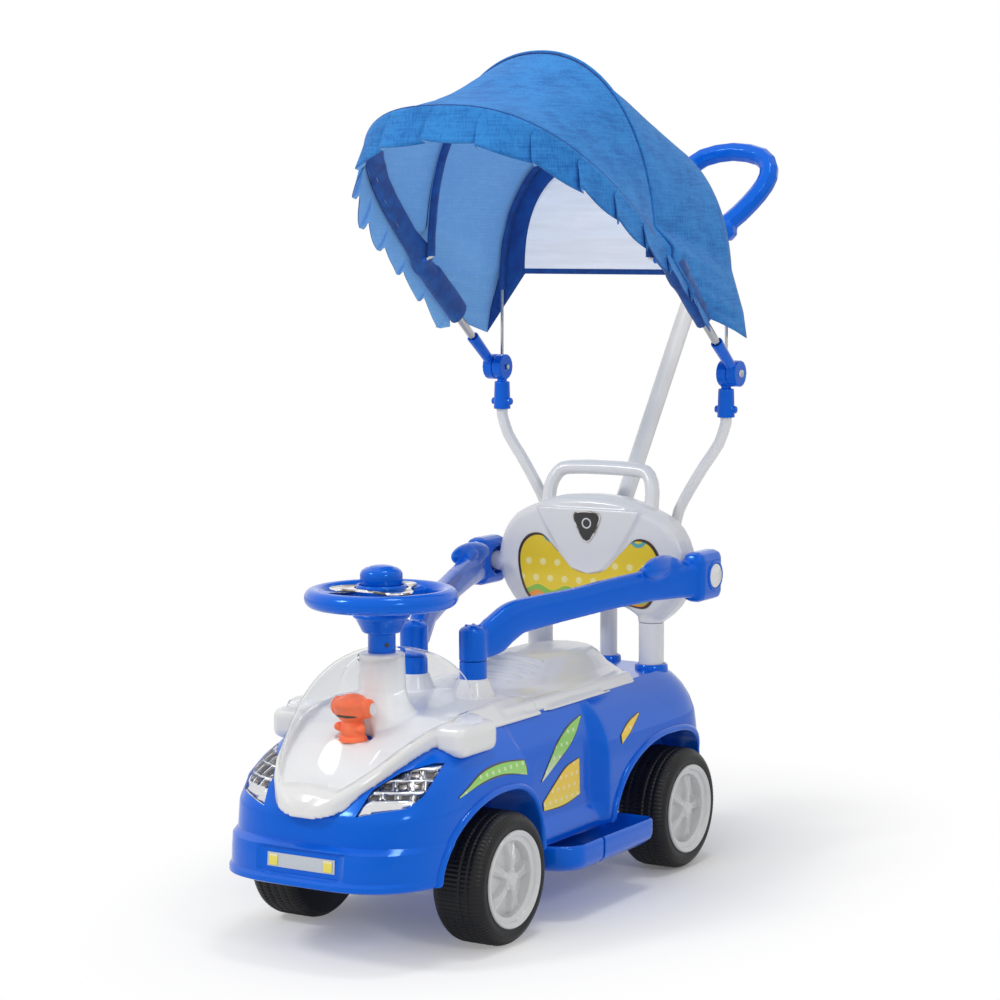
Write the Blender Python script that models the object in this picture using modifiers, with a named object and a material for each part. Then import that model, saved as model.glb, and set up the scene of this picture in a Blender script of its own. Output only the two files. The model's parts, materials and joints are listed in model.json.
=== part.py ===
"""Foot-to-floor ride-on car with guard arms, a parent push handle and a folding sun canopy.

Metres, +Z up. The car faces -Y, its left side is +X, and the wheels stand on Z = 0.
The pieces are drawn from the middle of the wheelbase. The last step moves them all along the car, so
that the origin lies on the floor under the middle of the whole length, from bumper to grip.
"""

import math

import bpy
import bmesh
from mathutils import Euler, Matrix, Vector

# Fits between neighbouring pieces
FIT_GAP = 0.0003
RUNNING_GAP = 0.0006

# Wheels and axles
WHEEL_RADIUS = 0.075
WHEELBASE = 0.417
TYRE_WIDTH = 0.064
TYRE_OUTER_X = 0.156
TYRE_BORE = 0.0435
HUBCAP_RADIUS = 0.0546
HUBCAP_PROUD = 0.002
SPOKES = 5
AXLE_RADIUS = 0.004
FRONT_AXLE_Y = -WHEELBASE / 2
REAR_AXLE_Y = WHEELBASE / 2
TYRE_CENTRE_X = TYRE_OUTER_X - TYRE_WIDTH / 2
TYRE_INNER_X = TYRE_OUTER_X - TYRE_WIDTH
TYRE_STEPS = 20
SHOULDER_RADIUS = WHEEL_RADIUS - 0.0135
SIDEWALL_SINK = 0.006

# Steering
STEERING_Y = -0.236
KINGPIN_X = 0.078
KINGPIN_RADIUS = 0.0045
STEER_ARM = 0.035
STEER_ARM_Z = 0.0797
STEER_ARM_THICK = 0.0036
STEER_PIN_RADIUS = 0.0025
TIE_ROD_TOP = 0.0785
TIE_ROD_THICK = 0.0040
SHAFT_RADIUS = 0.0050
COLUMN_Z = 0.3198
COLUMN_RADIUS = 0.0155
RIM_Z = 0.382
RIM_RADIUS = 0.0755
RIM_TUBE = 0.0098
HUB_RADIUS = 0.0275
HUB_TOP = 0.3965
HORN_RADIUS = 0.0238
HORN_TOP = 0.4180
HORN_TRAVEL = 0.003

# Body shell
BODY_WALL = 0.003
BODY_BOTTOM = 0.088
DECK_Z = 0.240
FRONT_END_Y = -0.190
REAR_END_Y = 0.190
FRONT_END_SQUARE = 3.7
REAR_END_SQUARE = 4.6
FRONT_END_STEPS = 8
REAR_END_STEPS = 6
FENDER_REAR_Y = -0.1130
FENDER_LEAN = 0.30
FENDER_STEP = 0.0070
REAR_FENDER_Y = 0.0180
REAR_FENDER_STEP = 0.0200
FRONT_ARCH_Y = -0.2000
FRONT_ARCH_AHEAD = 0.1220
FRONT_ARCH_BEHIND = 0.0780
FRONT_ARCH_RISE = 0.0945
REAR_ARCH_Y = 0.1900
REAR_ARCH_AHEAD = 0.1430
REAR_ARCH_BEHIND = 0.1010
REAR_ARCH_RISE = 0.0960
FRONT_WELL_X = 0.044
REAR_WELL_X = 0.080
PAN_THICK = 0.003
PAN_TOP = BODY_BOTTOM + PAN_THICK
BEAM_Z = PAN_TOP + FIT_GAP
BEAM_THICK = 0.0120
SLEEVE_FOOT_Z = BEAM_Z - 0.0005
SLEEVE_TOP_Z = BEAM_Z + 0.0310
PAN_HALF_WIDTH = 0.1000
PAN_FRONT_Y = -0.360
PAN_REAR_Y = 0.285

# Cowl, tower, windshield and seat
SEAM_Y = -0.070
TOWER_RADIUS = 0.0243
TOWER_TOP = 0.3190
TOY_Y = -0.2935
TOY_BASE_Z = 0.2290
TOY_RECESS_RADIUS = 0.0240
SEAT_REAR_Y = 0.228
SEAT_HALF_WIDTH = 0.1075
SEAT_TOP = 0.2765
SEAT_RIB = 0.0014
SCREEN_THICK = 0.0022
LAMP_BLOCK = (0.0872, 0.1290, -0.2690, -0.1980, 0.2170, 0.2500)

# Guard arms and their posts
POST_X = 0.0406
POST_Y = -0.110
POST_RADIUS = 0.0165
POST_PIN_RADIUS = 0.0080
POST_SEAT_Z = 0.2750
POST_SPLIT_Z = 0.2960
POST_TOP_Z = 0.3345
ARM_HEIGHT = 0.033
ARM_WIDTH = 0.017
ARM_END_X = 0.1560
ARM_END_Y = 0.2290
ARM_END_Z = 0.3630
CLAMP_LENGTH = 0.062
CLAMP_HEIGHT = 0.062
CLAMP_OUTER_X = 0.1720
CLAMP_INNER_X = 0.1425
BUTTON_RADIUS = 0.0150
BUTTON_TRAVEL = 0.004

# Backrest and what stands on the rear deck
BACK_Y = 0.2460
BACK_THICK = 0.036
BACK_POST_X = 0.0810
BACK_POST_RADIUS = 0.0160
BACK_POST_DEPTH = 0.021
BACK_BOTTOM_Z = 0.2990
BACK_TOP_Z = 0.4560
BACK_HALF_WIDTH = 0.1380
LOOP_TOP_Z = 0.4970
LOOP_TUBE = 0.0095
PUSH_Y = 0.2810
PUSH_RADIUS = 0.0110
PUSH_BEND_Z = 0.3860
PUSH_RAKE = math.radians(35.7)
PUSH_LENGTH = 0.4900
GRIP_TUBE = 0.0135
GRIP_LEAN = math.radians(60)

# Canopy hinge, bows and cloth
HINGE_Y = 0.287
HINGE_Z = 0.611
STAND_X = 0.1635
STAND_RADIUS = 0.0075
STAND_FOOT_X = 0.0920
STAND_FOOT_Z = 0.3500
STAND_TOP_Z = 0.5780
DISC_RADIUS = 0.0165
DISC_THICK = 0.0130
BOW_X = 0.176
FRONT_BOW_ANGLE = math.radians(38)
FRONT_BOW_RADIUS = 0.0050
FRONT_BOW_HALF = 0.1730
FRONT_BOW_SPRING = 0.2000
FRONT_BOW_TOP = 0.5060
MID_BOW_RADIUS = 0.0030
MID_BOW_FOOT = 0.7560
MID_BOW_TOP = 0.9930
MID_BOW_INSET = 0.0190
REAR_BOW_RADIUS = 0.0022
REAR_BOW_SPRING = 0.7110
REAR_BOW_TOP = 0.9080
REAR_BOW_HALF = 0.1630
CLOTH_THICK = 0.0016
CLOTH_CLEAR = 0.0022
CLOTH_START = 0.116
CLOTH_PIVOT = 0.231
CLIP_COVER = 0.016
CLOTH_COLUMNS = 38
LEG_COLUMNS = 3
WINDOW_BOTTOM = 0.7320
VALANCE_DROP = 0.042
VALANCE_LEG_DROP = 0.010
VALANCE_FOLDS = 9
GORE_TIP_X = 0.1890
GORE_TIP_Z = 0.6550
WINDOW_CORNER_X = 0.1310

BLUE = (0.010, 0.125, 0.720, 1.0)
WHITE = (0.840, 0.850, 0.860, 1.0)
BLACK = (0.012, 0.012, 0.014, 1.0)
STEEL = (0.560, 0.560, 0.570, 1.0)
CHROME = (0.780, 0.770, 0.760, 1.0)
CLEAR = (0.800, 0.850, 0.880, 1.0)
ORANGE = (0.900, 0.160, 0.040, 1.0)
CLOTH_BLUE = (0.050, 0.230, 0.620, 1.0)

FINISHES = {
    "blue plastic": (BLUE, 0.22, 0.0),
    "white plastic": (WHITE, 0.28, 0.0),
    "black rubber": (BLACK, 0.45, 0.0),
    "black plastic": (BLACK, 0.40, 0.0),
    "steel": (STEEL, 0.25, 1.0),
    "painted tube": (WHITE, 0.35, 0.0),
    "chrome": (CHROME, 0.12, 1.0),
    "clear plastic": (CLEAR, 0.05, 0.0),
    "orange plastic": (ORANGE, 0.35, 0.0),
    "canopy cloth": (CLOTH_BLUE, 0.85, 0.0),
}


def clear_scene():
    for item in list(bpy.data.objects):
        bpy.data.objects.remove(item, do_unlink=True)


def new_collection(name):
    group = bpy.data.collections.new(name)
    bpy.context.scene.collection.children.link(group)
    return group


def material_for(node, finish):
    colour, roughness, metallic = FINISHES[finish]
    material = bpy.data.materials.new(node + " " + finish)
    material.use_nodes = True
    shader = material.node_tree.nodes["Principled BSDF"]
    shader.inputs["Base Color"].default_value = colour
    shader.inputs["Roughness"].default_value = roughness
    shader.inputs["Metallic"].default_value = metallic
    material.diffuse_color = colour
    return material


def add_empty(name, location):
    empty = bpy.data.objects.new(name, None)
    empty.location = location
    empty.empty_display_size = 0.03
    PARTS.objects.link(empty)
    return empty


def hang_on(child, parent):
    """Parents child to parent and keeps its place. Every parent here is only moved, never turned."""
    child.parent = parent
    child.matrix_parent_inverse = Matrix.Translation(parent.location).inverted()


def add_part(name, bm, finish, origin=(0.0, 0.0, 0.0), parent=None, smooth=35):
    """Turns a bmesh in world coordinates into a named part with its origin where it is asked for."""
    origin = Vector(origin)
    bmesh.ops.translate(bm, verts=bm.verts, vec=-origin)
    mesh = bpy.data.meshes.new(name)
    bm.to_mesh(mesh)
    bm.free()
    mesh.shade_smooth()
    mesh.set_sharp_from_angle(angle=math.radians(smooth))
    mesh.materials.append(material_for(name, finish))
    part = bpy.data.objects.new(name, mesh)
    part.location = origin
    PARTS.objects.link(part)
    if parent:
        hang_on(part, parent)
    return part


def add_cutter(name, bm):
    mesh = bpy.data.meshes.new(name)
    bm.to_mesh(mesh)
    bm.free()
    cutter = bpy.data.objects.new(name, mesh)
    cutter.hide_render = True
    cutter.display_type = "WIRE"
    CUTTERS.objects.link(cutter)
    return cutter


def boolean(target, operation, tool):
    step = target.modifiers.new(operation.lower() + " " + tool.name, "BOOLEAN")
    step.operation = operation
    step.object = tool


def cut(target, name, bm):
    boolean(target, "DIFFERENCE", add_cutter(name, bm))


def join(target, name, bm):
    boolean(target, "UNION", add_cutter(name, bm))


def face_outwards(bm):
    bmesh.ops.recalc_face_normals(bm, faces=bm.faces)
    if bm.calc_volume(signed=True) < 0:
        bmesh.ops.reverse_faces(bm, faces=bm.faces)


def box_form(x0, x1, y0, y1, z0, z1, round_edges=0.0, segments=2):
    bm = bmesh.new()
    bmesh.ops.create_cube(bm, size=1.0)
    bmesh.ops.scale(bm, verts=bm.verts, vec=(x1 - x0, y1 - y0, z1 - z0))
    bmesh.ops.translate(bm, verts=bm.verts, vec=((x0 + x1) / 2, (y0 + y1) / 2, (z0 + z1) / 2))
    if round_edges:
        bmesh.ops.bevel(
            bm, geom=bm.edges[:], offset=round_edges, segments=segments, profile=0.5, affect="EDGES"
        )
    return bm


def cylinder_form(radius, start, end, steps=20, end_radius=None):
    """A cylinder or cone from the point start to the point end."""
    start = Vector(start)
    end = Vector(end)
    along = end - start
    bm = bmesh.new()
    bmesh.ops.create_cone(
        bm,
        cap_ends=True,
        segments=steps,
        radius1=radius,
        radius2=radius if end_radius is None else end_radius,
        depth=along.length,
    )
    turn = Vector((0, 0, 1)).rotation_difference(along.normalized()).to_matrix().to_4x4()
    bm.transform(Matrix.Translation((start + end) / 2) @ turn)
    return bm


def bore_form(radius, start, end, steps=20):
    """A cylinder to cut with. Its flats lie at the radius, so a shaft with any number of facets fits."""
    return cylinder_form(radius / math.cos(math.pi / steps), start, end, steps)


def turned_form(profile, steps, axis="Z", centre=(0.0, 0.0, 0.0)):
    """Spins a profile of (radius, height) points about an axis. Ends on the axis are poles or flat caps."""
    closed = profile[0][0] > 0 and profile[-1][0] > 0
    if profile[0][0] == 0 and profile[0][1] == profile[1][1]:
        profile = profile[1:]
    if profile[-1][0] == 0 and profile[-1][1] == profile[-2][1]:
        profile = profile[:-1]
    bm = bmesh.new()
    corners = [bm.verts.new((radius, 0, height)) for radius, height in profile]
    edges = [bm.edges.new(pair) for pair in zip(corners, corners[1:])]
    if closed:
        edges.append(bm.edges.new((corners[-1], corners[0])))
    bmesh.ops.spin(
        bm, geom=corners + edges, cent=(0, 0, 0), axis=(0, 0, 1), angle=math.tau, steps=steps
    )
    bmesh.ops.remove_doubles(bm, verts=bm.verts, dist=0.00001)
    bmesh.ops.holes_fill(bm, edges=[edge for edge in bm.edges if edge.is_boundary], sides=0)
    face_outwards(bm)
    turns = {
        "Z": Euler((0, 0, 0)),
        "X": Euler((0, math.pi / 2, 0)),
        "-X": Euler((0, -math.pi / 2, 0)),
    }
    bm.transform(Matrix.Translation(centre) @ turns[axis].to_matrix().to_4x4())
    return bm


def bridge_rings(bm, lower, upper):
    steps = max(len(lower), len(upper))
    for k in range(steps):
        n = (k + 1) % steps
        if len(lower) == 1 and len(upper) == 1:
            return
        if len(lower) == 1:
            bm.faces.new((lower[0], upper[n], upper[k]))
        elif len(upper) == 1:
            bm.faces.new((lower[k], lower[n], upper[0]))
        else:
            bm.faces.new((lower[k], lower[n], upper[n], upper[k]))


def loft_form(rings):
    """A closed solid through rings of equally many points, with flat caps on both ends."""
    bm = bmesh.new()
    rows = [[bm.verts.new(point) for point in ring] for ring in rings]
    for lower, upper in zip(rows, rows[1:]):
        bridge_rings(bm, lower, upper)
    bm.faces.new(rows[0])
    bm.faces.new(rows[-1])
    face_outwards(bm)
    return bm


def extruded_form(outline, start, end, axis):
    """A flat outline pushed along one axis. The outline gives the other two coordinates in order."""
    column = "XYZ".index(axis)
    bm = bmesh.new()
    corners = []
    for a, b in outline:
        place = [a, b]
        place.insert(column, start)
        corners.append(bm.verts.new(place))
    face = bm.faces.new(corners)
    pushed = bmesh.ops.extrude_face_region(bm, geom=[face])
    travel = Vector((0, 0, 0))
    travel[column] = end - start
    far_end = [item for item in pushed["geom"] if isinstance(item, bmesh.types.BMVert)]
    bmesh.ops.translate(bm, verts=far_end, vec=travel)
    face_outwards(bm)
    return bm


def mirrored(bm):
    """The same form on the other side of the car."""
    bmesh.ops.scale(bm, verts=bm.verts, vec=(-1, 1, 1))
    bmesh.ops.reverse_faces(bm, faces=bm.faces)
    return bm


def smooth_curve(points, steps):
    """Points on an open Catmull-Rom curve through the given points."""
    points = [Vector(p) for p in points]
    padded = [2 * points[0] - points[1]] + points + [2 * points[-1] - points[-2]]
    curve = []
    for a, b, c, d in zip(padded, padded[1:], padded[2:], padded[3:]):
        for k in range(steps):
            t = k / steps
            bend = (2 * a - 5 * b + 4 * c - d) * t**2 + (3 * b - a - 3 * c + d) * t**3
            curve.append(0.5 * (2 * b + (c - a) * t + bend))
    curve.append(points[-1])
    return curve


def closed_curve(points, steps):
    """Points on a closed Catmull-Rom curve through the given points."""
    around = points[-1:] + points + points[:2]
    curve = []
    for a, b, c, d in zip(around, around[1:], around[2:], around[3:]):
        for k in range(steps):
            t = k / steps
            bend = (2 * a - 5 * b + 4 * c - d) * t**2 + (3 * b - a - 3 * c + d) * t**3
            curve.append(0.5 * (2 * b + (c - a) * t + bend))
    return curve


def superellipse_arch(half_width, height, power, steps):
    """An arch from (+half_width, 0) over (0, height) to (-half_width, 0)."""
    arch = []
    for k in range(steps + 1):
        turn = math.pi * k / steps
        across = math.cos(turn)
        rise = math.sin(turn)
        arch.append(
            (
                half_width * math.copysign(abs(across) ** (2 / power), across),
                height * abs(rise) ** (2 / power),
            )
        )
    return arch


def tube_part(name, points, radius, finish, parent=None, sides=2, closed=False):
    """A round tube along a list of points, as a bevelled curve with filled ends."""
    curve = bpy.data.curves.new(name, "CURVE")
    curve.dimensions = "3D"
    curve.bevel_depth = radius
    curve.bevel_resolution = sides
    curve.use_fill_caps = not closed
    spline = curve.splines.new("POLY")
    spline.points.add(len(points) - 1)
    for point, place in zip(spline.points, points):
        point.co = (*place, 1.0)
    spline.use_cyclic_u = closed
    spline.use_smooth = True
    curve.materials.append(material_for(name, finish))
    part = bpy.data.objects.new(name, curve)
    PARTS.objects.link(part)
    if parent:
        hang_on(part, parent)
    return part


def tube_form(points, radius, sides=2, closed=False):
    """The same tube as a closed bmesh, for joining to another piece."""
    guide = tube_part("tube guide", points, radius, "steel", None, sides, closed)
    evaluated = guide.evaluated_get(bpy.context.evaluated_depsgraph_get())
    mesh = bpy.data.meshes.new_from_object(evaluated)
    bm = bmesh.new()
    bm.from_mesh(mesh)
    bmesh.ops.remove_doubles(bm, verts=bm.verts, dist=0.00001)
    face_outwards(bm)
    bpy.data.objects.remove(guide, do_unlink=True)
    bpy.data.meshes.remove(mesh)
    return bm


def swept_form(path, widths, heights, round_share=0.30, upright=True):
    """Rounded rectangles carried along a path that runs mostly sideways. Width is across, height is up."""
    rings = []
    path = [Vector(p) for p in path]
    for k, place in enumerate(path):
        before = path[max(k - 1, 0)]
        after = path[min(k + 1, len(path) - 1)]
        along = (after - before).normalized()
        side = along.cross(Vector((0, 0, 1))).normalized()
        lift = side.cross(along).normalized() if not upright else Vector((0, 0, 1))
        half_w = widths[k] / 2
        half_h = heights[k] / 2
        corner = round_share * min(half_w, half_h)
        ring = []
        for sign_w, sign_h in ((1, -1), (1, 1), (-1, 1), (-1, -1)):
            first = (sign_w * half_w, sign_h * (half_h - corner))
            second = (sign_w * (half_w - corner), sign_h * half_h)
            pair = (first, second) if sign_w * sign_h > 0 else (second, first)
            ring.extend(place + side * a + lift * b for a, b in pair)
        rings.append(ring)
    return loft_form(rings)


# Body levels: height, front, rear, half width over the fenders and at the side panels
BODY_LEVELS = (
    (BODY_BOTTOM, -0.3980, 0.306, 0.1375, 0.1325),
    (0.0905, -0.4040, 0.308, 0.1390, 0.1335),
    (0.0955, -0.4035, 0.308, 0.1390, 0.1335),
    (0.0990, -0.3985, 0.309, 0.1390, 0.1330),
    (0.1150, -0.3975, 0.309, 0.1390, 0.1255),
    (0.1290, -0.3955, 0.309, 0.1390, 0.1245),
    (0.1345, -0.3845, 0.308, 0.1385, 0.1240),
    (0.1650, -0.3810, 0.307, 0.1380, 0.1235),
    (0.1880, -0.3620, 0.306, 0.1350, 0.1220),
    (0.2050, -0.3340, 0.303, 0.1285, 0.1190),
    (0.2200, -0.3020, 0.298, 0.1190, 0.1150),
    (0.2320, -0.2680, 0.290, 0.1085, 0.1080),
    (DECK_Z, -0.2350, 0.278, 0.0995, 0.0990),
)


def smooth_step(share):
    share = min(1.0, max(0.0, share))
    return share * share * (3 - 2 * share)


def fender_edges(z, inset):
    """Where the front fender ends and the rear one starts, at one height."""
    front = FENDER_REAR_Y - FENDER_LEAN * (z - BODY_BOTTOM) - inset
    return front, REAR_FENDER_Y + inset


def end_curve(split, reach, square, steps):
    """Points (share of the width, y) round one end of the body, from its middle to where the side starts."""
    points = []
    for k in range(steps):
        turn = math.pi / 2 * (k + 0.5) / steps
        points.append((math.sin(turn) ** (2 / square), split + reach * math.cos(turn) ** (2 / square)))
    return points


def body_outline(z, front, rear, over_fenders, at_panels, inset=0.0):
    """One level of the body, seen from above, from the middle of the front round the left side."""
    edge, flank = fender_edges(z, inset)
    ahead = end_curve(FRONT_END_Y, front + inset - FRONT_END_Y, FRONT_END_SQUARE, FRONT_END_STEPS)
    behind = end_curve(REAR_END_Y, rear - inset - REAR_END_Y, REAR_END_SQUARE, REAR_END_STEPS)
    along = [FRONT_END_Y, edge, edge + FENDER_STEP / 2, edge + FENDER_STEP, (edge + flank) / 2]
    along += [flank + REAR_FENDER_STEP * share for share in (0.0, 0.33, 0.67, 1.0)] + [0.11, REAR_END_Y]
    side = ahead + [(1.0, y) for y in along] + behind[::-1]
    outline = []
    for share, y in side:
        fender = max(1 - smooth_step((y - edge) / FENDER_STEP), smooth_step((y - flank) / REAR_FENDER_STEP))
        half_width = at_panels + (over_fenders - at_panels) * fender - inset
        outline.append((share * half_width, y))
    return outline + [(-x, y) for x, y in reversed(outline)]


def body_form(inset=0.0, drop=0.0, bottom=None):
    """The body's outer form, drawn in by inset and lowered by drop. A bottom starts it lower."""
    levels = BODY_LEVELS if bottom is None else BODY_LEVELS[3:]
    rings = []
    if bottom is not None:
        rings.append([(x, y, bottom) for x, y in body_outline(*BODY_LEVELS[3], inset)])
    for level in levels:
        rings.append([(x, y, level[0] - drop) for x, y in body_outline(*level, inset)])
    return loft_form(rings)


def arch_outline(arch, margin=0.0, floor_z=0.030):
    """A wheel arch in side view: a round top, longer and flatter ahead of its peak than behind it."""
    peak, ahead, behind, rise = arch
    outline = [(peak + behind + margin, floor_z)]
    rear_half = superellipse_arch(behind + margin, rise + margin, 2.8, 14)[:7]
    front_half = superellipse_arch(ahead + margin, rise + margin, 2.1, 14)[7:]
    for x, z in rear_half + front_half:
        outline.append((peak + x, WHEEL_RADIUS + z))
    outline.append((peak - ahead - margin, floor_z))
    return outline


FRONT_ARCH = (FRONT_ARCH_Y, FRONT_ARCH_AHEAD, FRONT_ARCH_BEHIND, FRONT_ARCH_RISE)
REAR_ARCH = (REAR_ARCH_Y, REAR_ARCH_AHEAD, REAR_ARCH_BEHIND, REAR_ARCH_RISE)


def build_body():
    body = add_part("body_shell", body_form(), "blue plastic")
    hollow = add_cutter("body hollow", body_form(BODY_WALL, BODY_WALL, BODY_BOTTOM - 0.010))
    wells = (("front", FRONT_ARCH, FRONT_WELL_X), ("rear", REAR_ARCH, REAR_WELL_X))
    for end, arch, well_x in wells:
        for side in (1, -1):
            liner = extruded_form(arch_outline(arch, BODY_WALL), well_x - BODY_WALL, 0.170, "X")
            room = extruded_form(arch_outline(arch), well_x, 0.180, "X")
            label = end + (" left" if side > 0 else " right")
            cut(hollow, label + " well liner", liner if side > 0 else mirrored(liner))
            cut(body, label + " wheel well", room if side > 0 else mirrored(room))
    boolean(body, "DIFFERENCE", hollow)
    build_deck_sockets(body)
    cut(
        body,
        "beam slot",
        box_form(
            -0.100,
            0.100,
            FRONT_AXLE_Y - 0.0115 - RUNNING_GAP,
            FRONT_AXLE_Y + 0.0115 + RUNNING_GAP,
            0.070,
            BEAM_Z + BEAM_THICK + RUNNING_GAP,
        ),
    )
    cut(
        body,
        "shaft hole",
        bore_form(SHAFT_RADIUS + RUNNING_GAP, (0, STEERING_Y, 0.20), (0, STEERING_Y, 0.30), 16),
    )
    cut(body, "toy recess in the body", toy_recess_form())
    return body


def build_deck_sockets(body):
    """Bosses in the rear deck that the backrest posts and the push tube plug into."""
    seats = (
        ("left post", BACK_POST_X, BACK_Y, BACK_POST_RADIUS),
        ("right post", -BACK_POST_X, BACK_Y, BACK_POST_RADIUS),
        ("push tube", 0.0, PUSH_Y, PUSH_RADIUS),
    )
    for label, x, y, radius in seats:
        foot = DECK_Z - BACK_POST_DEPTH
        top = DECK_Z + 0.006
        wall = cylinder_form(radius + 0.0045, (x, y, foot - 0.004), (x, y, top), 16, radius + 0.0030)
        join(body, label + " boss", wall)
    for label, x, y, radius in seats:
        foot = DECK_Z - BACK_POST_DEPTH
        bore = bore_form(radius + FIT_GAP, (x, y, foot), (x, y, DECK_Z + 0.030), 14)
        cut(body, label + " bore", bore)


def pan_outline():
    """Plan of the floor pan, which is narrow between the wheels and wide at the footrests."""
    clear = BODY_WALL + FIT_GAP
    narrow_front = FRONT_WELL_X - clear
    narrow_rear = REAR_WELL_X - clear
    front_end = FRONT_ARCH_Y + FRONT_ARCH_BEHIND + clear
    rear_start = REAR_ARCH_Y - REAR_ARCH_AHEAD - clear
    half = [
        (narrow_front, PAN_FRONT_Y),
        (narrow_front, front_end),
        (PAN_HALF_WIDTH, front_end),
        (PAN_HALF_WIDTH, rear_start),
        (narrow_rear, rear_start),
        (narrow_rear, PAN_REAR_Y),
    ]
    return half + [(-x, y) for x, y in reversed(half)]


def build_floor_pan():
    """Floor pan with the rear axle's hangers and the footrests' ledges."""
    top = PAN_TOP
    pan = add_part(
        "floor_pan", extruded_form(pan_outline(), top - PAN_THICK, top, "Z"), "blue plastic"
    )
    for side in (1, -1):
        hanger = box_form(
            side * 0.060 - 0.006,
            side * 0.060 + 0.006,
            REAR_AXLE_Y - 0.011,
            REAR_AXLE_Y + 0.011,
            WHEEL_RADIUS - 0.012,
            top - 0.001,
            0.0015,
            1,
        )
        join(pan, ("left" if side > 0 else "right") + " hanger", hanger)
    cut(
        pan,
        "axle bore",
        bore_form(
            AXLE_RADIUS + FIT_GAP, (-0.090, REAR_AXLE_Y, WHEEL_RADIUS), (0.090, REAR_AXLE_Y, WHEEL_RADIUS), 16
        ),
    )
    cut(
        pan,
        "shaft passage",
        cylinder_form(SHAFT_RADIUS + 0.002, (0, STEERING_Y, 0.07), (0, STEERING_Y, 0.10), 16),
    )
    return pan


def build_footrests():
    """A tray-shaped step on each side between the wheels, under the floor pan and the body's edge."""
    inner = 0.086
    outer = 0.168
    front = -0.104
    rear = 0.098
    top = PAN_TOP - PAN_THICK - FIT_GAP
    for side, label in ((1, "left"), (-1, "right")):
        outline = [
            (inner, front),
            (inner + 0.036, front),
            (outer - 0.014, front + 0.014),
            (outer, front + 0.038),
            (outer, rear - 0.008),
            (outer - 0.008, rear),
            (inner, rear),
        ]
        tray = [
            (inner + 0.022, front + 0.007),
            (inner + 0.035, front + 0.008),
            (outer - 0.018, front + 0.019),
            (outer - 0.006, front + 0.040),
            (outer - 0.006, rear - 0.012),
            (outer - 0.012, rear - 0.007),
            (inner + 0.022, rear - 0.007),
        ]
        forms = [
            extruded_form(outline, 0.0560, top, "Z"),
            extruded_form(tray, 0.0690, 0.0900, "Z"),
            box_form(outer - 0.007, outer + 0.010, -0.030, -0.026, 0.050, 0.090),
            extruded_form(
                [(outer - 0.040, 0.0500), (outer + 0.010, 0.0500), (outer + 0.010, 0.0700)],
                front - 0.010,
                rear + 0.010,
                "Y",
            ),
        ]
        if side < 0:
            forms = [mirrored(form) for form in forms]
        part = add_part("footrest_" + label, forms[0], "blue plastic")
        cut(part, label + " footrest tray", forms[1])
        cut(part, label + " footrest notch", forms[2])
        cut(part, label + " footrest underside", forms[3])


def build_rear_axle():
    reach = TYRE_OUTER_X - 0.012
    form = cylinder_form(
        AXLE_RADIUS, (-reach, REAR_AXLE_Y, WHEEL_RADIUS), (reach, REAR_AXLE_Y, WHEEL_RADIUS), 16
    )
    add_part("rear_axle", form, "steel")


def sidewall_height(radius):
    """How far the tyre's dished sidewall stands outside the tyre's middle at one radius."""
    share = (SHOULDER_RADIUS - radius) / (SHOULDER_RADIUS - TYRE_BORE)
    return TYRE_WIDTH / 2 - SIDEWALL_SINK * share


def tyre_profile():
    """Closed section of the blow-moulded tyre: tread with a centre groove, sidewalls and inner web."""
    half = TYRE_WIDTH / 2
    r = WHEEL_RADIUS
    return [
        (TYRE_BORE, sidewall_height(TYRE_BORE)),
        (SHOULDER_RADIUS, half),
        (r - 0.0040, half - 0.0040),
        (r, half - 0.0120),
        (r, 0.0030),
        (r - 0.0018, 0.0),
        (r, -0.0030),
        (r, -half + 0.0090),
        (r - 0.0080, -half),
        (AXLE_RADIUS + RUNNING_GAP, -half + 0.0020),
        (AXLE_RADIUS + RUNNING_GAP, -half + 0.0110),
        (TYRE_BORE, -half + 0.0110),
    ]


def hubcap_form():
    """Dished cap with five raised spokes, a lip over the sidewall and a sleeve on the axle."""
    steps = SPOKES * 5
    half = TYRE_WIDTH / 2
    face = half + HUBCAP_PROUD
    barrel = TYRE_BORE * math.cos(math.pi / TYRE_STEPS) - FIT_GAP
    floor = -half + 0.0110 + FIT_GAP
    spoke = (1.0, 0.6, 0.0, 0.0, 0.6)
    front_rows = (
        (0.0070, face - 0.0040, 0.0),
        (0.0180, face - 0.0140, 0.0070),
        (0.0380, face - 0.0160, 0.0090),
        (HUBCAP_RADIUS - 0.0035, face - 0.0012, 0.0),
        (HUBCAP_RADIUS, face, 0.0),
        (HUBCAP_RADIUS, sidewall_height(HUBCAP_RADIUS) + 2 * FIT_GAP, 0.0),
        (barrel, sidewall_height(TYRE_BORE) + 2 * FIT_GAP, 0.0),
        (barrel, floor, 0.0),
        (AXLE_RADIUS + RUNNING_GAP, floor, 0.0),
        (AXLE_RADIUS + RUNNING_GAP, half - 0.0110, 0.0),
    )
    bm = bmesh.new()
    rings = [[bm.verts.new((0, 0, face - 0.0035))]]
    for radius, height, ridge in front_rows:
        ring = []
        for k in range(steps):
            turn = math.tau * k / steps
            lift = ridge * spoke[k % 5]
            ring.append(bm.verts.new((radius * math.cos(turn), radius * math.sin(turn), height + lift)))
        rings.append(ring)
    rings.append([bm.verts.new((0, 0, half - 0.0110))])
    for lower, upper in zip(rings, rings[1:]):
        bridge_rings(bm, lower, upper)
    face_outwards(bm)
    return bm


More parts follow.
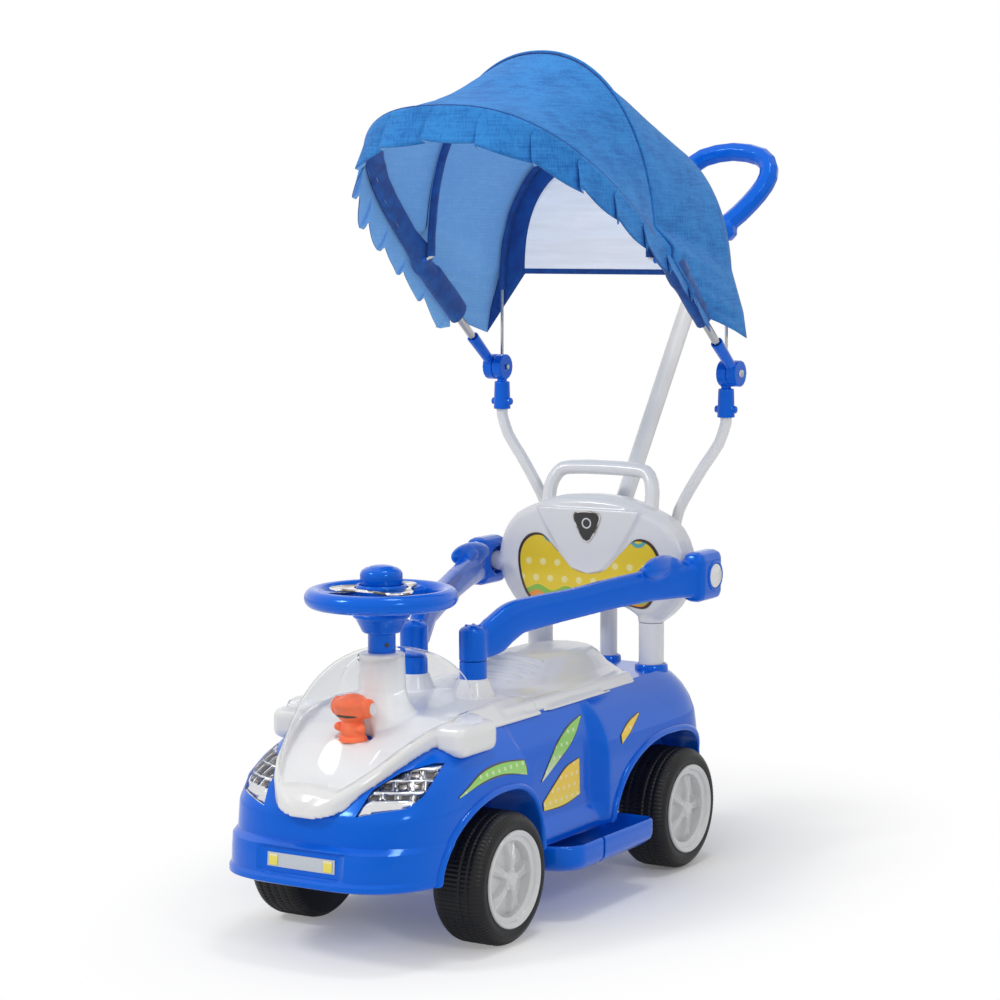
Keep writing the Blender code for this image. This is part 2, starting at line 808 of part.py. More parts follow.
def build_wheels():
    """Four wheels. Each has a tyre and a hubcap, whose origin is the middle of the tyre on its axle."""
    places = (
        ("front_left", 1, FRONT_AXLE_Y),
        ("front_right", -1, FRONT_AXLE_Y),
        ("rear_left", 1, REAR_AXLE_Y),
        ("rear_right", -1, REAR_AXLE_Y),
    )
    for label, side, y in places:
        centre = Vector((side * TYRE_CENTRE_X, y, WHEEL_RADIUS))
        axis = add_empty("wheel_axis_" + label, centre)
        direction = "X" if side > 0 else "-X"
        tyre = turned_form(tyre_profile(), TYRE_STEPS, direction, centre)
        add_part("tyre_" + label, tyre, "black rubber", centre, axis, 40)
        cap = hubcap_form()
        turn = Euler((0, side * math.pi / 2, 0)).to_matrix().to_4x4()
        cap.transform(Matrix.Translation(centre) @ turn)
        add_part("hubcap_" + label, cap, "white plastic", centre, axis, 30)


def build_front_frame():
    """Crossbeam with a kingpin sleeve at each end and a bearing lug for the steering shaft."""
    top = BEAM_Z + BEAM_THICK
    frame = add_part(
        "front_frame",
        box_form(-0.0720, 0.0720, FRONT_AXLE_Y - 0.011, FRONT_AXLE_Y + 0.011, BEAM_Z, top, 0.0015, 1),
        "black plastic",
    )
    join(
        frame,
        "shaft lug",
        box_form(-0.012, 0.012, STEERING_Y - 0.012, FRONT_AXLE_Y, BEAM_Z, top, 0.002, 1),
    )
    for side in (1, -1):
        x = side * KINGPIN_X
        label = "left" if side > 0 else "right"
        join(
            frame,
            label + " kingpin sleeve",
            cylinder_form(0.0090, (x, FRONT_AXLE_Y, SLEEVE_FOOT_Z), (x, FRONT_AXLE_Y, SLEEVE_TOP_Z), 14),
        )
    for side in (1, -1):
        x = side * KINGPIN_X
        label = "left" if side > 0 else "right"
        cut(
            frame,
            label + " kingpin bore",
            bore_form(KINGPIN_RADIUS + RUNNING_GAP, (x, FRONT_AXLE_Y, 0.08), (x, FRONT_AXLE_Y, 0.14), 12),
        )
    cut(
        frame,
        "shaft bore",
        bore_form(SHAFT_RADIUS + RUNNING_GAP, (0, STEERING_Y, 0.08), (0, STEERING_Y, 0.11), 16),
    )
    return frame


def arm_end_form(x, y):
    """The round end of a steering arm, a little thicker than the arm."""
    proud = 0.0005
    foot = (x, y, STEER_ARM_Z - proud)
    return cylinder_form(0.0060, foot, (x, y, STEER_ARM_Z + STEER_ARM_THICK + proud), 12)


def arm_form(x, y, z):
    """A flat steering arm that points rearwards from a vertical axis and ends round a pin."""
    return box_form(x - 0.005, x + 0.005, y + 0.0010, y + STEER_ARM, z, z + STEER_ARM_THICK)


def build_knuckles():
    """Bent steel kingpin and stub axle with the steering arm and its pin, one on each side."""
    for side, label in ((1, "left"), (-1, "right")):
        x = side * KINGPIN_X
        y = FRONT_AXLE_Y
        axis = add_empty("kingpin_axis_" + label, (x, y, 0.0))
        reach = side * (TYRE_OUTER_X - 0.012)
        pin_top = SLEEVE_TOP_Z + 0.0040
        pin = cylinder_form(KINGPIN_RADIUS, (x, y, WHEEL_RADIUS - 0.006), (x, y, pin_top), 12)
        part = add_part("knuckle_" + label, pin, "steel", (x, y, 0.0), axis)
        stub = cylinder_form(AXLE_RADIUS, (x - side * 0.0013, y, WHEEL_RADIUS), (reach, y, WHEEL_RADIUS), 10)
        join(part, label + " stub axle", stub)
        join(part, label + " steering arm", arm_form(x, y, STEER_ARM_Z))
        boss = cylinder_form(0.0070, (x, y, STEER_ARM_Z - 0.0010), (x, y, SLEEVE_FOOT_Z - FIT_GAP), 12)
        join(part, label + " thrust collar", boss)
        nut_foot = SLEEVE_TOP_Z + FIT_GAP
        nut = cylinder_form(0.0065, (x, y, nut_foot), (x, y, nut_foot + 0.0020), 12)
        join(part, label + " push nut", nut)
        pin_y = y + STEER_ARM
        join(
            part,
            label + " rod pin",
            cylinder_form(STEER_PIN_RADIUS, (x, pin_y, TIE_ROD_TOP - 0.008), (x, pin_y, STEER_ARM_Z + 0.001), 10),
        )
        join(part, label + " arm end", arm_end_form(x, pin_y))


def build_tie_rod():
    """Flat rod between the steering arms, with a tab forward to the shaft's crank pin."""
    y = FRONT_AXLE_Y + STEER_ARM
    low = TIE_ROD_TOP - TIE_ROD_THICK
    axis = add_empty("tie_rod_axis", (KINGPIN_X, y, 0.0))
    rod = add_part(
        "tie_rod",
        box_form(-KINGPIN_X - 0.005, KINGPIN_X + 0.005, y - 0.005, y + 0.005, low, TIE_ROD_TOP, 0.001, 1),
        "steel",
        (KINGPIN_X, y, 0.0),
        axis,
    )
    crank_y = STEERING_Y + STEER_ARM
    join(rod, "crank tab", box_form(-0.006, 0.006, crank_y - 0.007, y, low, TIE_ROD_TOP, 0.0008, 1))
    holes = (("left", KINGPIN_X, y), ("right", -KINGPIN_X, y), ("crank", 0.0, crank_y))
    for label, x, hole_y in holes:
        hole = bore_form(STEER_PIN_RADIUS + RUNNING_GAP, (x, hole_y, 0.06), (x, hole_y, 0.09), 10)
        cut(rod, label + " rod hole", hole)


def build_steering():
    """Everything that turns about the steering axis, and the horn button on top."""
    axis = add_empty("steering_axis", (0, STEERING_Y, 0))
    origin = (0, STEERING_Y, 0)
    shaft_top = HUB_TOP - 0.016
    shaft = add_part(
        "steering_shaft",
        cylinder_form(SHAFT_RADIUS, (0, STEERING_Y, STEER_ARM_Z - 0.001), (0, STEERING_Y, shaft_top), 16),
        "steel",
        origin,
        axis,
    )
    crank_y = STEERING_Y + STEER_ARM
    join(shaft, "crank", arm_form(0.0, STEERING_Y, STEER_ARM_Z))
    join(shaft, "crank end", arm_end_form(0, crank_y))
    join(
        shaft,
        "crank pin",
        cylinder_form(STEER_PIN_RADIUS, (0, crank_y, TIE_ROD_TOP - 0.008), (0, crank_y, STEER_ARM_Z + 0.001), 12),
    )
    collar_foot = BEAM_Z + BEAM_THICK + FIT_GAP
    collar = cylinder_form(0.0085, (0, STEERING_Y, collar_foot), (0, STEERING_Y, collar_foot + 0.0040), 14)
    join(shaft, "shaft collar", collar)

    cone_top = RIM_Z - 0.0163
    bore = SHAFT_RADIUS + FIT_GAP
    column_profile = [
        (bore, COLUMN_Z),
        (COLUMN_RADIUS, COLUMN_Z),
        (COLUMN_RADIUS, 0.3420),
        (0.0205, 0.3428),
        (0.0228, 0.3460),
        (0.0305, 0.3600),
        (0.0305, cone_top),
        (bore, cone_top),
    ]
    add_part(
        "steering_column",
        turned_form(column_profile, 22, "Z", origin),
        "blue plastic",
        origin,
        axis,
    )
    build_steering_wheel(axis, origin, cone_top + FIT_GAP, bore)


def build_steering_wheel(axis, origin, hub_bottom, bore):
    rim_steps = 32
    rim_path = [
        (
            RIM_RADIUS * math.cos(math.tau * k / rim_steps),
            STEERING_Y + RIM_RADIUS * math.sin(math.tau * k / rim_steps),
            RIM_Z,
        )
        for k in range(rim_steps)
    ]
    wheel = add_part(
        "steering_wheel", tube_form(rim_path, RIM_TUBE, 2, True), "blue plastic", origin, axis
    )
    hub_floor = HUB_TOP - 0.006
    hub = [
        (bore, hub_bottom),
        (0.0300, hub_bottom),
        (0.0300, RIM_Z),
        (HUB_RADIUS, HUB_TOP),
        (HORN_RADIUS + RUNNING_GAP, HUB_TOP),
        (HORN_RADIUS + RUNNING_GAP, hub_floor),
        (bore, hub_floor),
    ]
    join(wheel, "wheel hub", turned_form(hub, 24, "Z", origin))
    spoke_top = RIM_Z + 0.0100
    for k in range(3):
        angle = math.radians(90 + 120 * k)
        spoke = box_form(0.0285, RIM_RADIUS, -0.0110, 0.0110, RIM_Z - 0.0060, spoke_top - 0.002, 0.0025, 1)
        spoke.transform(
            Matrix.Translation(origin) @ Matrix.Rotation(angle, 4, "Z")
        )
        join(wheel, "wheel spoke " + str(k + 1), spoke)
    build_trim_and_horn(axis, origin, hub_floor, spoke_top)


def build_trim_and_horn(axis, origin, hub_floor, spoke_top):
    """Chromed three-pointed plate over the spokes, and the domed button in the hub."""
    outline = []
    for k in range(30):
        angle = math.tau * k / 30
        point = 0.5 + 0.5 * math.cos(3 * (angle - math.pi / 2))
        radius = 0.0335 + 0.0250 * point**1.6
        outline.append((radius * math.cos(angle), STEERING_Y + radius * math.sin(angle)))
    low = spoke_top - 0.002 + FIT_GAP
    trim = add_part("wheel_trim", extruded_form(outline, low, low + 0.0028, "Z"), "chrome", origin, axis)
    cut(
        trim,
        "trim hole",
        cylinder_form(0.0302, (0, STEERING_Y, low - 0.01), (0, STEERING_Y, low + 0.01), 18),
    )
    base = hub_floor + HORN_TRAVEL + FIT_GAP
    shoulder = HORN_TOP - 0.0085
    dome = [
        (0.0, base),
        (HORN_RADIUS, base),
        (HORN_RADIUS, shoulder),
        (HORN_RADIUS * 0.92, shoulder + 0.0042),
        (HORN_RADIUS * 0.68, shoulder + 0.0070),
        (HORN_RADIUS * 0.36, shoulder + 0.0082),
        (0.0, HORN_TOP),
    ]
    add_part("horn_button", turned_form(dome, 22, "Z", origin), "blue plastic", origin, axis)


# Cowl stations: place along the car, half width, rim height, dash depth, underside
COWL_STATIONS = (
    (-0.3905, 0.0120, 0.1705, 0.0000, 0.1620, 0.0030, 0.0040),
    (-0.3885, 0.0230, 0.1755, 0.0000, 0.1635, 0.0030, 0.0040),
    (-0.3830, 0.0350, 0.1825, 0.0000, 0.1670, 0.0030, 0.0040),
    (-0.3730, 0.0460, 0.1910, 0.0015, 0.1730, 0.0030, 0.0040),
    (-0.3600, 0.0570, 0.2005, 0.0035, 0.1820, 0.0030, 0.0040),
    (-0.3400, 0.0690, 0.2130, 0.0060, 0.1850, 0.0030, 0.0040),
    (-0.3100, 0.0800, 0.2290, 0.0070, 0.1850, 0.0030, 0.0040),
    (-0.2700, 0.0910, 0.2440, 0.0070, 0.1850, 0.0030, 0.0040),
    (-0.2300, 0.0970, 0.2530, 0.0060, 0.1850, 0.0060, 0.0110),
    (-0.1900, 0.0985, 0.2560, 0.0060, 0.1850, 0.0120, 0.0190),
    (-0.1500, 0.0930, 0.2560, 0.0050, 0.1850, 0.0175, 0.0200),
    (-0.1000, 0.0880, 0.2535, 0.0005, 0.1850, 0.0225, 0.0180),
    (SEAM_Y - FIT_GAP / 2, SEAT_HALF_WIDTH - 0.0225, 0.2500, 0.0005, 0.1850, 0.0255, 0.0145),
)


def cowl_at(y):
    """Half width and rim height of the cowl at one place along the car."""
    for before, after in zip(COWL_STATIONS, COWL_STATIONS[1:]):
        if y <= after[0]:
            share = max(0.0, (y - before[0]) / (after[0] - before[0]))
            return tuple(a + (b - a) * share for a, b in zip(before[1:3], after[1:3]))
    return COWL_STATIONS[-1][1:3]


def cowl_form(grow=0.0):
    """The cowl lofted along the car, with its raised rim, sunk dash and straight underside."""
    rings = []
    for y, half_width, rim, depth, floor, skirt_run, skirt_drop in COWL_STATIONS:
        w = half_width + grow - 0.0030
        top = rim + grow
        dash = top - depth
        half = [
            (w + skirt_run, floor),
            (w + skirt_run, top - skirt_drop),
            (w, top),
            (w - 0.0055, top),
            (w - 0.0075, dash + 0.0002),
            ((w - 0.0075) * 0.5, dash + 0.0030),
            (0.0, dash + 0.0040),
        ]
        ring = half + [(-x, z) for x, z in reversed(half[:-1])]
        rings.append([(x, y, z) for x, z in ring])
    return loft_form(rings)


def toy_recess_form():
    """Flat-bottomed round recess that the toy stands in."""
    return cylinder_form(
        TOY_RECESS_RADIUS, (0, TOY_Y, TOY_BASE_Z - FIT_GAP), (0, TOY_Y, TOY_BASE_Z + 0.040), 18
    )


def build_cowl():
    """White front cowl: a raised rim round a sunk dash, the steering tower and the posts' cones."""
    cowl = add_part("front_cowl", cowl_form(), "white plastic", smooth=40)
    tower = turned_form(
        [
            (0.0, 0.2400),
            (0.0440, 0.2400),
            (0.0300, 0.2620),
            (TOWER_RADIUS + 0.0012, 0.2790),
            (TOWER_RADIUS, TOWER_TOP),
            (0.0, TOWER_TOP),
        ],
        22,
        "Z",
        (0, STEERING_Y, 0),
    )
    join(cowl, "steering tower", tower)
    for side in (1, -1):
        x = side * POST_X
        label = "left" if side > 0 else "right"
        cone = cylinder_form(0.0290, (x, POST_Y, 0.2430), (x, POST_Y, POST_SEAT_Z), 16, POST_RADIUS)
        join(cowl, label + " post cone", cone)
        housing = box_form(*LAMP_BLOCK, 0.0090, 2)
        join(cowl, label + " lamp housing", housing if side > 0 else mirrored(housing))
    boolean(cowl, "DIFFERENCE", add_cutter("body under cowl", body_form(-FIT_GAP, -FIT_GAP)))
    cut(
        cowl,
        "tower bore",
        bore_form(SHAFT_RADIUS + RUNNING_GAP, (0, STEERING_Y, 0.20), (0, STEERING_Y, 0.35), 13),
    )
    cut(cowl, "toy recess in the cowl", toy_recess_form())
    for side in (1, -1):
        x = side * POST_X
        label = "left" if side > 0 else "right"
        pin = bore_form(POST_PIN_RADIUS + FIT_GAP, (x, POST_Y, 0.2500), (x, POST_Y, 0.2900), 14)
        cut(cowl, label + " post bore", pin)
    return cowl


def build_toy():
    """A plain rounded toy head with a visor band and two side knobs, on a short round stem."""
    z = TOY_BASE_Z
    stem = [
        (0.0, z),
        (0.0175, z),
        (0.0170, z + 0.0035),
        (0.0130, z + 0.0090),
        (0.0135, z + 0.0170),
        (0.0210, z + 0.0220),
        (0.0245, z + 0.0315),
        (0.0225, z + 0.0420),
        (0.0140, z + 0.0490),
        (0.0, z + 0.0512),
    ]
    toy = add_part("dash_toy", turned_form(stem, 18, "Z", (0, TOY_Y, 0)), "orange plastic", (0, TOY_Y, 0))
    height = z + 0.0335
    knobs = cylinder_form(0.0085, (-0.0290, TOY_Y, height), (0.0290, TOY_Y, height), 14)
    join(toy, "toy side knobs", knobs)


# Windshield stations: place along the car, crown height
SCREEN_STATIONS = (
    (-0.3740, 0.1960),
    (-0.3620, 0.2160),
    (-0.3420, 0.2440),
    (-0.3150, 0.2760),
    (-0.2850, 0.3000),
    (-0.2500, 0.3160),
    (-0.2150, 0.3220),
    (-0.1900, 0.3190),
)


def build_screen():
    """Clear bubble screen that stands on the cowl's rim, with a wall, cut round the steering tower."""
    bm = bmesh.new()
    rows = []
    for y, crown in SCREEN_STATIONS:
        half_width, rim = cowl_at(y)
        foot = rim + FIT_GAP - 0.0008
        arch = superellipse_arch(half_width - 0.0058, crown - foot, 2.2, 12)
        rows.append([bm.verts.new((x, y, foot + rise)) for x, rise in arch])
    for first, second in zip(rows, rows[1:]):
        for k in range(len(first) - 1):
            bm.faces.new((first[k], first[k + 1], second[k + 1], second[k]))
    face_outwards(bm)
    screen = add_part("windshield", bm, "clear plastic", smooth=50)
    wall = screen.modifiers.new("wall", "SOLIDIFY")
    wall.thickness = SCREEN_THICK
    wall.offset = 0
    hole = cylinder_form(TOWER_RADIUS + 0.0030, (0, STEERING_Y, 0.24), (0, STEERING_Y, 0.36), 20)
    cut(screen, "tower hole", hole)
    boolean(screen, "DIFFERENCE", add_cutter("rim under screen", cowl_form(FIT_GAP)))
    return screen


LAMP_OUTLINE = (
    (0.0560, -0.3700, 0.1640),
    (0.0660, -0.3525, 0.1920),
    (0.0865, -0.3290, 0.2100),
    (0.1130, -0.3040, 0.2200),
    (0.1210, -0.2960, 0.2200),
    (0.1160, -0.3280, 0.1880),
    (0.1080, -0.3480, 0.1760),
)
LAMP_AIM = Vector((0.50, -0.80, 0.33)).normalized()


def lamp_prism(grow=0.0):
    """The headlight's outline pushed through the body along the lamp's aim."""
    middle = sum((Vector(p) for p in LAMP_OUTLINE), Vector()) / len(LAMP_OUTLINE)
    rings = []
    for reach in (-0.030, 0.040):
        ring = []
        for corner in LAMP_OUTLINE:
            arm = Vector(corner) - middle
            arm -= arm.dot(LAMP_AIM) * LAMP_AIM
            ring.append(middle + arm * (1 + grow / arm.length) + LAMP_AIM * reach)
        rings.append(ring)
    return loft_form(rings)


def build_headlights(body):
    """A clear lens over a chromed reflector, both curved with the body, one set on each side."""
    lens_back = 0.0028
    for side, label in ((1, "left"), (-1, "right")):
        def sided(bm):
            return bm if side > 0 else mirrored(bm)

        window = sided(lamp_prism(FIT_GAP))
        cut(body, label + " lamp window", window)
        lens = add_part("headlight_lens_" + label, sided(lamp_prism()), "clear plastic")
        boolean(lens, "INTERSECT", add_cutter(label + " lens front", body_form(-0.0012, 0.0)))
        boolean(lens, "DIFFERENCE", add_cutter(label + " lens back", body_form(lens_back, lens_back)))
        reflector = add_part("headlight_reflector_" + label, sided(lamp_prism()), "chrome")
        front = body_form(lens_back + FIT_GAP, lens_back + FIT_GAP)
        boolean(reflector, "INTERSECT", add_cutter(label + " reflector front", front))
        back = body_form(lens_back + 0.0035, lens_back + 0.0035)
        boolean(reflector, "DIFFERENCE", add_cutter(label + " reflector back", back))


def build_side_lamps():
    """Clear domed lamps on the cowl's housings."""
    for side, label in ((1, "left"), (-1, "right")):
        centre = (side * 0.1125, -0.2340, LAMP_BLOCK[5] + FIT_GAP)
        dome = turned_form(
            [(0.0, 0.0), (0.0200, 0.0), (0.0200, 0.0020), (0.0165, 0.0065), (0.0090, 0.0090), (0.0, 0.0098)],
            22,
            "Z",
            (0, 0, 0),
        )
        bmesh.ops.scale(dome, verts=dome.verts, vec=(0.60, 1.15, 1.0))
        bmesh.ops.translate(dome, verts=dome.verts, vec=centre)
        add_part("side_lamp_" + label, dome, "clear plastic")


# Seat levels: height, front, rear, half width
SEAT_LEVELS = (
    (0.2300, 0.000, 0.0000, 0.0000, 16.0),
    (0.2355, 0.000, 0.0000, 0.0000, 16.0),
    (0.2440, 0.000, 0.0045, 0.0120, 16.0),
    (0.2498, 0.001, 0.0085, 0.0255, 12.0),
    (0.2530, 0.022, 0.0120, 0.0340, 5.0),
    (0.2590, 0.050, 0.0165, 0.0420, 3.4),
    (0.2660, 0.078, 0.0230, 0.0500, 2.8),
    (0.2720, 0.106, 0.0320, 0.0600, 2.4),
    (0.2755, 0.134, 0.0450, 0.0715, 2.2),
    (SEAT_TOP, 0.158, 0.0600, 0.0840, 2.2),
)


def seat_outline(front, rear, half_width, square_front, points=30):
    """A rounded oblong from above, with its own squareness at the front."""
    middle = (front + rear) / 2
    reach = (rear - front) / 2
    outline = []
    for k in range(points):
        turn = math.tau * (k + 0.5) / points
        ahead = math.cos(turn)
        aside = math.sin(turn)
        power = square_front if ahead > 0 else 2.3
        y = middle - reach * math.copysign(abs(ahead) ** (2 / power), ahead)
        x = half_width * math.copysign(abs(aside) ** (2 / power), aside)
        outline.append((x, y))
    return outline


def seat_form(grow=0.0):
    """The seat's skirt and its long saddle, which rises towards the back."""
    rings = []
    for height, front, rear, side, square in SEAT_LEVELS:
        outline = seat_outline(
            SEAM_Y + FIT_GAP / 2 + front - grow, SEAT_REAR_Y - rear + grow, SEAT_HALF_WIDTH - side + grow, square
        )
        rings.append([(x, y, height + grow) for x, y in outline])
    return loft_form(rings)


def build_seat():
    """Moulded seat with anti-slip ribs that follow the saddle."""
    seat = add_part("seat", seat_form(), "white plastic")
    raised = seat_form(SEAT_RIB)
    for k in range(5):
        y = -0.028 + 0.019 * k
        half = 0.046 - 0.0040 * abs(k - 2)
        rib = add_cutter("seat rib " + str(k + 1), box_form(-half, half, y - 0.003, y + 0.003, 0.2400, 0.2900))
        boolean(rib, "INTERSECT", add_cutter("raised saddle " + str(k + 1), raised.copy()))
        boolean(seat, "UNION", rib)
    raised.free()
    boolean(seat, "DIFFERENCE", add_cutter("body under seat", body_form(-FIT_GAP, -FIT_GAP)))
    for side in (1, -1):
        x = side * BACK_POST_X
        label = "left" if side > 0 else "right"
        room = cylinder_form(BACK_POST_RADIUS + 0.0060, (x, BACK_Y, 0.20), (x, BACK_Y, 0.30), 14)
        cut(seat, label + " post room", room)
    return seat


def build_guard_posts():
    """Fixed lower half of each front post, with the pin that the arm's sleeve turns on."""
    for side, label in ((1, "left"), (-1, "right")):
        x = side * POST_X
        base = POST_SEAT_Z + FIT_GAP
        profile = [
            (0.0, 0.2520),
            (POST_PIN_RADIUS, 0.2520),
            (POST_PIN_RADIUS, base),
            (POST_RADIUS - 0.0004, base),
            (POST_RADIUS - 0.0004, POST_SPLIT_Z),
            (POST_PIN_RADIUS, POST_SPLIT_Z),
            (POST_PIN_RADIUS, POST_TOP_Z - 0.0060),
            (0.0, POST_TOP_Z - 0.0060),
        ]
        form = turned_form(profile, 18, "Z", (x, POST_Y, 0))
        add_part("guard_post_" + label, form, "blue plastic", (x, POST_Y, 0))


def guard_arm_path(side):
    """From the post's sleeve up to the elbow, then back and out to the clamp beside the backrest."""
    points = (
        (POST_X + 0.004, POST_Y + 0.011, 0.3110),
        (0.0530, -0.0740, 0.3235),
        (0.0640, -0.0420, 0.3390),
        (0.0790, 0.0000, 0.3430),
        (0.1040, 0.0730, 0.3530),
        (0.1310, 0.1500, 0.3580),
        (0.1480, 0.1960, 0.3590),
        (ARM_END_X + 0.002, ARM_END_Y - 0.010, ARM_END_Z - 0.0040),
    )
    return [(side * x, y, z) for x, y, z in points]


def build_guard_arms():
    """Guard arm with its sleeve, arm pad and clamp, and the release button in the clamp."""
    for side, label in ((1, "left"), (-1, "right")):
        x = side * POST_X
        origin = (x, POST_Y, 0)
        axis = add_empty("guard_axis_" + label, origin)
        sleeve = [
            (0.0, POST_SPLIT_Z + RUNNING_GAP),
            (POST_RADIUS, POST_SPLIT_Z + RUNNING_GAP),
            (POST_RADIUS, POST_TOP_Z - 0.0035),
            (POST_RADIUS - 0.0035, POST_TOP_Z),
            (0.0, POST_TOP_Z + 0.0008),
        ]
        sleeve_form = turned_form(sleeve, 18, "Z", origin)
        arm = add_part("guard_arm_" + label, sleeve_form, "blue plastic", origin, axis)
        widths = [0.020, 0.019, ARM_WIDTH, ARM_WIDTH, ARM_WIDTH, 0.018, 0.020, 0.022]
        heights = [0.030, 0.042, 0.036, ARM_HEIGHT, 0.036, 0.036, 0.039, 0.042]
        beam = swept_form(guard_arm_path(side), widths, heights, 0.45)
        join(arm, label + " guard beam", beam)
        pad_path = (
            (0.1260, 0.1360, 0.3740),
            (0.1330, 0.1560, 0.3790),
            (0.1430, 0.1860, 0.3800),
            (0.1500, 0.2050, 0.3760),
        )
        pad = swept_form(
            [(side * a, b, c) for a, b, c in pad_path],
            [0.014, 0.021, 0.021, 0.014],
            [0.010, 0.020, 0.021, 0.012],
            0.6,
        )
        join(arm, label + " arm pad", pad)
        inner, outer = CLAMP_INNER_X, CLAMP_OUTER_X
        clamp = box_form(
            inner,
            outer,
            ARM_END_Y - CLAMP_LENGTH / 2 + 0.008,
            ARM_END_Y + CLAMP_LENGTH / 2 + 0.008,
            ARM_END_Z - CLAMP_HEIGHT / 2,
            ARM_END_Z + CLAMP_HEIGHT / 2,
            0.010,
            2,
        )
        join(arm, label + " clamp", clamp if side > 0 else mirrored(clamp))
        cut_clamp(arm, side, label)
        bore = bore_form(
            POST_PIN_RADIUS + RUNNING_GAP, (x, POST_Y, 0.28), (x, POST_Y, POST_TOP_Z - 0.0040), 20
        )
        cut(arm, label + " sleeve bore", bore)
        below = cylinder_form(0.0300, (x, POST_Y, 0.27), (x, POST_Y, POST_SPLIT_Z + RUNNING_GAP), 14)
        cut(arm, label + " sleeve foot", below)
        build_guard_button(side, label, axis)


def cut_clamp(arm, side, label):
    """The clamp's open recess over the backrest's side boss, and the button's bore outside it."""
    y = ARM_END_Y + 0.014
    z = ARM_END_Z
    recess = cylinder_form(
        BUTTON_RADIUS + 0.0030, (side * (CLAMP_INNER_X - 0.010), y, z), (side * (CLAMP_INNER_X + 0.0110), y, z), 24
    )
    cut(arm, label + " clamp recess", recess)
    bore = bore_form(
        BUTTON_RADIUS + RUNNING_GAP,
        (side * (CLAMP_OUTER_X - 0.0090), y, z),
        (side * (CLAMP_OUTER_X + 0.010), y, z),
        18,
    )
    cut(arm, label + " button bore", bore)


def build_guard_button(side, label, axis):
    y = ARM_END_Y + 0.014
    z = ARM_END_Z
    floor = CLAMP_OUTER_X - 0.0090 + BUTTON_TRAVEL + FIT_GAP
    face = CLAMP_OUTER_X + 0.0030
    profile = [
        (0.0, floor),
        (BUTTON_RADIUS, floor),
        (BUTTON_RADIUS, face - 0.0020),
        (BUTTON_RADIUS - 0.0020, face - 0.0004),
        (0.0, face),
    ]
    form = turned_form(profile, 18, "X" if side > 0 else "-X", (0, y, z))
    origin = (side * CLAMP_OUTER_X, y, z)
    add_part("guard_button_" + label, form, "white plastic", origin, axis)


def back_outline(inset=0.0):
    """Front view of the backrest shell: wide rounded shoulders that draw in to the two posts."""
    half = (
        (0.0000, BACK_TOP_Z),
        (0.0450, BACK_TOP_Z - 0.0030),
        (0.0820, BACK_TOP_Z - 0.0150),
        (0.1120, BACK_TOP_Z - 0.0290),
        (0.1300, BACK_TOP_Z - 0.0520),
        (BACK_HALF_WIDTH, BACK_TOP_Z - 0.0820),
        (0.1350, BACK_TOP_Z - 0.1100),
        (0.1180, BACK_TOP_Z - 0.1380),
        (0.1010, BACK_BOTTOM_Z + 0.0040),
        (0.0920, BACK_BOTTOM_Z),
        (0.0740, BACK_BOTTOM_Z),
        (0.0660, BACK_BOTTOM_Z + 0.0060),
        (0.0400, BACK_BOTTOM_Z + 0.0180),
        (0.0000, BACK_BOTTOM_Z + 0.0220),
    )
    side = smooth_curve([(x, 0.0, z) for x, z in half], 2)
    middle_z = (BACK_TOP_Z + BACK_BOTTOM_Z) / 2 + 0.010
    ring = [(p.x, p.z) for p in side] + [(-p.x, p.z) for p in reversed(side[1:-1])]
    shrink_x = 1 - inset / BACK_HALF_WIDTH
    shrink_z = 1 - inset / 0.075
    return [(x * shrink_x, middle_z + (z - middle_z) * shrink_z) for x, z in ring]


def v_panel_outline(grow=0.0):
    """The raised middle panel: straight across the top, drawn down to a rounded point."""
    top = BACK_TOP_Z - 0.0180
    half = (
        (0.0760 + grow, top),
        (0.0640 + grow, top - 0.0220),
        (0.0420 + grow, top - 0.0560),
        (0.0220 + grow, top - 0.0780 - grow),
        (0.0080, top - 0.0870 - grow),
    )
    return list(half) + [(-x, z) for x, z in reversed(half)]


def picture_outline():
    """The shallow recess for the backrest's picture: two lobes joined under the middle panel."""
    half = (
        (0.0000, 0.3560),
        (0.0250, 0.3620),
        (0.0480, 0.3850),
        (0.0680, 0.4030),
        (0.0880, 0.4010),
        (0.1010, 0.3850),
        (0.1030, 0.3620),
        (0.0960, 0.3340),
        (0.0820, 0.3170),
        (0.0560, 0.3190),
        (0.0260, 0.3230),
        (0.0000, 0.3240),
    )
    return list(half) + [(-x, z) for x, z in reversed(half[1:-1])]


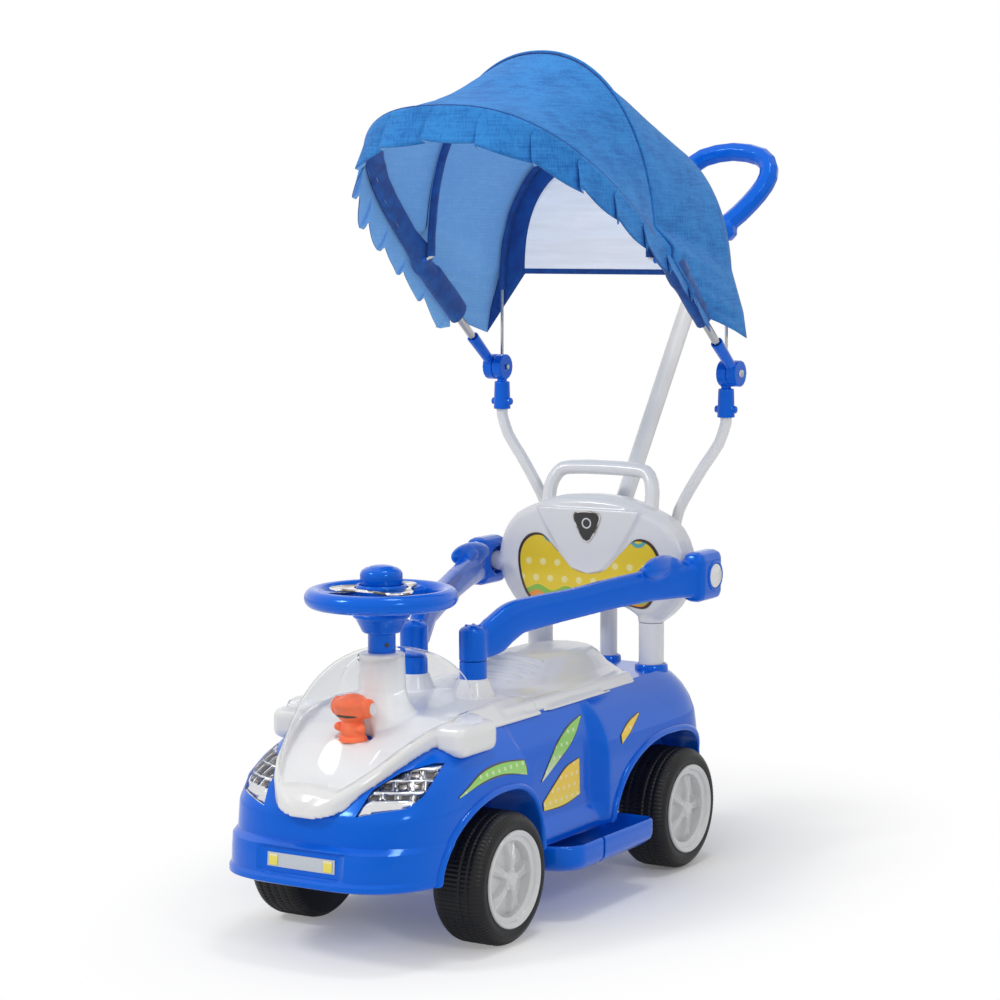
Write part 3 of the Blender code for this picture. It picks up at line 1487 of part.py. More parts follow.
def build_backrest():
    """Backrest shell with its carrying loop, side bosses, post sockets and stand sockets."""
    front = BACK_Y - BACK_THICK / 2
    rear = BACK_Y + BACK_THICK / 2
    layers = ((front, 0.0110), (front + 0.004, 0.0045), (front + 0.012, 0.0), (rear - 0.006, 0.0), (rear, 0.0060))
    rings = [[(x, y, z) for x, z in back_outline(inset)] for y, inset in layers]
    back = add_part("backrest", loft_form(rings), "white plastic", smooth=40)
    steps = ((front + 0.006, 0.002), (front - 0.0005, 0.001), (front - 0.0030, -0.003))
    panel = [[(x, y, z) for x, z in v_panel_outline(grow)] for y, grow in steps]
    join(back, "middle panel", loft_form(panel))
    half_loop = (
        (0.0745, 0.008, BACK_TOP_Z - 0.030),
        (0.0745, 0.014, BACK_TOP_Z + 0.004),
        (0.0660, 0.021, LOOP_TOP_Z - 0.0170),
        (0.0500, 0.024, LOOP_TOP_Z - LOOP_TUBE - 0.0015),
    )
    right = [(-x, BACK_Y + back, z) for x, back, z in half_loop]
    left = [(x, BACK_Y + back, z) for x, back, z in reversed(half_loop)]
    loop = smooth_curve(right + [(0.0, BACK_Y + 0.024, LOOP_TOP_Z - LOOP_TUBE)] + left, 2)
    join(back, "carrying loop", tube_form(loop, LOOP_TUBE, 2))
    for side, label in ((1, "left"), (-1, "right")):
        build_back_side(back, side, label)
    cut(back, "picture recess", extruded_form(picture_outline(), front - 0.0100, front + 0.0008, "Y"))
    for side, label in ((1, "left"), (-1, "right")):
        x = side * BACK_POST_X
        bore = bore_form(BACK_POST_RADIUS - 0.0030 + FIT_GAP, (x, BACK_Y, 0.280), (x, BACK_Y, 0.3300), 14)
        cut(back, label + " post socket", bore)
        foot = side * STAND_FOOT_X
        stand = bore_form(
            STAND_RADIUS + FIT_GAP, (foot, HINGE_Y, STAND_FOOT_Z - FIT_GAP), (foot, HINGE_Y, 0.430), 12
        )
        cut(back, label + " stand bore", stand)
    return back


def build_back_side(back, side, label):
    rear = BACK_Y + BACK_THICK / 2
    y = ARM_END_Y + 0.014
    z = ARM_END_Z
    boss = cylinder_form(
        0.0150, (side * 0.1200, y, z), (side * (CLAMP_INNER_X + 0.0060), y, z), 14, 0.0120
    )
    join(back, label + " clamp boss", boss)
    foot = side * STAND_FOOT_X
    socket = cylinder_form(0.0115, (foot, HINGE_Y, STAND_FOOT_Z - 0.006), (foot, HINGE_Y, 0.4050), 14)
    join(back, label + " stand socket", socket)
    web = box_form(foot - 0.0060, foot + 0.0060, rear - 0.008, HINGE_Y, 0.3500, 0.3980)
    join(back, label + " stand web", web)
    sleeve = cylinder_form(
        BACK_POST_RADIUS + 0.0010, (side * BACK_POST_X, BACK_Y, BACK_BOTTOM_Z - 0.001), (side * BACK_POST_X, BACK_Y, 0.3250), 16
    )
    join(back, label + " post sleeve", sleeve)


def build_back_posts():
    """Round posts between the deck's sockets and the backrest, with a spigot at the top."""
    for side, label in ((1, "left"), (-1, "right")):
        foot = DECK_Z - BACK_POST_DEPTH + FIT_GAP
        spigot = BACK_POST_RADIUS - 0.0030
        shoulder = BACK_BOTTOM_Z - 0.001 - FIT_GAP
        profile = [
            (0.0, foot),
            (BACK_POST_RADIUS, foot),
            (BACK_POST_RADIUS, shoulder),
            (spigot, shoulder),
            (spigot, 0.3297),
            (0.0, 0.3297),
        ]
        form = turned_form(profile, 18, "Z", (side * BACK_POST_X, BACK_Y, 0))
        add_part("back_post_" + label, form, "white plastic", (side * BACK_POST_X, BACK_Y, 0))


def push_direction():
    return Vector((0.0, math.sin(PUSH_RAKE), math.cos(PUSH_RAKE)))


def push_tube_end():
    return Vector((0.0, PUSH_Y, PUSH_BEND_Z)) + push_direction() * PUSH_LENGTH


def build_push_handle():
    """White push tube with one bend, and the blue grip: an upright oval on a raked socket."""
    bend = Vector((0.0, PUSH_Y, PUSH_BEND_Z))
    reach = 0.045
    path = [Vector((0.0, PUSH_Y, DECK_Z - BACK_POST_DEPTH + FIT_GAP))]
    steps = 6
    for k in range(steps + 1):
        t = k / steps
        start = bend - Vector((0, 0, reach))
        end = bend + push_direction() * reach
        path.append((1 - t) ** 2 * start + 2 * t * (1 - t) * bend + t**2 * end)
    tube_end = push_tube_end()
    path.append(tube_end)
    tube_part("push_tube", path, PUSH_RADIUS, "painted tube", None, 3)

    along = push_direction()
    socket_start = tube_end - along * 0.050
    socket_end = tube_end + along * 0.012
    grip = add_part(
        "push_grip",
        cylinder_form(PUSH_RADIUS + 0.0065, socket_start, socket_end, 22, PUSH_RADIUS + 0.0085),
        "blue plastic",
    )
    lean = Vector((0.0, math.cos(GRIP_LEAN), math.sin(GRIP_LEAN)))
    half = (
        (0.0000, 0.0060),
        (0.0220, 0.0180),
        (0.0450, 0.0470),
        (0.0600, 0.0760),
        (0.0610, 0.1000),
        (0.0440, 0.1200),
        (0.0000, 0.1290),
    )
    ring = list(half) + [(-across, up) for across, up in reversed(half[1:-1])]
    corners = [tube_end + Vector((across, 0, 0)) + lean * up for across, up in ring]
    loop = closed_curve(corners, 2)
    join(grip, "grip loop", tube_form(loop, GRIP_TUBE, 2, True))
    block = box_form(-0.0330, 0.0330, -0.0150, 0.0150, -0.0150, 0.0130, 0.008, 1)
    block.transform(Matrix.Translation(tube_end + along * 0.006))
    join(grip, "grip base", block)
    bore = bore_form(PUSH_RADIUS + FIT_GAP, socket_start - along * 0.01, tube_end + along * FIT_GAP, 14)
    cut(grip, "push tube bore", bore)


def build_stands():
    """Bent white stands from the backrest's sockets up to the canopy's lower hinges."""
    for side, label in ((1, "left"), (-1, "right")):
        route = smooth_curve(
            [
                (side * STAND_FOOT_X, HINGE_Y, 0.4120),
                (side * 0.0980, HINGE_Y, 0.4360),
                (side * 0.1130, HINGE_Y, 0.4630),
                (side * 0.1340, HINGE_Y, 0.4950),
                (side * 0.1540, HINGE_Y, 0.5230),
                (side * STAND_X, HINGE_Y, 0.5490),
            ],
            2,
        )
        path = [Vector((side * STAND_FOOT_X, HINGE_Y, STAND_FOOT_Z))] + route
        path.append(Vector((side * STAND_X, HINGE_Y, STAND_TOP_Z)))
        tube_part("canopy_stand_" + label, path, STAND_RADIUS, "painted tube", None, 2)


def build_lower_hinges():
    """Inboard hinge discs with the sockets that slip over the stands and are pinned there."""
    for side, label in ((1, "left"), (-1, "right")):
        x = side * STAND_X
        disc = cylinder_form(
            DISC_RADIUS, (x - DISC_THICK / 2, HINGE_Y, HINGE_Z), (x + DISC_THICK / 2, HINGE_Y, HINGE_Z), 18
        )
        part = add_part("lower_hinge_" + label, disc, "blue plastic", (x, HINGE_Y, HINGE_Z))
        sleeve_top = HINGE_Z - DISC_RADIUS - 0.0025
        sleeve = cylinder_form(0.0112, (x, HINGE_Y, 0.5560), (x, HINGE_Y, sleeve_top), 14, 0.0100)
        join(part, label + " stand sleeve", sleeve)
        neck = cylinder_form(
            DISC_THICK / 2 - 0.0002, (x, HINGE_Y, sleeve_top - 0.002), (x, HINGE_Y, HINGE_Z - 0.010), 12
        )
        join(part, label + " sleeve neck", neck)
        pin = cylinder_form(0.0048, (x - 0.0145, HINGE_Y, 0.5660), (x + 0.0145, HINGE_Y, 0.5660), 8)
        join(part, label + " sleeve pin", pin)
        bore = bore_form(STAND_RADIUS + FIT_GAP, (x, HINGE_Y, 0.530), (x, HINGE_Y, STAND_TOP_Z + FIT_GAP), 14)
        cut(part, label + " sleeve bore", bore)
        wire = bore_form(REAR_BOW_RADIUS + FIT_GAP, (x, HINGE_Y, 0.6170), (x, HINGE_Y, 0.640), 8)
        cut(part, label + " wire bore", wire)
        axle = bore_form(0.0030 + FIT_GAP, (x - 0.05, HINGE_Y, HINGE_Z), (x + 0.05, HINGE_Y, HINGE_Z), 12)
        cut(part, label + " hinge bore", axle)


def bow_point(x, along):
    """A point on the front bow's plane, which turns about the hinge line."""
    return Vector(
        (
            x,
            HINGE_Y - along * math.cos(FRONT_BOW_ANGLE),
            HINGE_Z + along * math.sin(FRONT_BOW_ANGLE),
        )
    )


def front_bow_shape(grow=0.0, steps=20):
    """The front bow as (across, along) from its left spring point over the top."""
    height = FRONT_BOW_TOP + grow - FRONT_BOW_SPRING
    arch = superellipse_arch(FRONT_BOW_HALF + grow, height, 2.6, steps)
    return [(x, FRONT_BOW_SPRING + rise) for x, rise in arch]


def front_bow_x(along):
    """Half width of the front bow's arch at one place along its leg."""
    shape = front_bow_shape()
    for low, high in zip(shape, shape[1:]):
        if along <= high[1]:
            return low[0] + (high[0] - low[0]) * (along - low[1]) / (high[1] - low[1])
    return 0.0


def mid_bow_half():
    """Half width of the middle bow, which stands inside the front bow's legs."""
    return front_bow_x(CLOTH_PIVOT) - MID_BOW_INSET


def mid_bow_shape(grow=0.0, steps=16):
    arch = superellipse_arch(mid_bow_half() + grow, MID_BOW_TOP + grow - MID_BOW_FOOT, 2.15, steps)
    return [(x, MID_BOW_FOOT + rise) for x, rise in arch]


def rear_bow_shape(grow=0.0, steps=16):
    arch = superellipse_arch(REAR_BOW_HALF + grow, REAR_BOW_TOP + grow - REAR_BOW_SPRING, 2.3, steps)
    return [(x, REAR_BOW_SPRING + rise) for x, rise in arch]


def build_canopy_frame():
    """Upper hinges on the front bow, the middle bow and the fixed rear bow, and the hinge screws."""
    axis = add_empty("canopy_axis", (0, HINGE_Y, HINGE_Z))
    outer = STAND_X + DISC_THICK / 2 + RUNNING_GAP
    socket_end = 0.066
    bow_start = 0.024
    for side, label in ((1, "left"), (-1, "right")):
        disc = cylinder_form(
            DISC_RADIUS, (side * outer, HINGE_Y, HINGE_Z), (side * (outer + DISC_THICK), HINGE_Y, HINGE_Z), 18
        )
        part = add_part("upper_hinge_" + label, disc, "blue plastic", (side * outer, HINGE_Y, HINGE_Z), axis)
        x = side * BOW_X
        sleeve_start = DISC_RADIUS + 0.0015
        sleeve = cylinder_form(0.0068, bow_point(x, sleeve_start), bow_point(x, socket_end), 14, 0.0078)
        join(part, label + " bow sleeve", sleeve)
        neck = cylinder_form(0.0053, bow_point(x, 0.010), bow_point(x, sleeve_start + 0.002), 12)
        join(part, label + " bow sleeve neck", neck)
        bore = bore_form(FRONT_BOW_RADIUS + FIT_GAP, bow_point(x, bow_start - FIT_GAP), bow_point(x, 0.080), 14)
        cut(part, label + " bow bore", bore)
        hole = bore_form(
            0.0030 + FIT_GAP, (side * 0.15, HINGE_Y, HINGE_Z), (side * 0.20, HINGE_Y, HINGE_Z), 14
        )
        cut(part, label + " screw hole", hole)
        end = outer + DISC_THICK
        screw = [
            (0.0, STAND_X - DISC_THICK / 2 - 0.0030),
            (0.0030, STAND_X - DISC_THICK / 2 - 0.0030),
            (0.0030, end + FIT_GAP),
            (0.0052, end + FIT_GAP),
            (0.0046, end + 0.0022),
            (0.0, end + 0.0026),
        ]
        form = turned_form(screw, 14, "X" if side > 0 else "-X", (0, HINGE_Y, HINGE_Z))
        add_part("hinge_screw_" + label, form, "steel", (side * outer, HINGE_Y, HINGE_Z))
    route = [bow_point(BOW_X, bow_start), bow_point(BOW_X, 0.100)]
    route += [bow_point(x, along) for x, along in front_bow_shape()]
    route += [bow_point(-BOW_X, 0.100), bow_point(-BOW_X, bow_start)]
    tube_part("front_bow", route, FRONT_BOW_RADIUS, "steel", axis, 2)
    clip_x = front_bow_x(CLOTH_PIVOT)
    clip = bow_point(clip_x, CLOTH_PIVOT)
    middle = [Vector((clip_x - 0.0062, clip.y, clip.z)), Vector((mid_bow_half() + 0.006, clip.y, clip.z))]
    middle += [Vector((x, clip.y, z)) for x, z in mid_bow_shape()]
    middle += [Vector((-mid_bow_half() - 0.006, clip.y, clip.z)), Vector((0.0062 - clip_x, clip.y, clip.z))]
    tube_part("middle_bow", middle, MID_BOW_RADIUS, "steel", axis, 1)
    build_bow_clips(axis)
    rear = [Vector((STAND_X, HINGE_Y, 0.6173)), Vector((STAND_X, HINGE_Y, 0.6300))]
    rear += [Vector((x, HINGE_Y, z)) for x, z in rear_bow_shape()]
    rear += [Vector((-STAND_X, HINGE_Y, 0.6300)), Vector((-STAND_X, HINGE_Y, 0.6173))]
    tube_part("rear_bow", rear, REAR_BOW_RADIUS, "steel", None, 1)
    return axis


def build_bow_clips(axis):
    """Clips on the front bow's legs that hold the ends of the middle bow."""
    clip_x = front_bow_x(CLOTH_PIVOT)

    def on_leg(side, offset):
        along = CLOTH_PIVOT + offset
        return bow_point(side * front_bow_x(along), along)

    for side, label in ((1, "left"), (-1, "right")):
        centre = on_leg(side, 0.0)
        sleeve = cylinder_form(FRONT_BOW_RADIUS + 0.0016, on_leg(side, -0.009), on_leg(side, 0.009), 12)
        part = add_part("bow_clip_" + label, sleeve, "blue plastic", centre, axis)
        end = Vector((side * (clip_x - 0.0120), centre.y, centre.z))
        join(part, label + " clip boss", cylinder_form(0.0048, centre, end, 10))
        leg = bore_form(FRONT_BOW_RADIUS + FIT_GAP, on_leg(side, -0.030), on_leg(side, 0.030), 10)
        cut(part, label + " clip bore", leg)
        inner = Vector((side * (clip_x - 0.0062 + FIT_GAP), centre.y, centre.z))
        outer = Vector((side * (clip_x - 0.0300), centre.y, centre.z))
        cut(part, label + " clip socket", bore_form(MID_BOW_RADIUS + FIT_GAP, inner, outer, 8))


def resample(shape, count):
    """Equally spaced points along a polyline of (across, up) pairs."""
    points = [Vector((a, 0.0, b)) for a, b in shape]
    lengths = [0.0]
    for first, second in zip(points, points[1:]):
        lengths.append(lengths[-1] + (second - first).length)
    result = []
    for k in range(count + 1):
        target = lengths[-1] * k / count
        i = max(j for j in range(len(lengths)) if lengths[j] <= target + 1e-9)
        i = min(i, len(points) - 2)
        share = (target - lengths[i]) / (lengths[i + 1] - lengths[i])
        point = points[i].lerp(points[i + 1], share)
        result.append((point.x, point.z))
    return result


def cloth_rows():
    """The cloth's lines over the front, middle and rear bows, each with CLOTH_COLUMNS + 1 points."""
    over_front = FRONT_BOW_RADIUS + CLOTH_CLEAR + CLOTH_THICK / 2
    over_mid = MID_BOW_RADIUS + CLOTH_CLEAR + CLOTH_THICK / 2
    over_rear = REAR_BOW_RADIUS + CLOTH_CLEAR + CLOTH_THICK / 2
    leg_x = BOW_X + over_front
    legs = [
        bow_point(leg_x, CLOTH_START + (CLOTH_PIVOT - CLOTH_START) * k / LEG_COLUMNS)
        for k in range(LEG_COLUMNS + 1)
    ]
    arch_columns = CLOTH_COLUMNS - 2 * LEG_COLUMNS
    front_arch = [(leg_x, CLOTH_PIVOT)] + [
        p for p in front_bow_shape(over_front, 40) if p[1] > CLOTH_PIVOT + 0.02
    ] + [(-leg_x, CLOTH_PIVOT)]
    front_arch = [bow_point(x, along) for x, along in resample(front_arch, arch_columns)]
    pivot = legs[-1]
    over_clip = pivot.z + CLIP_COVER
    mid_arch = [(leg_x, pivot.z), (leg_x, over_clip)] + [
        p for p in mid_bow_shape(over_mid, 40) if p[1] > over_clip + 0.018
    ] + [(-leg_x, over_clip), (-leg_x, pivot.z)]
    mid_arch = [
        Vector((x, pivot.y, z)) for x, z in resample(mid_arch, arch_columns)
    ]
    mirror_legs = [Vector((-p.x, p.y, p.z)) for p in reversed(legs)]
    front = legs[:-1] + front_arch + mirror_legs[1:]
    middle = legs[:-1] + mid_arch + mirror_legs[1:]
    hem = [(GORE_TIP_X, GORE_TIP_Z), (GORE_TIP_X - 0.005, GORE_TIP_Z + 0.032)]
    over = [p for p in rear_bow_shape(over_rear, 40) if p[1] > GORE_TIP_Z + 0.080]
    rear_arch = hem + over + [(-x, z) for x, z in reversed(hem)]
    rear = [Vector((x, HINGE_Y + 0.0045, z)) for x, z in resample(rear_arch, CLOTH_COLUMNS)]
    return front, middle, rear


def valance_row(front, share):
    """A line of the ruffled valance that hangs from the front edge, share of the way down."""
    row = []
    for k, point in enumerate(front):
        aside = point.x / BOW_X
        fold = 0.5 + 0.5 * math.sin(math.tau * VALANCE_FOLDS * (k + 0.5) / CLOTH_COLUMNS)
        level = max(0.0, min(1.0, (min(k, CLOTH_COLUMNS - k) - LEG_COLUMNS) / 6))
        drop = (VALANCE_LEG_DROP + (VALANCE_DROP - VALANCE_LEG_DROP) * level) * share
        swing = share * (0.003 + 0.011 * fold)
        ahead = 0.0035 * min(1.0, share * 4) + swing * (1.0 - 0.4 * abs(aside)) + 0.004 * share * (1 - level)
        row.append(point + Vector((swing * aside, -ahead, -drop)))
    return row


def window_point(point, share):
    """A point under the rear bow, share of the way down to the window's hem and the gores' rear hems."""
    slope = (WINDOW_BOTTOM - GORE_TIP_Z) / (GORE_TIP_X - WINDOW_CORNER_X)
    hem = WINDOW_BOTTOM - max(0.0, abs(point.x) - WINDOW_CORNER_X) * slope
    return Vector((point.x, point.y, point.z + (min(hem, point.z) - point.z) * share))


def build_cloth(axis):
    """The canopy cloth as one sheet: valance, front panel, side and rear panel, and rear window."""
    front, middle, rear = cloth_rows()
    bm = bmesh.new()
    cache = {}

    def vertex(point):
        key = tuple(round(c * 1e6) for c in point)
        if key not in cache:
            cache[key] = bm.verts.new(point)
        return cache[key]

    def skin(first, second):
        for k in range(len(first) - 1):
            corners = [vertex(p) for p in (first[k], first[k + 1], second[k + 1], second[k])]
            corners = [c for i, c in enumerate(corners) if c not in corners[:i]]
            if len(corners) > 2:
                bm.faces.new(corners)

    rows = [valance_row(front, 1.0), valance_row(front, 0.5), valance_row(front, 0.16), front]
    sag = Vector((0, 0, 0.010))
    half_way = [
        a.lerp(b, 0.5) - sag * math.sin(math.pi * k / CLOTH_COLUMNS) for k, (a, b) in enumerate(zip(front, middle))
    ]
    half_way[: LEG_COLUMNS + 1] = front[: LEG_COLUMNS + 1]
    half_way[-LEG_COLUMNS - 1 :] = front[-LEG_COLUMNS - 1 :]
    rows += [half_way, middle]
    for share in (0.34, 0.68):
        rows.append([a.lerp(b, share) for a, b in zip(middle, rear)])
    rows.append(rear)
    for first, second in zip(rows, rows[1:]):
        skin(first, second)
    window = rear
    for share in (0.5, 1.0):
        lower = [window_point(p, share) for p in rear]
        skin(window, lower)
        window = lower
    face_outwards(bm)
    cloth = add_part("canopy_cloth", bm, "canopy cloth", (0, HINGE_Y, HINGE_Z), axis, 60)
    wall = cloth.modifiers.new("cloth thickness", "SOLIDIFY")
    wall.thickness = CLOTH_THICK
    wall.offset = 0


def centre_on_origin():
    """Moves everything along the car until the middle of the whole length is over the origin."""
    bpy.context.view_layer.update()
    depsgraph = bpy.context.evaluated_depsgraph_get()
    reach = []
    for part in PARTS.objects:
        if part.type == "EMPTY":
            continue
        shape = part.evaluated_get(depsgraph)
        mesh = shape.to_mesh()
        reach.extend((part.matrix_world @ vertex.co).y for vertex in mesh.vertices)
        shape.to_mesh_clear()
    shift = round(-(min(reach) + max(reach)) / 2, 4)
    for item in list(PARTS.objects) + list(CUTTERS.objects):
        if item.parent is None:
            item.location.y += shift


clear_scene()
PARTS = new_collection("ride_on_car")
CUTTERS = new_collection("ride_on_car_cutters")
body_part = build_body()
build_floor_pan()
build_footrests()
build_rear_axle()
build_wheels()
build_front_frame()
build_knuckles()
build_tie_rod()
build_steering()
build_cowl()
build_toy()
build_screen()
build_headlights(body_part)
build_side_lamps()
build_seat()
build_guard_posts()
build_guard_arms()
build_backrest()
build_back_posts()
build_push_handle()
build_stands()
build_lower_hinges()
build_cloth(build_canopy_frame())
centre_on_origin()
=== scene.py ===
"""Looks of the ride-on car: finishes, fine forms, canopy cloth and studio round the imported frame."""

import json
import math

import bmesh
import bpy
from mathutils import Matrix, Vector, noise


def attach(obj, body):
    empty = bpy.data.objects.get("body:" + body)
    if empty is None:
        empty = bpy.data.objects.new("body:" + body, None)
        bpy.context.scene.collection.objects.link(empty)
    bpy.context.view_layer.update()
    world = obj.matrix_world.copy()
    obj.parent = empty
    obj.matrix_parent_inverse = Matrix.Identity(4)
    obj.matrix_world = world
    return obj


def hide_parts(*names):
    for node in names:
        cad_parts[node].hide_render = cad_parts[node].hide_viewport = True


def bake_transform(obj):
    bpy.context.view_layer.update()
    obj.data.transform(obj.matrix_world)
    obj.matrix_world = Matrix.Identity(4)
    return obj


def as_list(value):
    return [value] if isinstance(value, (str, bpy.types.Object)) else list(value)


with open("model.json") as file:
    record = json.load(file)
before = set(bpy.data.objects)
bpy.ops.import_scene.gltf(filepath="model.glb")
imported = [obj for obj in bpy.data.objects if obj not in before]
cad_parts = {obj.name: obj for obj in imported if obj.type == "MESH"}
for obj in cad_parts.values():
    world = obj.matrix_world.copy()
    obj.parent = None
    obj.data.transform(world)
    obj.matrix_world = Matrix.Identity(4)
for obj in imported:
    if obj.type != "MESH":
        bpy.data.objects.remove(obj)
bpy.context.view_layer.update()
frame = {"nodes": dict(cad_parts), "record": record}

# The solids are drawn from the middle of the wheelbase; the frame's origin lies this far along the car
ALONG = -0.1204
# Points nearer than this are one point
MERGE = 0.00001

BLUE = (0.0015, 0.118, 0.690)
WHITE = (0.800, 0.800, 0.796)
TYRE_BLACK = (0.010, 0.010, 0.011)
HUBCAP_WHITE = (0.660, 0.662, 0.664)
CLOTH_BLUE = (0.036, 0.250, 0.660)
CLOTH_SHADE = (0.016, 0.150, 0.480)
CLOTH_LINING = (0.190, 0.410, 0.720)
LINING_SHADE = (0.130, 0.330, 0.640)
BINDING_BLUE = (0.004, 0.100, 0.400)


class Wire:
    """A value in a material's nodes that Python's operators work on."""

    def __init__(self, finish, socket):
        self.finish = finish
        self.socket = socket

    def maths(self, operation, *others):
        return self.finish.node("ShaderNodeMath", {"operation": operation}, [self, *others])

    def __add__(self, other):
        return self.maths("ADD", other)

    def __sub__(self, other):
        return self.maths("SUBTRACT", other)

    def __rsub__(self, other):
        return self.finish.node("ShaderNodeMath", {"operation": "SUBTRACT"}, [other, self])

    def __mul__(self, other):
        return self.maths("MULTIPLY", other)

    def __truediv__(self, other):
        return self.maths("DIVIDE", other)

    def __pow__(self, other):
        return self.maths("POWER", other)

    __radd__ = __add__
    __rmul__ = __mul__


class Finish:
    """A Principled material. Constants go straight onto its sockets, and node() adds everything else."""

    def __init__(self, name, colour, roughness, **constants):
        self.material = bpy.data.materials.new(name)
        self.material.use_nodes = True
        self.nodes = self.material.node_tree.nodes
        self.links = self.material.node_tree.links
        self.shader = self.nodes["Principled BSDF"]
        self.shader.inputs["Base Color"].default_value = (*colour, 1.0)
        self.shader.inputs["Roughness"].default_value = roughness
        for socket, value in constants.items():
            self.shader.inputs[socket.replace("_", " ")].default_value = value

    def node(self, kind, settings, values, output=0):
        """One node: its settings first, then the values or wires of its sockets, by place or by name."""
        made = self.nodes.new(kind)
        for setting, value in settings.items():
            setattr(made, setting, value)
        pairs = values.items() if isinstance(values, dict) else enumerate(values)
        for socket, value in pairs:
            if isinstance(value, Wire):
                self.links.new(value.socket, made.inputs[socket])
            elif value is not None:
                made.inputs[socket].default_value = value
        return Wire(self, made.outputs[output])

    def place(self):
        """Object coordinates, which are the row frame's metres."""
        return self.node("ShaderNodeTexCoord", {}, [], "Object")

    def axes(self, place=None):
        """The three coordinates as single values."""
        source = place or self.place()
        made = self.nodes.new("ShaderNodeSeparateXYZ")
        self.links.new(source.socket, made.inputs[0])
        return [Wire(self, made.outputs[k]) for k in range(3)]

    def scaled(self, place, x, y, z):
        return self.node("ShaderNodeVectorMath", {"operation": "MULTIPLY"}, [place, (x, y, z)])

    def noise(self, place, scale, detail=2.0, roughness=0.5):
        values = {"Vector": place, "Scale": scale, "Detail": detail, "Roughness": roughness}
        return self.node("ShaderNodeTexNoise", {}, values)

    def ramp(self, value, low, high, to_low=0.0, to_high=1.0, smooth=True):
        """The value taken from one range to another, and held at its ends."""
        kind = "SMOOTHSTEP" if smooth else "LINEAR"
        settings = {"interpolation_type": kind, "clamp": True}
        return self.node("ShaderNodeMapRange", settings, [value, low, high, to_low, to_high])

    def blend(self, share, first, second):
        """A colour between two colours or wires."""
        made = self.nodes.new("ShaderNodeMix")
        made.data_type = "RGBA"
        for socket, value in ((0, share), (6, first), (7, second)):
            if isinstance(value, Wire):
                self.links.new(value.socket, made.inputs[socket])
            else:
                made.inputs[socket].default_value = value if socket == 0 else (*value, 1.0)
        return Wire(self, made.outputs[2])

    def bump(self, height, distance, strength=1.0):
        """A bump of so many metres into the shader's normal."""
        values = {"Height": height, "Distance": distance, "Strength": strength}
        self.feed("Normal", self.node("ShaderNodeBump", {}, values))

    def feed(self, socket, wire):
        self.links.new(wire.socket, self.shader.inputs[socket])


def moulded_plastic(name, colour, gloss, grain=0.00012, deep=0.06, tint=(1.0, 1.0, 1.0), coat=0.25):
    """Glossy moulded plastic: a faint orange peel, slow drifts of colour and small handling marks."""
    finish = Finish(name, colour, gloss, Coat_Weight=coat, Coat_Roughness=0.08, Specular_Tint=(*tint, 1.0))
    place = finish.place()
    drift = finish.noise(place, 9.0, 2.0)
    marks = finish.noise(finish.scaled(place, 1.0, 3.0, 1.0), 60.0, 4.0, 0.65)
    darker = tuple(c * (1 - deep) for c in colour)
    lighter = tuple(min(1.0, c * (1 + deep) + 0.002) for c in colour)
    finish.feed("Base Color", finish.blend(drift, darker, lighter))
    finish.feed("Roughness", gloss + (marks - 0.5) * 0.16)
    finish.bump(finish.noise(place, 150.0, 2.0), grain)
    return finish.material


def tyre_finish():
    """Blow-moulded black tyre: glossy ribs and a duller, dustier tread."""
    finish = Finish("black blow-moulded tyre", TYRE_BLACK, 0.30, Coat_Weight=0.06, Specular_IOR_Level=0.22)
    place = finish.place()
    dust = finish.noise(place, 34.0, 5.0, 0.6)
    worn = finish.ramp(finish.axes(place)[2], 0.0, 0.05, 1.0, 0.0) * dust
    finish.feed("Base Color", finish.blend(worn * 0.25, TYRE_BLACK, (0.040, 0.038, 0.036)))
    finish.feed("Roughness", 0.26 + dust * 0.28)
    finish.bump(finish.noise(place, 240.0, 3.0), 0.0002)
    return finish.material


def steel_finish(name="polished bow steel", colour=(0.60, 0.60, 0.61), roughness=0.22):
    finish = Finish(name, colour, roughness, Metallic=1.0)
    place = finish.place()
    streaks = finish.noise(finish.scaled(place, 1.0, 1.0, 14.0), 70.0, 3.0)
    finish.feed("Roughness", roughness - 0.06 + streaks * 0.14)
    finish.feed("Base Color", finish.blend(streaks, tuple(c * 0.86 for c in colour), colour))
    return finish.material


def chrome_finish():
    finish = Finish("chromed trim", (0.80, 0.79, 0.78), 0.08, Metallic=1.0)
    place = finish.place()
    # Painted reflection: dark and bright bands in the metal's colour stand in for reflected surroundings
    painted_reflection_bands = finish.noise(finish.scaled(place, 1.0, 1.0, 3.0), 55.0, 1.0)
    share = finish.ramp(painted_reflection_bands, 0.42, 0.56)
    finish.feed("Base Color", finish.blend(share, (0.16, 0.14, 0.12), (0.84, 0.82, 0.80)))
    finish.feed("Roughness", 0.05 + finish.noise(place, 120.0, 3.0) * 0.10)
    finish.bump(finish.noise(place, 45.0, 2.0), 0.0006)
    return finish.material


def clear_finish(name, tint, roughness):
    """Clear moulded plastic with fine hazy wipe marks."""
    finish = Finish(
        name, tint, roughness, Transmission_Weight=1.0, IOR=1.10, Coat_Weight=0.12, Coat_Roughness=0.02
    )
    place = finish.place()
    wipes = finish.noise(finish.scaled(place, 1.0, 5.0, 1.0), 40.0, 4.0, 0.7)
    finish.feed("Roughness", roughness + finish.ramp(wipes, 0.45, 0.85, 0.0, 0.10))
    return finish.material


def toy_finish():
    finish = Finish(
        "soft orange plastic", (0.92, 0.150, 0.035), 0.38, Subsurface_Weight=0.25, Subsurface_Scale=0.006
    )
    finish.shader.inputs["Subsurface Radius"].default_value = (1.0, 0.4, 0.2)
    place = finish.place()
    share = finish.noise(place, 70.0)
    finish.feed("Base Color", finish.blend(share, (0.86, 0.12, 0.028), (0.95, 0.19, 0.055)))
    finish.bump(finish.noise(place, 260.0), 0.0002)
    return finish.material


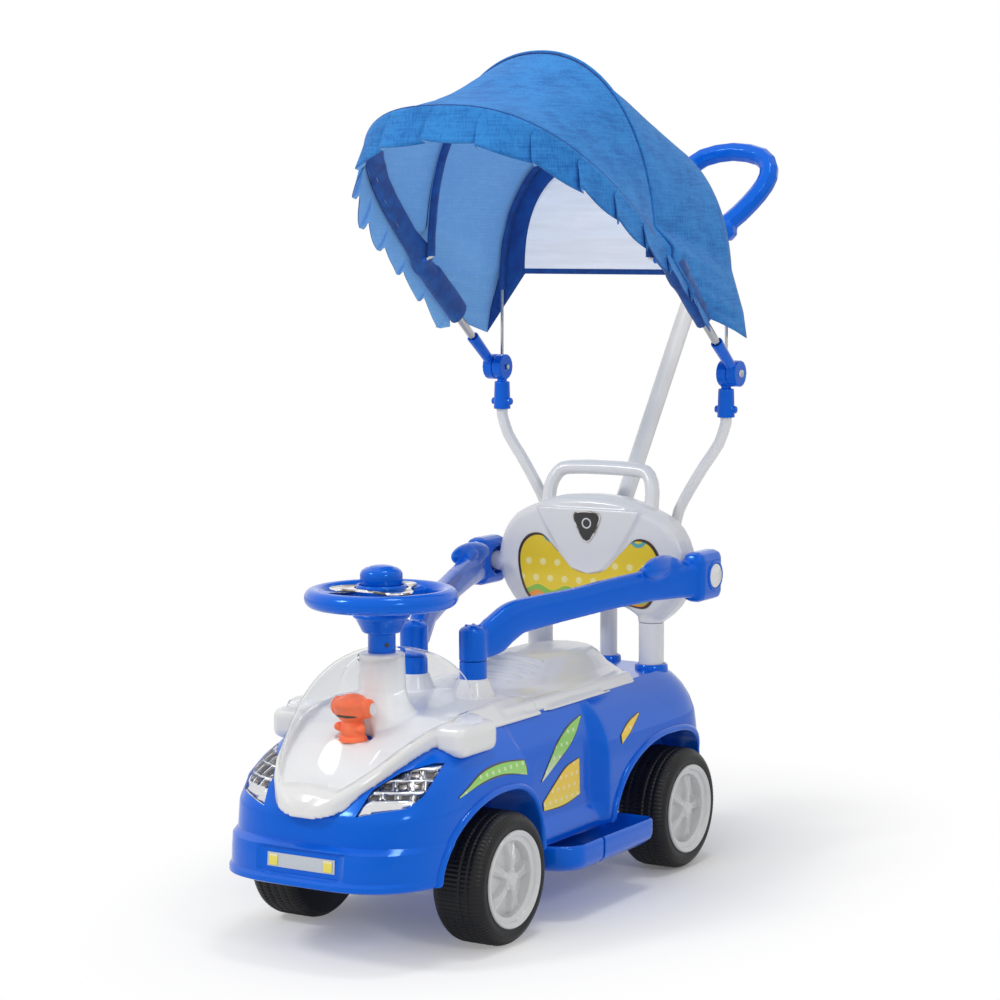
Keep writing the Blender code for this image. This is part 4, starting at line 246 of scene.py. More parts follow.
def painted_tube_finish():
    finish = Finish("white painted tube", (0.80, 0.80, 0.80), 0.30, Coat_Weight=0.2, Coat_Roughness=0.12)
    place = finish.place()
    share = finish.noise(place, 22.0)
    finish.feed("Base Color", finish.blend(share, (0.775, 0.775, 0.775), (0.81, 0.81, 0.81)))
    finish.feed("Roughness", 0.26 + finish.noise(place, 90.0, 2.0) * 0.10)
    finish.bump(finish.noise(place, 120.0), 0.00003)
    return finish.material


def woven_finish(name, light, dark, mottle=1.0, thread=1500.0, painted_glow=0.0):
    """Chambray-like cloth: crossed threads of two tones, soft blotches and slubs, and, where asked, a painted
    glow that stands in for light through the cloth from behind.
    """
    finish = Finish(name, light, 0.86, Sheen_Weight=0.10, Sheen_Roughness=0.5, Specular_IOR_Level=0.2)
    # Painted light: the emission glow stands in for light coming through the cloth
    finish.shader.inputs["Emission Color"].default_value = (*light, 1.0)
    finish.shader.inputs["Emission Strength"].default_value = painted_glow
    place = finish.place()
    blotch = finish.noise(place, 26.0, 3.0, 0.6)
    slub_a = finish.noise(finish.scaled(place, 30.0, 30.0, 420.0), 1.0, 3.0, 0.7)
    slub_b = finish.noise(finish.scaled(place, 420.0, 420.0, 30.0), 1.0, 3.0, 0.7)
    x, y, z = finish.axes(place)
    warp = ((z * thread).maths("SINE") + 1.0) * 0.5
    weft = (((x + y) * thread).maths("SINE") + 1.0) * 0.5
    fibre = slub_a * 0.5 + slub_b * 0.5
    tone = finish.ramp(fibre * 0.75 + blotch * 0.35 * mottle, 0.42, 0.64)
    finish.feed("Base Color", finish.blend(tone, dark, light))
    finish.feed("Roughness", 0.80 + blotch * 0.15)
    finish.bump((warp + weft) * 0.5 + fibre, 0.0002)
    return finish.material


def band_finish(name, colour, deep):
    """Plain dark binding tape with a fine rib."""
    finish = Finish(name, colour, 0.75, Sheen_Weight=0.15)
    place = finish.place()
    tone = finish.noise(place, 60.0, 3.0, 0.6)
    finish.feed("Base Color", finish.blend(finish.ramp(tone, 0.3, 0.7), deep, colour))
    x, y, z = finish.axes(place)
    finish.bump(((x + y + z) * 2200.0).maths("SINE") * 0.5 + tone, 0.00015)
    return finish.material


def window_finish():
    """White window cloth with faint level folds, darker in their hollows as painted shade, and a painted glow
    that keeps it bright.
    """
    # Painted light: the emission makes the cloth glow though it is no lamp
    finish = Finish(
        "white window cloth", (0.78, 0.78, 0.79), 0.7, Specular_IOR_Level=0.3, Emission_Strength=0.42
    )
    finish.shader.inputs["Emission Color"].default_value = (0.80, 0.80, 0.80, 1.0)
    place = finish.place()
    crease_and_shade = finish.noise(finish.scaled(place, 8.0, 8.0, 110.0), 1.0, 3.0, 0.6)
    # Painted shade: the colour is darker where the fold height is low, in the hollows of the folds
    share = finish.ramp(crease_and_shade, 0.35, 0.62)
    finish.feed("Base Color", finish.blend(share, (0.66, 0.655, 0.66), (0.80, 0.80, 0.81)))
    finish.bump(crease_and_shade, 0.0012)
    return finish.material


def print_finish(name, colour, gloss=0.22):
    """Glossy printed film."""
    finish = Finish(name, colour, gloss, Coat_Weight=0.3, Coat_Roughness=0.05)
    finish.feed("Roughness", gloss + finish.noise(finish.place(), 200.0) * 0.08)
    return finish.material


def dot_field(finish, u, v, pitch, radius, shift=0.0):
    """A field of round dots in rows that are offset by half."""
    row = (v / pitch + shift).maths("FLOOR")
    offset = (row * 0.5).maths("FRACT")
    du = (u / pitch + offset + shift).maths("FRACT") - 0.5
    dv = (v / pitch + shift).maths("FRACT") - 0.5
    distance = (du * du + dv * dv) ** 0.5
    return finish.ramp(distance, radius + 0.04, radius, 0.0, 1.0)


def back_print_finish():
    """The backrest's picture: warm yellow with soft green waves, teal stripes of cloud and pale dots."""
    finish = Finish("backrest picture film", (0.86, 0.62, 0.02), 0.20, Coat_Weight=0.3, Coat_Roughness=0.06)
    x, _, z = finish.axes()
    wave = ((x * 150.0).maths("SINE") * 0.0035) + 0.3345
    ground = finish.ramp(z - wave, 0.0006, -0.0006)
    second = finish.ramp(z - wave + 0.0085 + (x * 95.0).maths("SINE") * 0.002, 0.0006, -0.0006)
    dots = dot_field(finish, x + 0.003, z, 0.021, 0.19)
    aside, up = x + 0.0120, z - 0.006
    rings = dot_field(finish, aside, up, 0.042, 0.27) - dot_field(finish, aside, up, 0.042, 0.15)
    sky = finish.ramp(z, 0.374, 0.376)
    colour = finish.blend(dots * (1.0 - sky), (0.86, 0.62, 0.02), (0.90, 0.78, 0.30))
    colour = finish.blend(rings * sky, colour, (0.10, 0.40, 0.42))
    colour = finish.blend(ground, colour, (0.24, 0.52, 0.06))
    colour = finish.blend(second, colour, (0.88, 0.30, 0.04))
    finish.feed("Base Color", colour)
    finish.feed("Roughness", 0.18 + finish.noise(finish.place(), 160.0) * 0.10)
    return finish.material


def badge_finish():
    """Dark badge with a plain pale ring in its middle."""
    finish = Finish("dark badge", (0.020, 0.018, 0.018), 0.25, Coat_Weight=0.4)
    x, _, z = finish.axes()
    up = z - 0.4205
    radius = (x * x + up * up) ** 0.5
    ring = finish.ramp(radius, 0.0070, 0.0066) * finish.ramp(radius, 0.0048, 0.0052)
    finish.feed("Base Color", finish.blend(ring, (0.020, 0.018, 0.018), (0.70, 0.70, 0.70)))
    return finish.material


def side_print_finish(name, top, bottom, low, high):
    """A side sticker that fades from one colour to another with height, with small pale flecks."""
    finish = Finish(name, top, 0.22, Coat_Weight=0.3, Coat_Roughness=0.06)
    _, y, z = finish.axes()
    share = finish.ramp(z, low, high)
    flecks = dot_field(finish, y, z, 0.0125, 0.16)
    colour = finish.blend(share, bottom, top)
    finish.feed("Base Color", finish.blend(flecks * 0.55, colour, (0.90, 0.88, 0.72)))
    return finish.material


# How far off the floor turns to plain white
FLOOR_FADE = (0.22, 0.72)


def floor_finish():
    """Pale floor that keeps the shadow under the car and is white to the camera further out."""
    finish = Finish("pale floor", (0.90, 0.90, 0.90), 0.9)
    x, y, _ = finish.axes()
    far = finish.ramp(((x * x * 2.2) + (y * y * 0.8)) ** 0.5, *FLOOR_FADE)
    seen = finish.node("ShaderNodeLightPath", {}, [], "Is Camera Ray")
    white = finish.node("ShaderNodeEmission", {}, {"Color": (1.0, 1.0, 1.0, 1.0), "Strength": 1.0})
    lit = finish.node("ShaderNodeMixShader", {}, [far * seen])
    finish.links.new(finish.shader.outputs[0], lit.socket.node.inputs[1])
    finish.links.new(white.socket, lit.socket.node.inputs[2])
    finish.links.new(lit.socket, finish.nodes["Material Output"].inputs["Surface"])
    finish.shader.inputs["Emission Color"].default_value = (1.0, 1.0, 1.0, 1.0)
    finish.shader.inputs["Emission Strength"].default_value = 0.10
    return finish.material


FINISHES = {
    "blue_plastic": moulded_plastic("glossy blue plastic", BLUE, 0.16, tint=(0.03, 0.40, 1.0), coat=0.22),
    "white_plastic": moulded_plastic("glossy white plastic", WHITE, 0.24, deep=0.012),
    "hubcap": moulded_plastic("satin hubcap plastic", HUBCAP_WHITE, 0.36, deep=0.04),
    "black_tyre": tyre_finish(),
    "black_plastic": moulded_plastic("black plastic", (0.014, 0.014, 0.016), 0.42),
    "steel": steel_finish(),
    "painted_tube": painted_tube_finish(),
    "chrome": chrome_finish(),
    "clear_plastic": clear_finish("clear screen plastic", (0.97, 0.98, 0.99), 0.03),
    "orange_plastic": toy_finish(),
    "canopy_cloth": woven_finish("blue canopy cloth", CLOTH_BLUE, CLOTH_SHADE),
    # The lining carries a painted glow that stands in for light through the cloth
    "canopy_lining": woven_finish("pale blue lining side", CLOTH_LINING, LINING_SHADE, 0.6, painted_glow=0.26),
    "canopy_binding": band_finish("dark blue binding", BINDING_BLUE, (0.004, 0.055, 0.260)),
    "canopy_band": band_finish("window border band", BINDING_BLUE, (0.005, 0.060, 0.300)),
    "window_cloth": window_finish(),
    "floor": floor_finish(),
    "dark_print": print_finish("dark outline film", (0.050, 0.026, 0.014)),
    "back_print": back_print_finish(),
    "badge_print": badge_finish(),
    "side_print": side_print_finish("green side film", (0.26, 0.62, 0.10), (0.86, 0.86, 0.72), 0.150, 0.195),
    "gold_print": side_print_finish("gold side film", (0.92, 0.62, 0.02), (0.86, 0.74, 0.10), 0.110, 0.150),
    # The lamp cells' one steel in three copies: a painted highlight on the rims, painted shade on the steps
    # and deeper painted shade on the floors
    "cell_rims_painted_highlight": steel_finish("cell rims with painted highlight", (0.78, 0.78, 0.78), 0.14),
    "cell_steps_painted_shade": steel_finish("cell steps with painted shade", (0.34, 0.33, 0.33), 0.18),
    "cell_floors_painted_shade": steel_finish("cell floors with painted shade", (0.13, 0.12, 0.12), 0.16),
    "plate_print": print_finish("pale plate film", (0.56, 0.60, 0.64)),
}

SLOT_OF = {entry["node"]: entry["material_slot"] for entry in frame["record"]["subparts"]}
SIDES = ((1, "left"), (-1, "right"))
# The CAD nodes that a piece of this script stands for
MODELLED = set()
BODY_OF = {node: body for body, nodes in frame["record"]["behaviour"]["bodies"].items() for node in nodes}


def shade(piece, angle):
    """Smooth shading that breaks at edges sharper than the angle."""
    piece.data.shade_smooth()
    piece.data.set_sharp_from_angle(angle=math.radians(angle))


def add_piece(name, bm, finish, body, smooth=40, slot=None):
    """A piece with its place in its mesh. It may ride on a body. The slot argument is not used."""
    mesh = bpy.data.meshes.new(name)
    bm.to_mesh(mesh)
    bm.free()
    mesh.materials.append(FINISHES[finish])
    piece = bpy.data.objects.new(name, mesh)
    bpy.context.scene.collection.objects.link(piece)
    shade(piece, smooth)
    if body:
        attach(piece, body)
        slot or finish
    return piece


def sealed(bm, merge=MERGE, fill=False):
    """The form with doubled points merged, open rims filled where asked, and its faces turned outwards."""
    bmesh.ops.remove_doubles(bm, verts=bm.verts, dist=merge)
    if fill:
        bmesh.ops.holes_fill(bm, edges=[e for e in bm.edges if e.is_boundary], sides=0)
    bmesh.ops.recalc_face_normals(bm, faces=bm.faces)
    return bm


def stands_for(piece, node):
    """The piece takes the place of a CAD node."""
    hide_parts(node)
    MODELLED.add(node)
    return piece


def merged_copy(node):
    """The CAD node's mesh with its loose triangles joined up and its flat faces whole again."""
    bm = bmesh.new()
    bm.from_mesh(frame["nodes"][node].data)
    bmesh.ops.remove_doubles(bm, verts=bm.verts, dist=0.000008)
    bmesh.ops.dissolve_limit(bm, angle_limit=math.radians(0.6), verts=bm.verts, edges=bm.edges)
    return bm


def round_edges(piece, width, angle=38, segments=3):
    rounding = piece.modifiers.new("rounded edges", "BEVEL")
    rounding.width = width
    rounding.segments = segments
    rounding.limit_method = "ANGLE"
    rounding.angle_limit = math.radians(angle)
    rounding.harden_normals = True
    return piece


def dressed(node, edge=0.0, smooth=38):
    """A CAD node again with smooth shading, rounded edges and its own finish."""
    piece = add_piece(node + "_dressed", merged_copy(node), SLOT_OF[node], BODY_OF[node], smooth)
    if edge:
        round_edges(piece, edge, smooth)
    return stands_for(piece, node)


# Canopy sizes, as in the solids and in the same drawing coordinates
HINGE_Y = 0.287
HINGE_Z = 0.611
BOW_X = 0.176
FRONT_BOW_RAKE = math.radians(38)
FRONT_BOW_RADIUS = 0.0050
MID_BOW_RADIUS = 0.0030
REAR_BOW_RADIUS = 0.0022
# Each bow's half width, the heights of its springing and its top, and its squareness
FRONT_BOW = (0.1730, 0.2000, 0.5060, 2.6)
MID_BOW = (0.1537, 0.7560, 0.9930, 2.15)
REAR_BOW = (0.1630, 0.7110, 0.9080, 2.3)
CLOTH_LIFT = 0.0030
CLOTH_START = 0.116
CLOTH_PIVOT = 0.231
CLIP_COVER = 0.016
WINDOW_BOTTOM = 0.7320
WINDOW_HALF = 0.1310
WINDOW_TOP = 0.8790
GORE_TIP = (0.1890, 0.6550)
CLOTH_COLUMNS = 228
CLOTH_FRONT_ROWS = 26
CLOTH_REAR_ROWS = 24
VALANCE_ROWS = 9
WINDOW_ROWS = 14
LEG_COLUMNS = 18
PLEAT_PITCH = 0.064
VALANCE_DROP = 0.041
LEG_VALANCE_DROP = 0.017


def squared(value, power):
    """A sine or cosine raised to a power with its sign kept, which squares a round shape."""
    return math.copysign(abs(value) ** power, value)


def shares(count):
    """Even shares from 0 to 1, both included."""
    return [k / count for k in range(count + 1)]


def round_turns(steps):
    """Angles once round, with the first again at the end."""
    return [math.tau * (k % steps) / steps for k in range(steps + 1)]


def turned(reach, turn, height):
    """A point at a reach from the upright axis, turned round it."""
    return Vector((reach * math.cos(turn), reach * math.sin(turn), height))


def squared_arch(half_width, height, power, steps=120):
    """Points (across, up) of an arch from its left foot over its top to its right foot."""
    arch = []
    for k in range(steps + 1):
        turn = math.pi * k / steps
        rise = height * math.sin(turn) ** (2 / power) if 0 < k < steps else 0.0
        arch.append((half_width * squared(math.cos(turn), 2 / power), rise))
    return arch


def lengths_along(points):
    """How far along a line each of its points lies."""
    lengths = [0.0]
    for first, second in zip(points, points[1:]):
        lengths.append(lengths[-1] + (second - first).length)
    return lengths


def spaced(shape, count):
    """Equally spaced points along a polyline."""
    points = [Vector(p) for p in shape]
    lengths = lengths_along(points)
    result = []
    i = 0
    for k in range(count + 1):
        target = lengths[-1] * k / count
        while i < len(points) - 2 and lengths[i + 1] < target:
            i += 1
        share = (target - lengths[i]) / max(1e-9, lengths[i + 1] - lengths[i])
        result.append(points[i].lerp(points[i + 1], share))
    return result


def bow_point(x, along):
    """A point in the front bow's raked plane, in the frame's coordinates."""
    ahead, up = along * math.cos(FRONT_BOW_RAKE), along * math.sin(FRONT_BOW_RAKE)
    return Vector((x, ALONG + HINGE_Y - ahead, HINGE_Z + up))


def bow_arch(bow, grow=0.0):
    """A bow's arch as (across, up) points, grown outwards by so much."""
    half_width, spring, top, power = bow
    arch = squared_arch(half_width + grow, top + grow - spring, power)
    return [(x, spring + rise) for x, rise in arch]


def mirrored_row(row):
    """The row's other half, on the right side of the car."""
    return [Vector((-p.x, p.y, p.z)) for p in reversed(row)]


def canopy_rows():
    """The cloth's lines over the three bows, from its left edge to its right, with as many points each."""
    leg_x = BOW_X + FRONT_BOW_RADIUS + CLOTH_LIFT
    legs = [
        bow_point(leg_x, CLOTH_START + (CLOTH_PIVOT - CLOTH_START) * k / LEG_COLUMNS)
        for k in range(LEG_COLUMNS)
    ]
    columns = CLOTH_COLUMNS - 2 * LEG_COLUMNS
    over = [p for p in bow_arch(FRONT_BOW, FRONT_BOW_RADIUS + CLOTH_LIFT) if p[1] > CLOTH_PIVOT + 0.02]
    over = [(leg_x, CLOTH_PIVOT)] + over + [(-leg_x, CLOTH_PIVOT)]
    front = [bow_point(p.x, p.y) for p in spaced([Vector((x, s, 0)) for x, s in over], columns)]
    pivot = bow_point(leg_x, CLOTH_PIVOT)
    clip_top = pivot.z + CLIP_COVER
    over = [p for p in bow_arch(MID_BOW, MID_BOW_RADIUS + CLOTH_LIFT) if p[1] > clip_top + 0.018]
    over = [(leg_x, pivot.z), (leg_x, clip_top)] + over + [(-leg_x, clip_top), (-leg_x, pivot.z)]
    middle = spaced([Vector((x, pivot.y, z)) for x, z in over], columns)
    hem = [GORE_TIP, (GORE_TIP[0] - 0.005, GORE_TIP[1] + 0.032)]
    over = [p for p in bow_arch(REAR_BOW, REAR_BOW_RADIUS + CLOTH_LIFT) if p[1] > GORE_TIP[1] + 0.080]
    over = hem + over + [(-x, z) for x, z in reversed(hem)]
    rear = spaced([Vector((x, ALONG + HINGE_Y + 0.0045, z)) for x, z in over], CLOTH_COLUMNS)
    return legs + front + mirrored_row(legs), legs + middle + mirrored_row(legs), rear


def smooth_step(low, high, value):
    """0 up to the low value and 1 from the high value, with an eased rise between them."""
    share = min(1.0, max(0.0, (value - low) / (high - low)))
    return share * share * (3 - 2 * share)


def ripple(point, scale, seed):
    """Smooth noise at a point of the cloth."""
    return noise.noise(point * scale + Vector((seed, seed * 1.7, -seed)))


def grid_of(rows):
    """A grid mesh whose points follow the rows."""
    bm = bmesh.new()
    bmesh.ops.create_grid(bm, x_segments=len(rows[0]) - 1, y_segments=len(rows) - 1, size=1.0)
    bm.verts.ensure_lookup_table()
    for r, row in enumerate(rows):
        for k, point in enumerate(row):
            bm.verts[r * len(row) + k].co = point
    return bm


def body_of_cloth(front, middle, rear):
    """Rows from the front seam over the middle bow to the rear bow, with sag, ridge and pulled folds."""
    last = len(front) - 1
    rows = []
    for share in shares(CLOTH_FRONT_ROWS):
        row = []
        for k, (a, b) in enumerate(zip(front, middle)):
            arch = math.sin(math.pi * k / last)
            free = smooth_step(LEG_COLUMNS, LEG_COLUMNS + 14, min(k, last - k))
            point = a.lerp(b, share)
            tension = math.sin(math.pi * share)
            point.z -= 0.010 * arch * tension * free
            wave = ripple(point, 17.0, 3.0) * 0.0030 + ripple(point, 45.0, 9.0) * 0.0009
            point.z += wave * tension * free
            point.x += math.copysign(wave, point.x) * tension * free * (1 - arch)
            row.append(point)
        rows.append(row)
    for share in shares(CLOTH_REAR_ROWS)[1:]:
        row = []
        for k, (a, b) in enumerate(zip(middle, rear)):
            side = 1 - math.sin(math.pi * k / last)
            point = a.lerp(b, share)
            tension = math.sin(math.pi * share)
            low = smooth_step(0.78, 0.66, point.z)
            gather = math.sin(math.tau * (k if k < last / 2 else last - k) / 7.0) * 0.0016
            puff = 0.004 * tension * side
            wave = ripple(point, 15.0, 21.0) * 0.0035 + ripple(point, 50.0, 5.0) * 0.0009
            push = (wave + gather * low) * tension + puff
            point.x += math.copysign(push, point.x) * (0.35 + 0.65 * side)
            point.z += wave * tension * (1 - side) * 0.7
            row.append(point)
        rows.append(row)
    return rows


def valance_rows(front):
    """Knife pleats that hang from the front seam: each face swings out and its end tucks back under it."""
    total = lengths_along(front)[-1]
    seam = spaced(front, 900)

    def on_seam(distance):
        place = min(max(distance / total, 0.0), 1.0) * 900
        k = min(int(place), 899)
        return seam[k].lerp(seam[k + 1], place - k)

    count = round(total / PLEAT_PITCH)
    pitch = total / count
    marks = []
    for pleat in range(count):
        for share in (0.0, 0.06, 0.16, 0.30, 0.45, 0.60, 0.74, 0.86, 0.95, 1.0):
            marks.append((pleat, share, False))
        for share in (0.8, 0.5, 0.2):
            marks.append((pleat, share, True))
    rows = []
    for down in shares(VALANCE_ROWS):
        row = []
        for pleat, share, tucked in marks:
            lap = 0.13 * smooth_step(0.0, 0.35, down)
            if tucked:
                place = pleat + 1 + lap * share
                swing = 0.25 + 0.6 * share
            else:
                place = pleat + share * (1 + lap)
                swing = 0.18 + 0.82 * share**1.3
            centre = on_seam((pleat + 0.5) * pitch)
            base = on_seam(place * pitch)
            near_end = min(place, count - place) * pitch
            level = smooth_step(0.05, 0.30, near_end)
            uneven = ripple(centre, 14.0, 31.0)
            drop = LEG_VALANCE_DROP + (VALANCE_DROP - LEG_VALANCE_DROP) * level
            drop *= 1 + 0.12 * uneven + 0.10 * math.sin(math.pi * share)
            out = (0.0030 + 0.0165 * swing) * down**1.15 * (0.75 + 0.5 * abs(uneven))
            curl = 0.0022 * math.sin(math.pi * min(1.0, share)) * down
            aside = base.x / BOW_X
            ahead = out * (1.0 - 0.45 * abs(aside)) + curl + 0.0016
            point = base + Vector(((out + 0.0010) * aside * 0.85, -ahead, -drop * down))
            row.append(point)
        row.append(on_seam(total) + Vector((0, -0.0016, -LEG_VALANCE_DROP * down)))
        rows.append(row)
    return rows


def window_rows(rear):
    """The border band between the rear bow and the window, and the window from there to its hem."""
    columns = len(rear) - 1
    side = next(k for k, p in enumerate(rear) if p.z > WINDOW_BOTTOM + 0.012)
    arch = [
        Vector((x, rear[0].y, WINDOW_BOTTOM + z))
        for x, z in squared_arch(WINDOW_HALF, WINDOW_TOP - WINDOW_BOTTOM, 2.5)
    ]
    corner = Vector((WINDOW_HALF, rear[0].y, WINDOW_BOTTOM))
    hem = [rear[0].lerp(corner, k / side) for k in range(side)]
    inner = hem + spaced(arch, columns - 2 * side) + mirrored_row(hem)
    band = [[a.lerp(b, share) for a, b in zip(rear, inner)] for share in shares(4)]
    window = []
    pane = inner[side : columns - side + 1]
    for share in shares(WINDOW_ROWS):
        row = []
        for p in pane:
            point = Vector((p.x, p.y, p.z + (WINDOW_BOTTOM - p.z) * share))
            slack = math.sin(math.pi * share) * (1 - (p.x / WINDOW_HALF) ** 2)
            broad = noise.noise(Vector((p.x * 9, point.z * 90, 4.0)))
            fine = noise.noise(Vector((p.x * 25, point.z * 160, 8.0)))
            point.y += 0.0032 * slack * (broad + 0.5 * fine)
            row.append(point)
        window.append(row)
    return band, window


def cloth_piece(name, bm, finishes, flip=False):
    """A sheet with thickness: the first finish outside, the second on the lining, the third on the hems."""
    bmesh.ops.remove_doubles(bm, verts=bm.verts, dist=0.00002)
    if flip:
        bmesh.ops.reverse_faces(bm, faces=bm.faces)
    piece = add_piece(name, bm, finishes[0], None, 60)
    for finish in finishes[1:]:
        piece.data.materials.append(FINISHES[finish])
    wall = piece.modifiers.new("cloth thickness", "SOLIDIFY")
    wall.thickness = 0.0011
    wall.offset = 0.0
    wall.material_offset = 1
    wall.material_offset_rim = 2
    return piece


def bend_with_canopy(piece):
    """The piece with its modifiers applied and its place baked into its mesh."""
    apply_modifiers(piece)
    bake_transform(piece)


def apply_modifiers(piece):
    """The piece's mesh as its modifiers leave it."""
    graph = bpy.context.evaluated_depsgraph_get()
    mesh = bpy.data.meshes.new_from_object(piece.evaluated_get(graph))
    piece.modifiers.clear()
    piece.data = mesh


def flat_sleeve(name, centres, insides, wide, thick, offset=0.0, stout=0.0):
    """A flattened tube round a bow: wide along the cloth, thin across it, and stouter over the clips."""
    rings = []
    last = len(centres) - 1
    for k, (centre, inside) in enumerate(zip(centres, insides)):
        tangent = (centres[min(k + 1, last)] - centres[max(k - 1, 0)]).normalized()
        along = (inside - tangent * inside.dot(tangent)).normalized()
        across = tangent.cross(along)
        ring = []
        low = smooth_step(0.775, 0.745, centre.z) * stout
        wander = ripple(centre, 40.0, 2.0) * 0.0015
        for turn in round_turns(14)[:-1]:
            ring.append(
                centre
                + along * (offset * (1 - low * 60) + (wide / 2 + low) * math.cos(turn) + wander)
                + across * ((thick / 2 + low) * math.sin(turn))
            )
        rings.append(ring + [ring[0]])
    return add_piece(name, sealed(grid_of(rings), fill=True), "canopy_binding", None, 70)


def piping(name, points, radius, finish):
    """A thin round cord of cloth sewn along a line."""
    curve = bpy.data.curves.new(name, "CURVE")
    curve.dimensions = "3D"
    curve.bevel_depth = radius
    curve.bevel_resolution = 2
    curve.use_fill_caps = True
    line = curve.splines.new("POLY")
    line.points.add(len(points) - 1)
    for knot, point in zip(line.points, points):
        knot.co = (*point, 1.0)
    shape = bpy.data.objects.new(name, curve)
    bpy.context.scene.collection.objects.link(shape)
    graph = bpy.context.evaluated_depsgraph_get()
    mesh = bpy.data.meshes.new_from_object(shape.evaluated_get(graph))
    bpy.data.objects.remove(shape)
    bm = bmesh.new()
    bm.from_mesh(mesh)
    bmesh.ops.remove_doubles(bm, verts=bm.verts, dist=MERGE)
    return add_piece(name, bm, finish, None, 70)


def build_canopy():
    front, middle, rear = canopy_rows()
    rows = body_of_cloth(front, middle, rear)
    band, window = window_rows(rear)
    outer, lining, binding = "canopy_cloth", "canopy_lining", "canopy_binding"
    cover = cloth_piece("canopy_cover", grid_of(rows), (outer, lining, outer), True)
    border = cloth_piece("canopy_window_border", grid_of(band), ("canopy_band",) * 3)
    pane = cloth_piece("canopy_window", grid_of(window), ("window_cloth",) * 3)
    valance = cloth_piece("canopy_valance", grid_of(valance_rows(front)), (outer, lining, binding))
    pieces = [cover, border, pane, valance]
    columns = len(front) - 1
    inside_legs = Vector((0, 0.6, 0.8))
    insides = [
        (rows[4][k] - rows[0][k]) if LEG_COLUMNS < k < columns - LEG_COLUMNS else inside_legs
        for k in range(columns + 1)
    ]
    leg = [bow_point(BOW_X, CLOTH_START - 0.004 + (CLOTH_PIVOT - CLOTH_START) * k / 10) for k in range(10)]
    arch = [bow_point(x, along) for x, along in bow_arch(FRONT_BOW) if along > CLOTH_PIVOT]
    line = spaced(leg + arch + mirrored_row(leg), columns)
    pieces.append(flat_sleeve("canopy_front_sleeve", line, insides, 0.0250, 0.0128, 0.0055, stout=0.0042))
    foot = bow_point(0.0, CLOTH_PIVOT)
    arch = [Vector((x, foot.y, z)) for x, z in bow_arch(MID_BOW)]
    backwards = [Vector((0, 1, 0))] * 121
    pieces.append(flat_sleeve("canopy_middle_sleeve", spaced(arch, 120), backwards, 0.0130, 0.0088))
    arch = [Vector((x, ALONG + HINGE_Y, z)) for x, z in bow_arch(REAR_BOW) if z > REAR_BOW[1] - 0.012]
    pieces.append(flat_sleeve("canopy_rear_sleeve", spaced(arch, 120), backwards, 0.0120, 0.0066))
    ridge = middle[8:-8]
    pieces.append(piping("canopy_ridge_bead", [lifted(p, 0.0016) for p in ridge], 0.0019, outer))
    for name, aside in (("canopy_ridge_front_line", -0.0030), ("canopy_ridge_rear_line", 0.0030)):
        line = [lifted(p, 0.0004) + Vector((0, aside, 0)) for p in ridge]
        pieces.append(piping(name, line, 0.0008, binding))
    seam = [p + Vector((0, -0.0010, 0.0006)) for p in front[6:-6]]
    pieces.append(piping("canopy_front_seam", seam, 0.0009, binding))
    pieces.append(hem_band("canopy_window_hem", window[-1], 0.0068, binding))
    for piece in pieces:
        bend_with_canopy(piece)
    stands_for(cover, "canopy_cloth")
    declare_cloth(rows, pieces[1:])


def lifted(point, height):
    """A point of the cloth raised off it, up at the top and outwards at the sides."""
    aside = max(-1.0, min(1.0, point.x / MID_BOW[0])) ** 3
    return point + Vector((aside * height, 0, height * (1 - aside * aside)))


def hem_band(name, line, height, finish):
    """A flat folded binding along a hem."""
    rows = [[p + Vector((0, 0.0011, height * share)) for p in line] for share in shares(2)]
    rows += [[p + Vector((0, -0.0011, height * share)) for p in line] for share in reversed(shares(2))]
    return add_piece(name, sealed(grid_of(rows + [rows[0]]), fill=True), finish, None, 50)


def declare_cloth(rows, others):
    """The cover's cut: its longest row across and its longest line along, with the area between its rows."""
    width = max(sum((b - a).length for a, b in zip(row, row[1:])) for row in rows)
    length = max(sum((b[k] - a[k]).length for a, b in zip(rows, rows[1:])) for k in range(len(rows[0])))
    area = 0.0
    for a, b in zip(rows, rows[1:]):
        for k in range(len(a) - 1):
            area += ((a[k + 1] - a[k]).cross(b[k] - a[k])).length / 2
            area += ((b[k] - b[k + 1]).cross(a[k + 1] - b[k + 1])).length / 2
    area = min(area, width * length)
    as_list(others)


# Body sizes. The side panels lie up to 3.5 mm further in than the solids', with a sharper step behind
# the front fender. Each level is a height, its front and rear, and its half widths over the fenders and
# at the panels
WHEEL_RADIUS = 0.075
BODY_BOTTOM = 0.088
BODY_WALL = 0.003
DECK_Z = 0.240
BODY_LEVELS = (
    (BODY_BOTTOM, -0.3980, 0.306, 0.1375, 0.1325), (0.0905, -0.4040, 0.308, 0.1390, 0.1335),
    (0.0955, -0.4035, 0.308, 0.1390, 0.1335), (0.0990, -0.3985, 0.309, 0.1390, 0.1330),
    (0.1150, -0.3975, 0.309, 0.1390, 0.1225), (0.1290, -0.3955, 0.309, 0.1390, 0.1210),
    (0.1345, -0.3845, 0.308, 0.1385, 0.1205), (0.1650, -0.3810, 0.307, 0.1380, 0.1200),
    (0.1880, -0.3620, 0.306, 0.1350, 0.1185), (0.2050, -0.3340, 0.303, 0.1285, 0.1155),
    (0.2200, -0.3020, 0.298, 0.1190, 0.1115), (0.2320, -0.2680, 0.290, 0.1085, 0.1060),
    (DECK_Z, -0.2350, 0.278, 0.0995, 0.0990),
)
FRONT_SPLIT_Y = -0.190
REAR_SPLIT_Y = 0.190
FRONT_SQUARE = 3.7
REAR_SQUARE = 4.6
FENDER_REAR_Y = -0.1130
FENDER_LEAN = 0.30
FENDER_STEP = 0.0050
REAR_FENDER_Y = 0.0180
REAR_FENDER_STEP = 0.0200
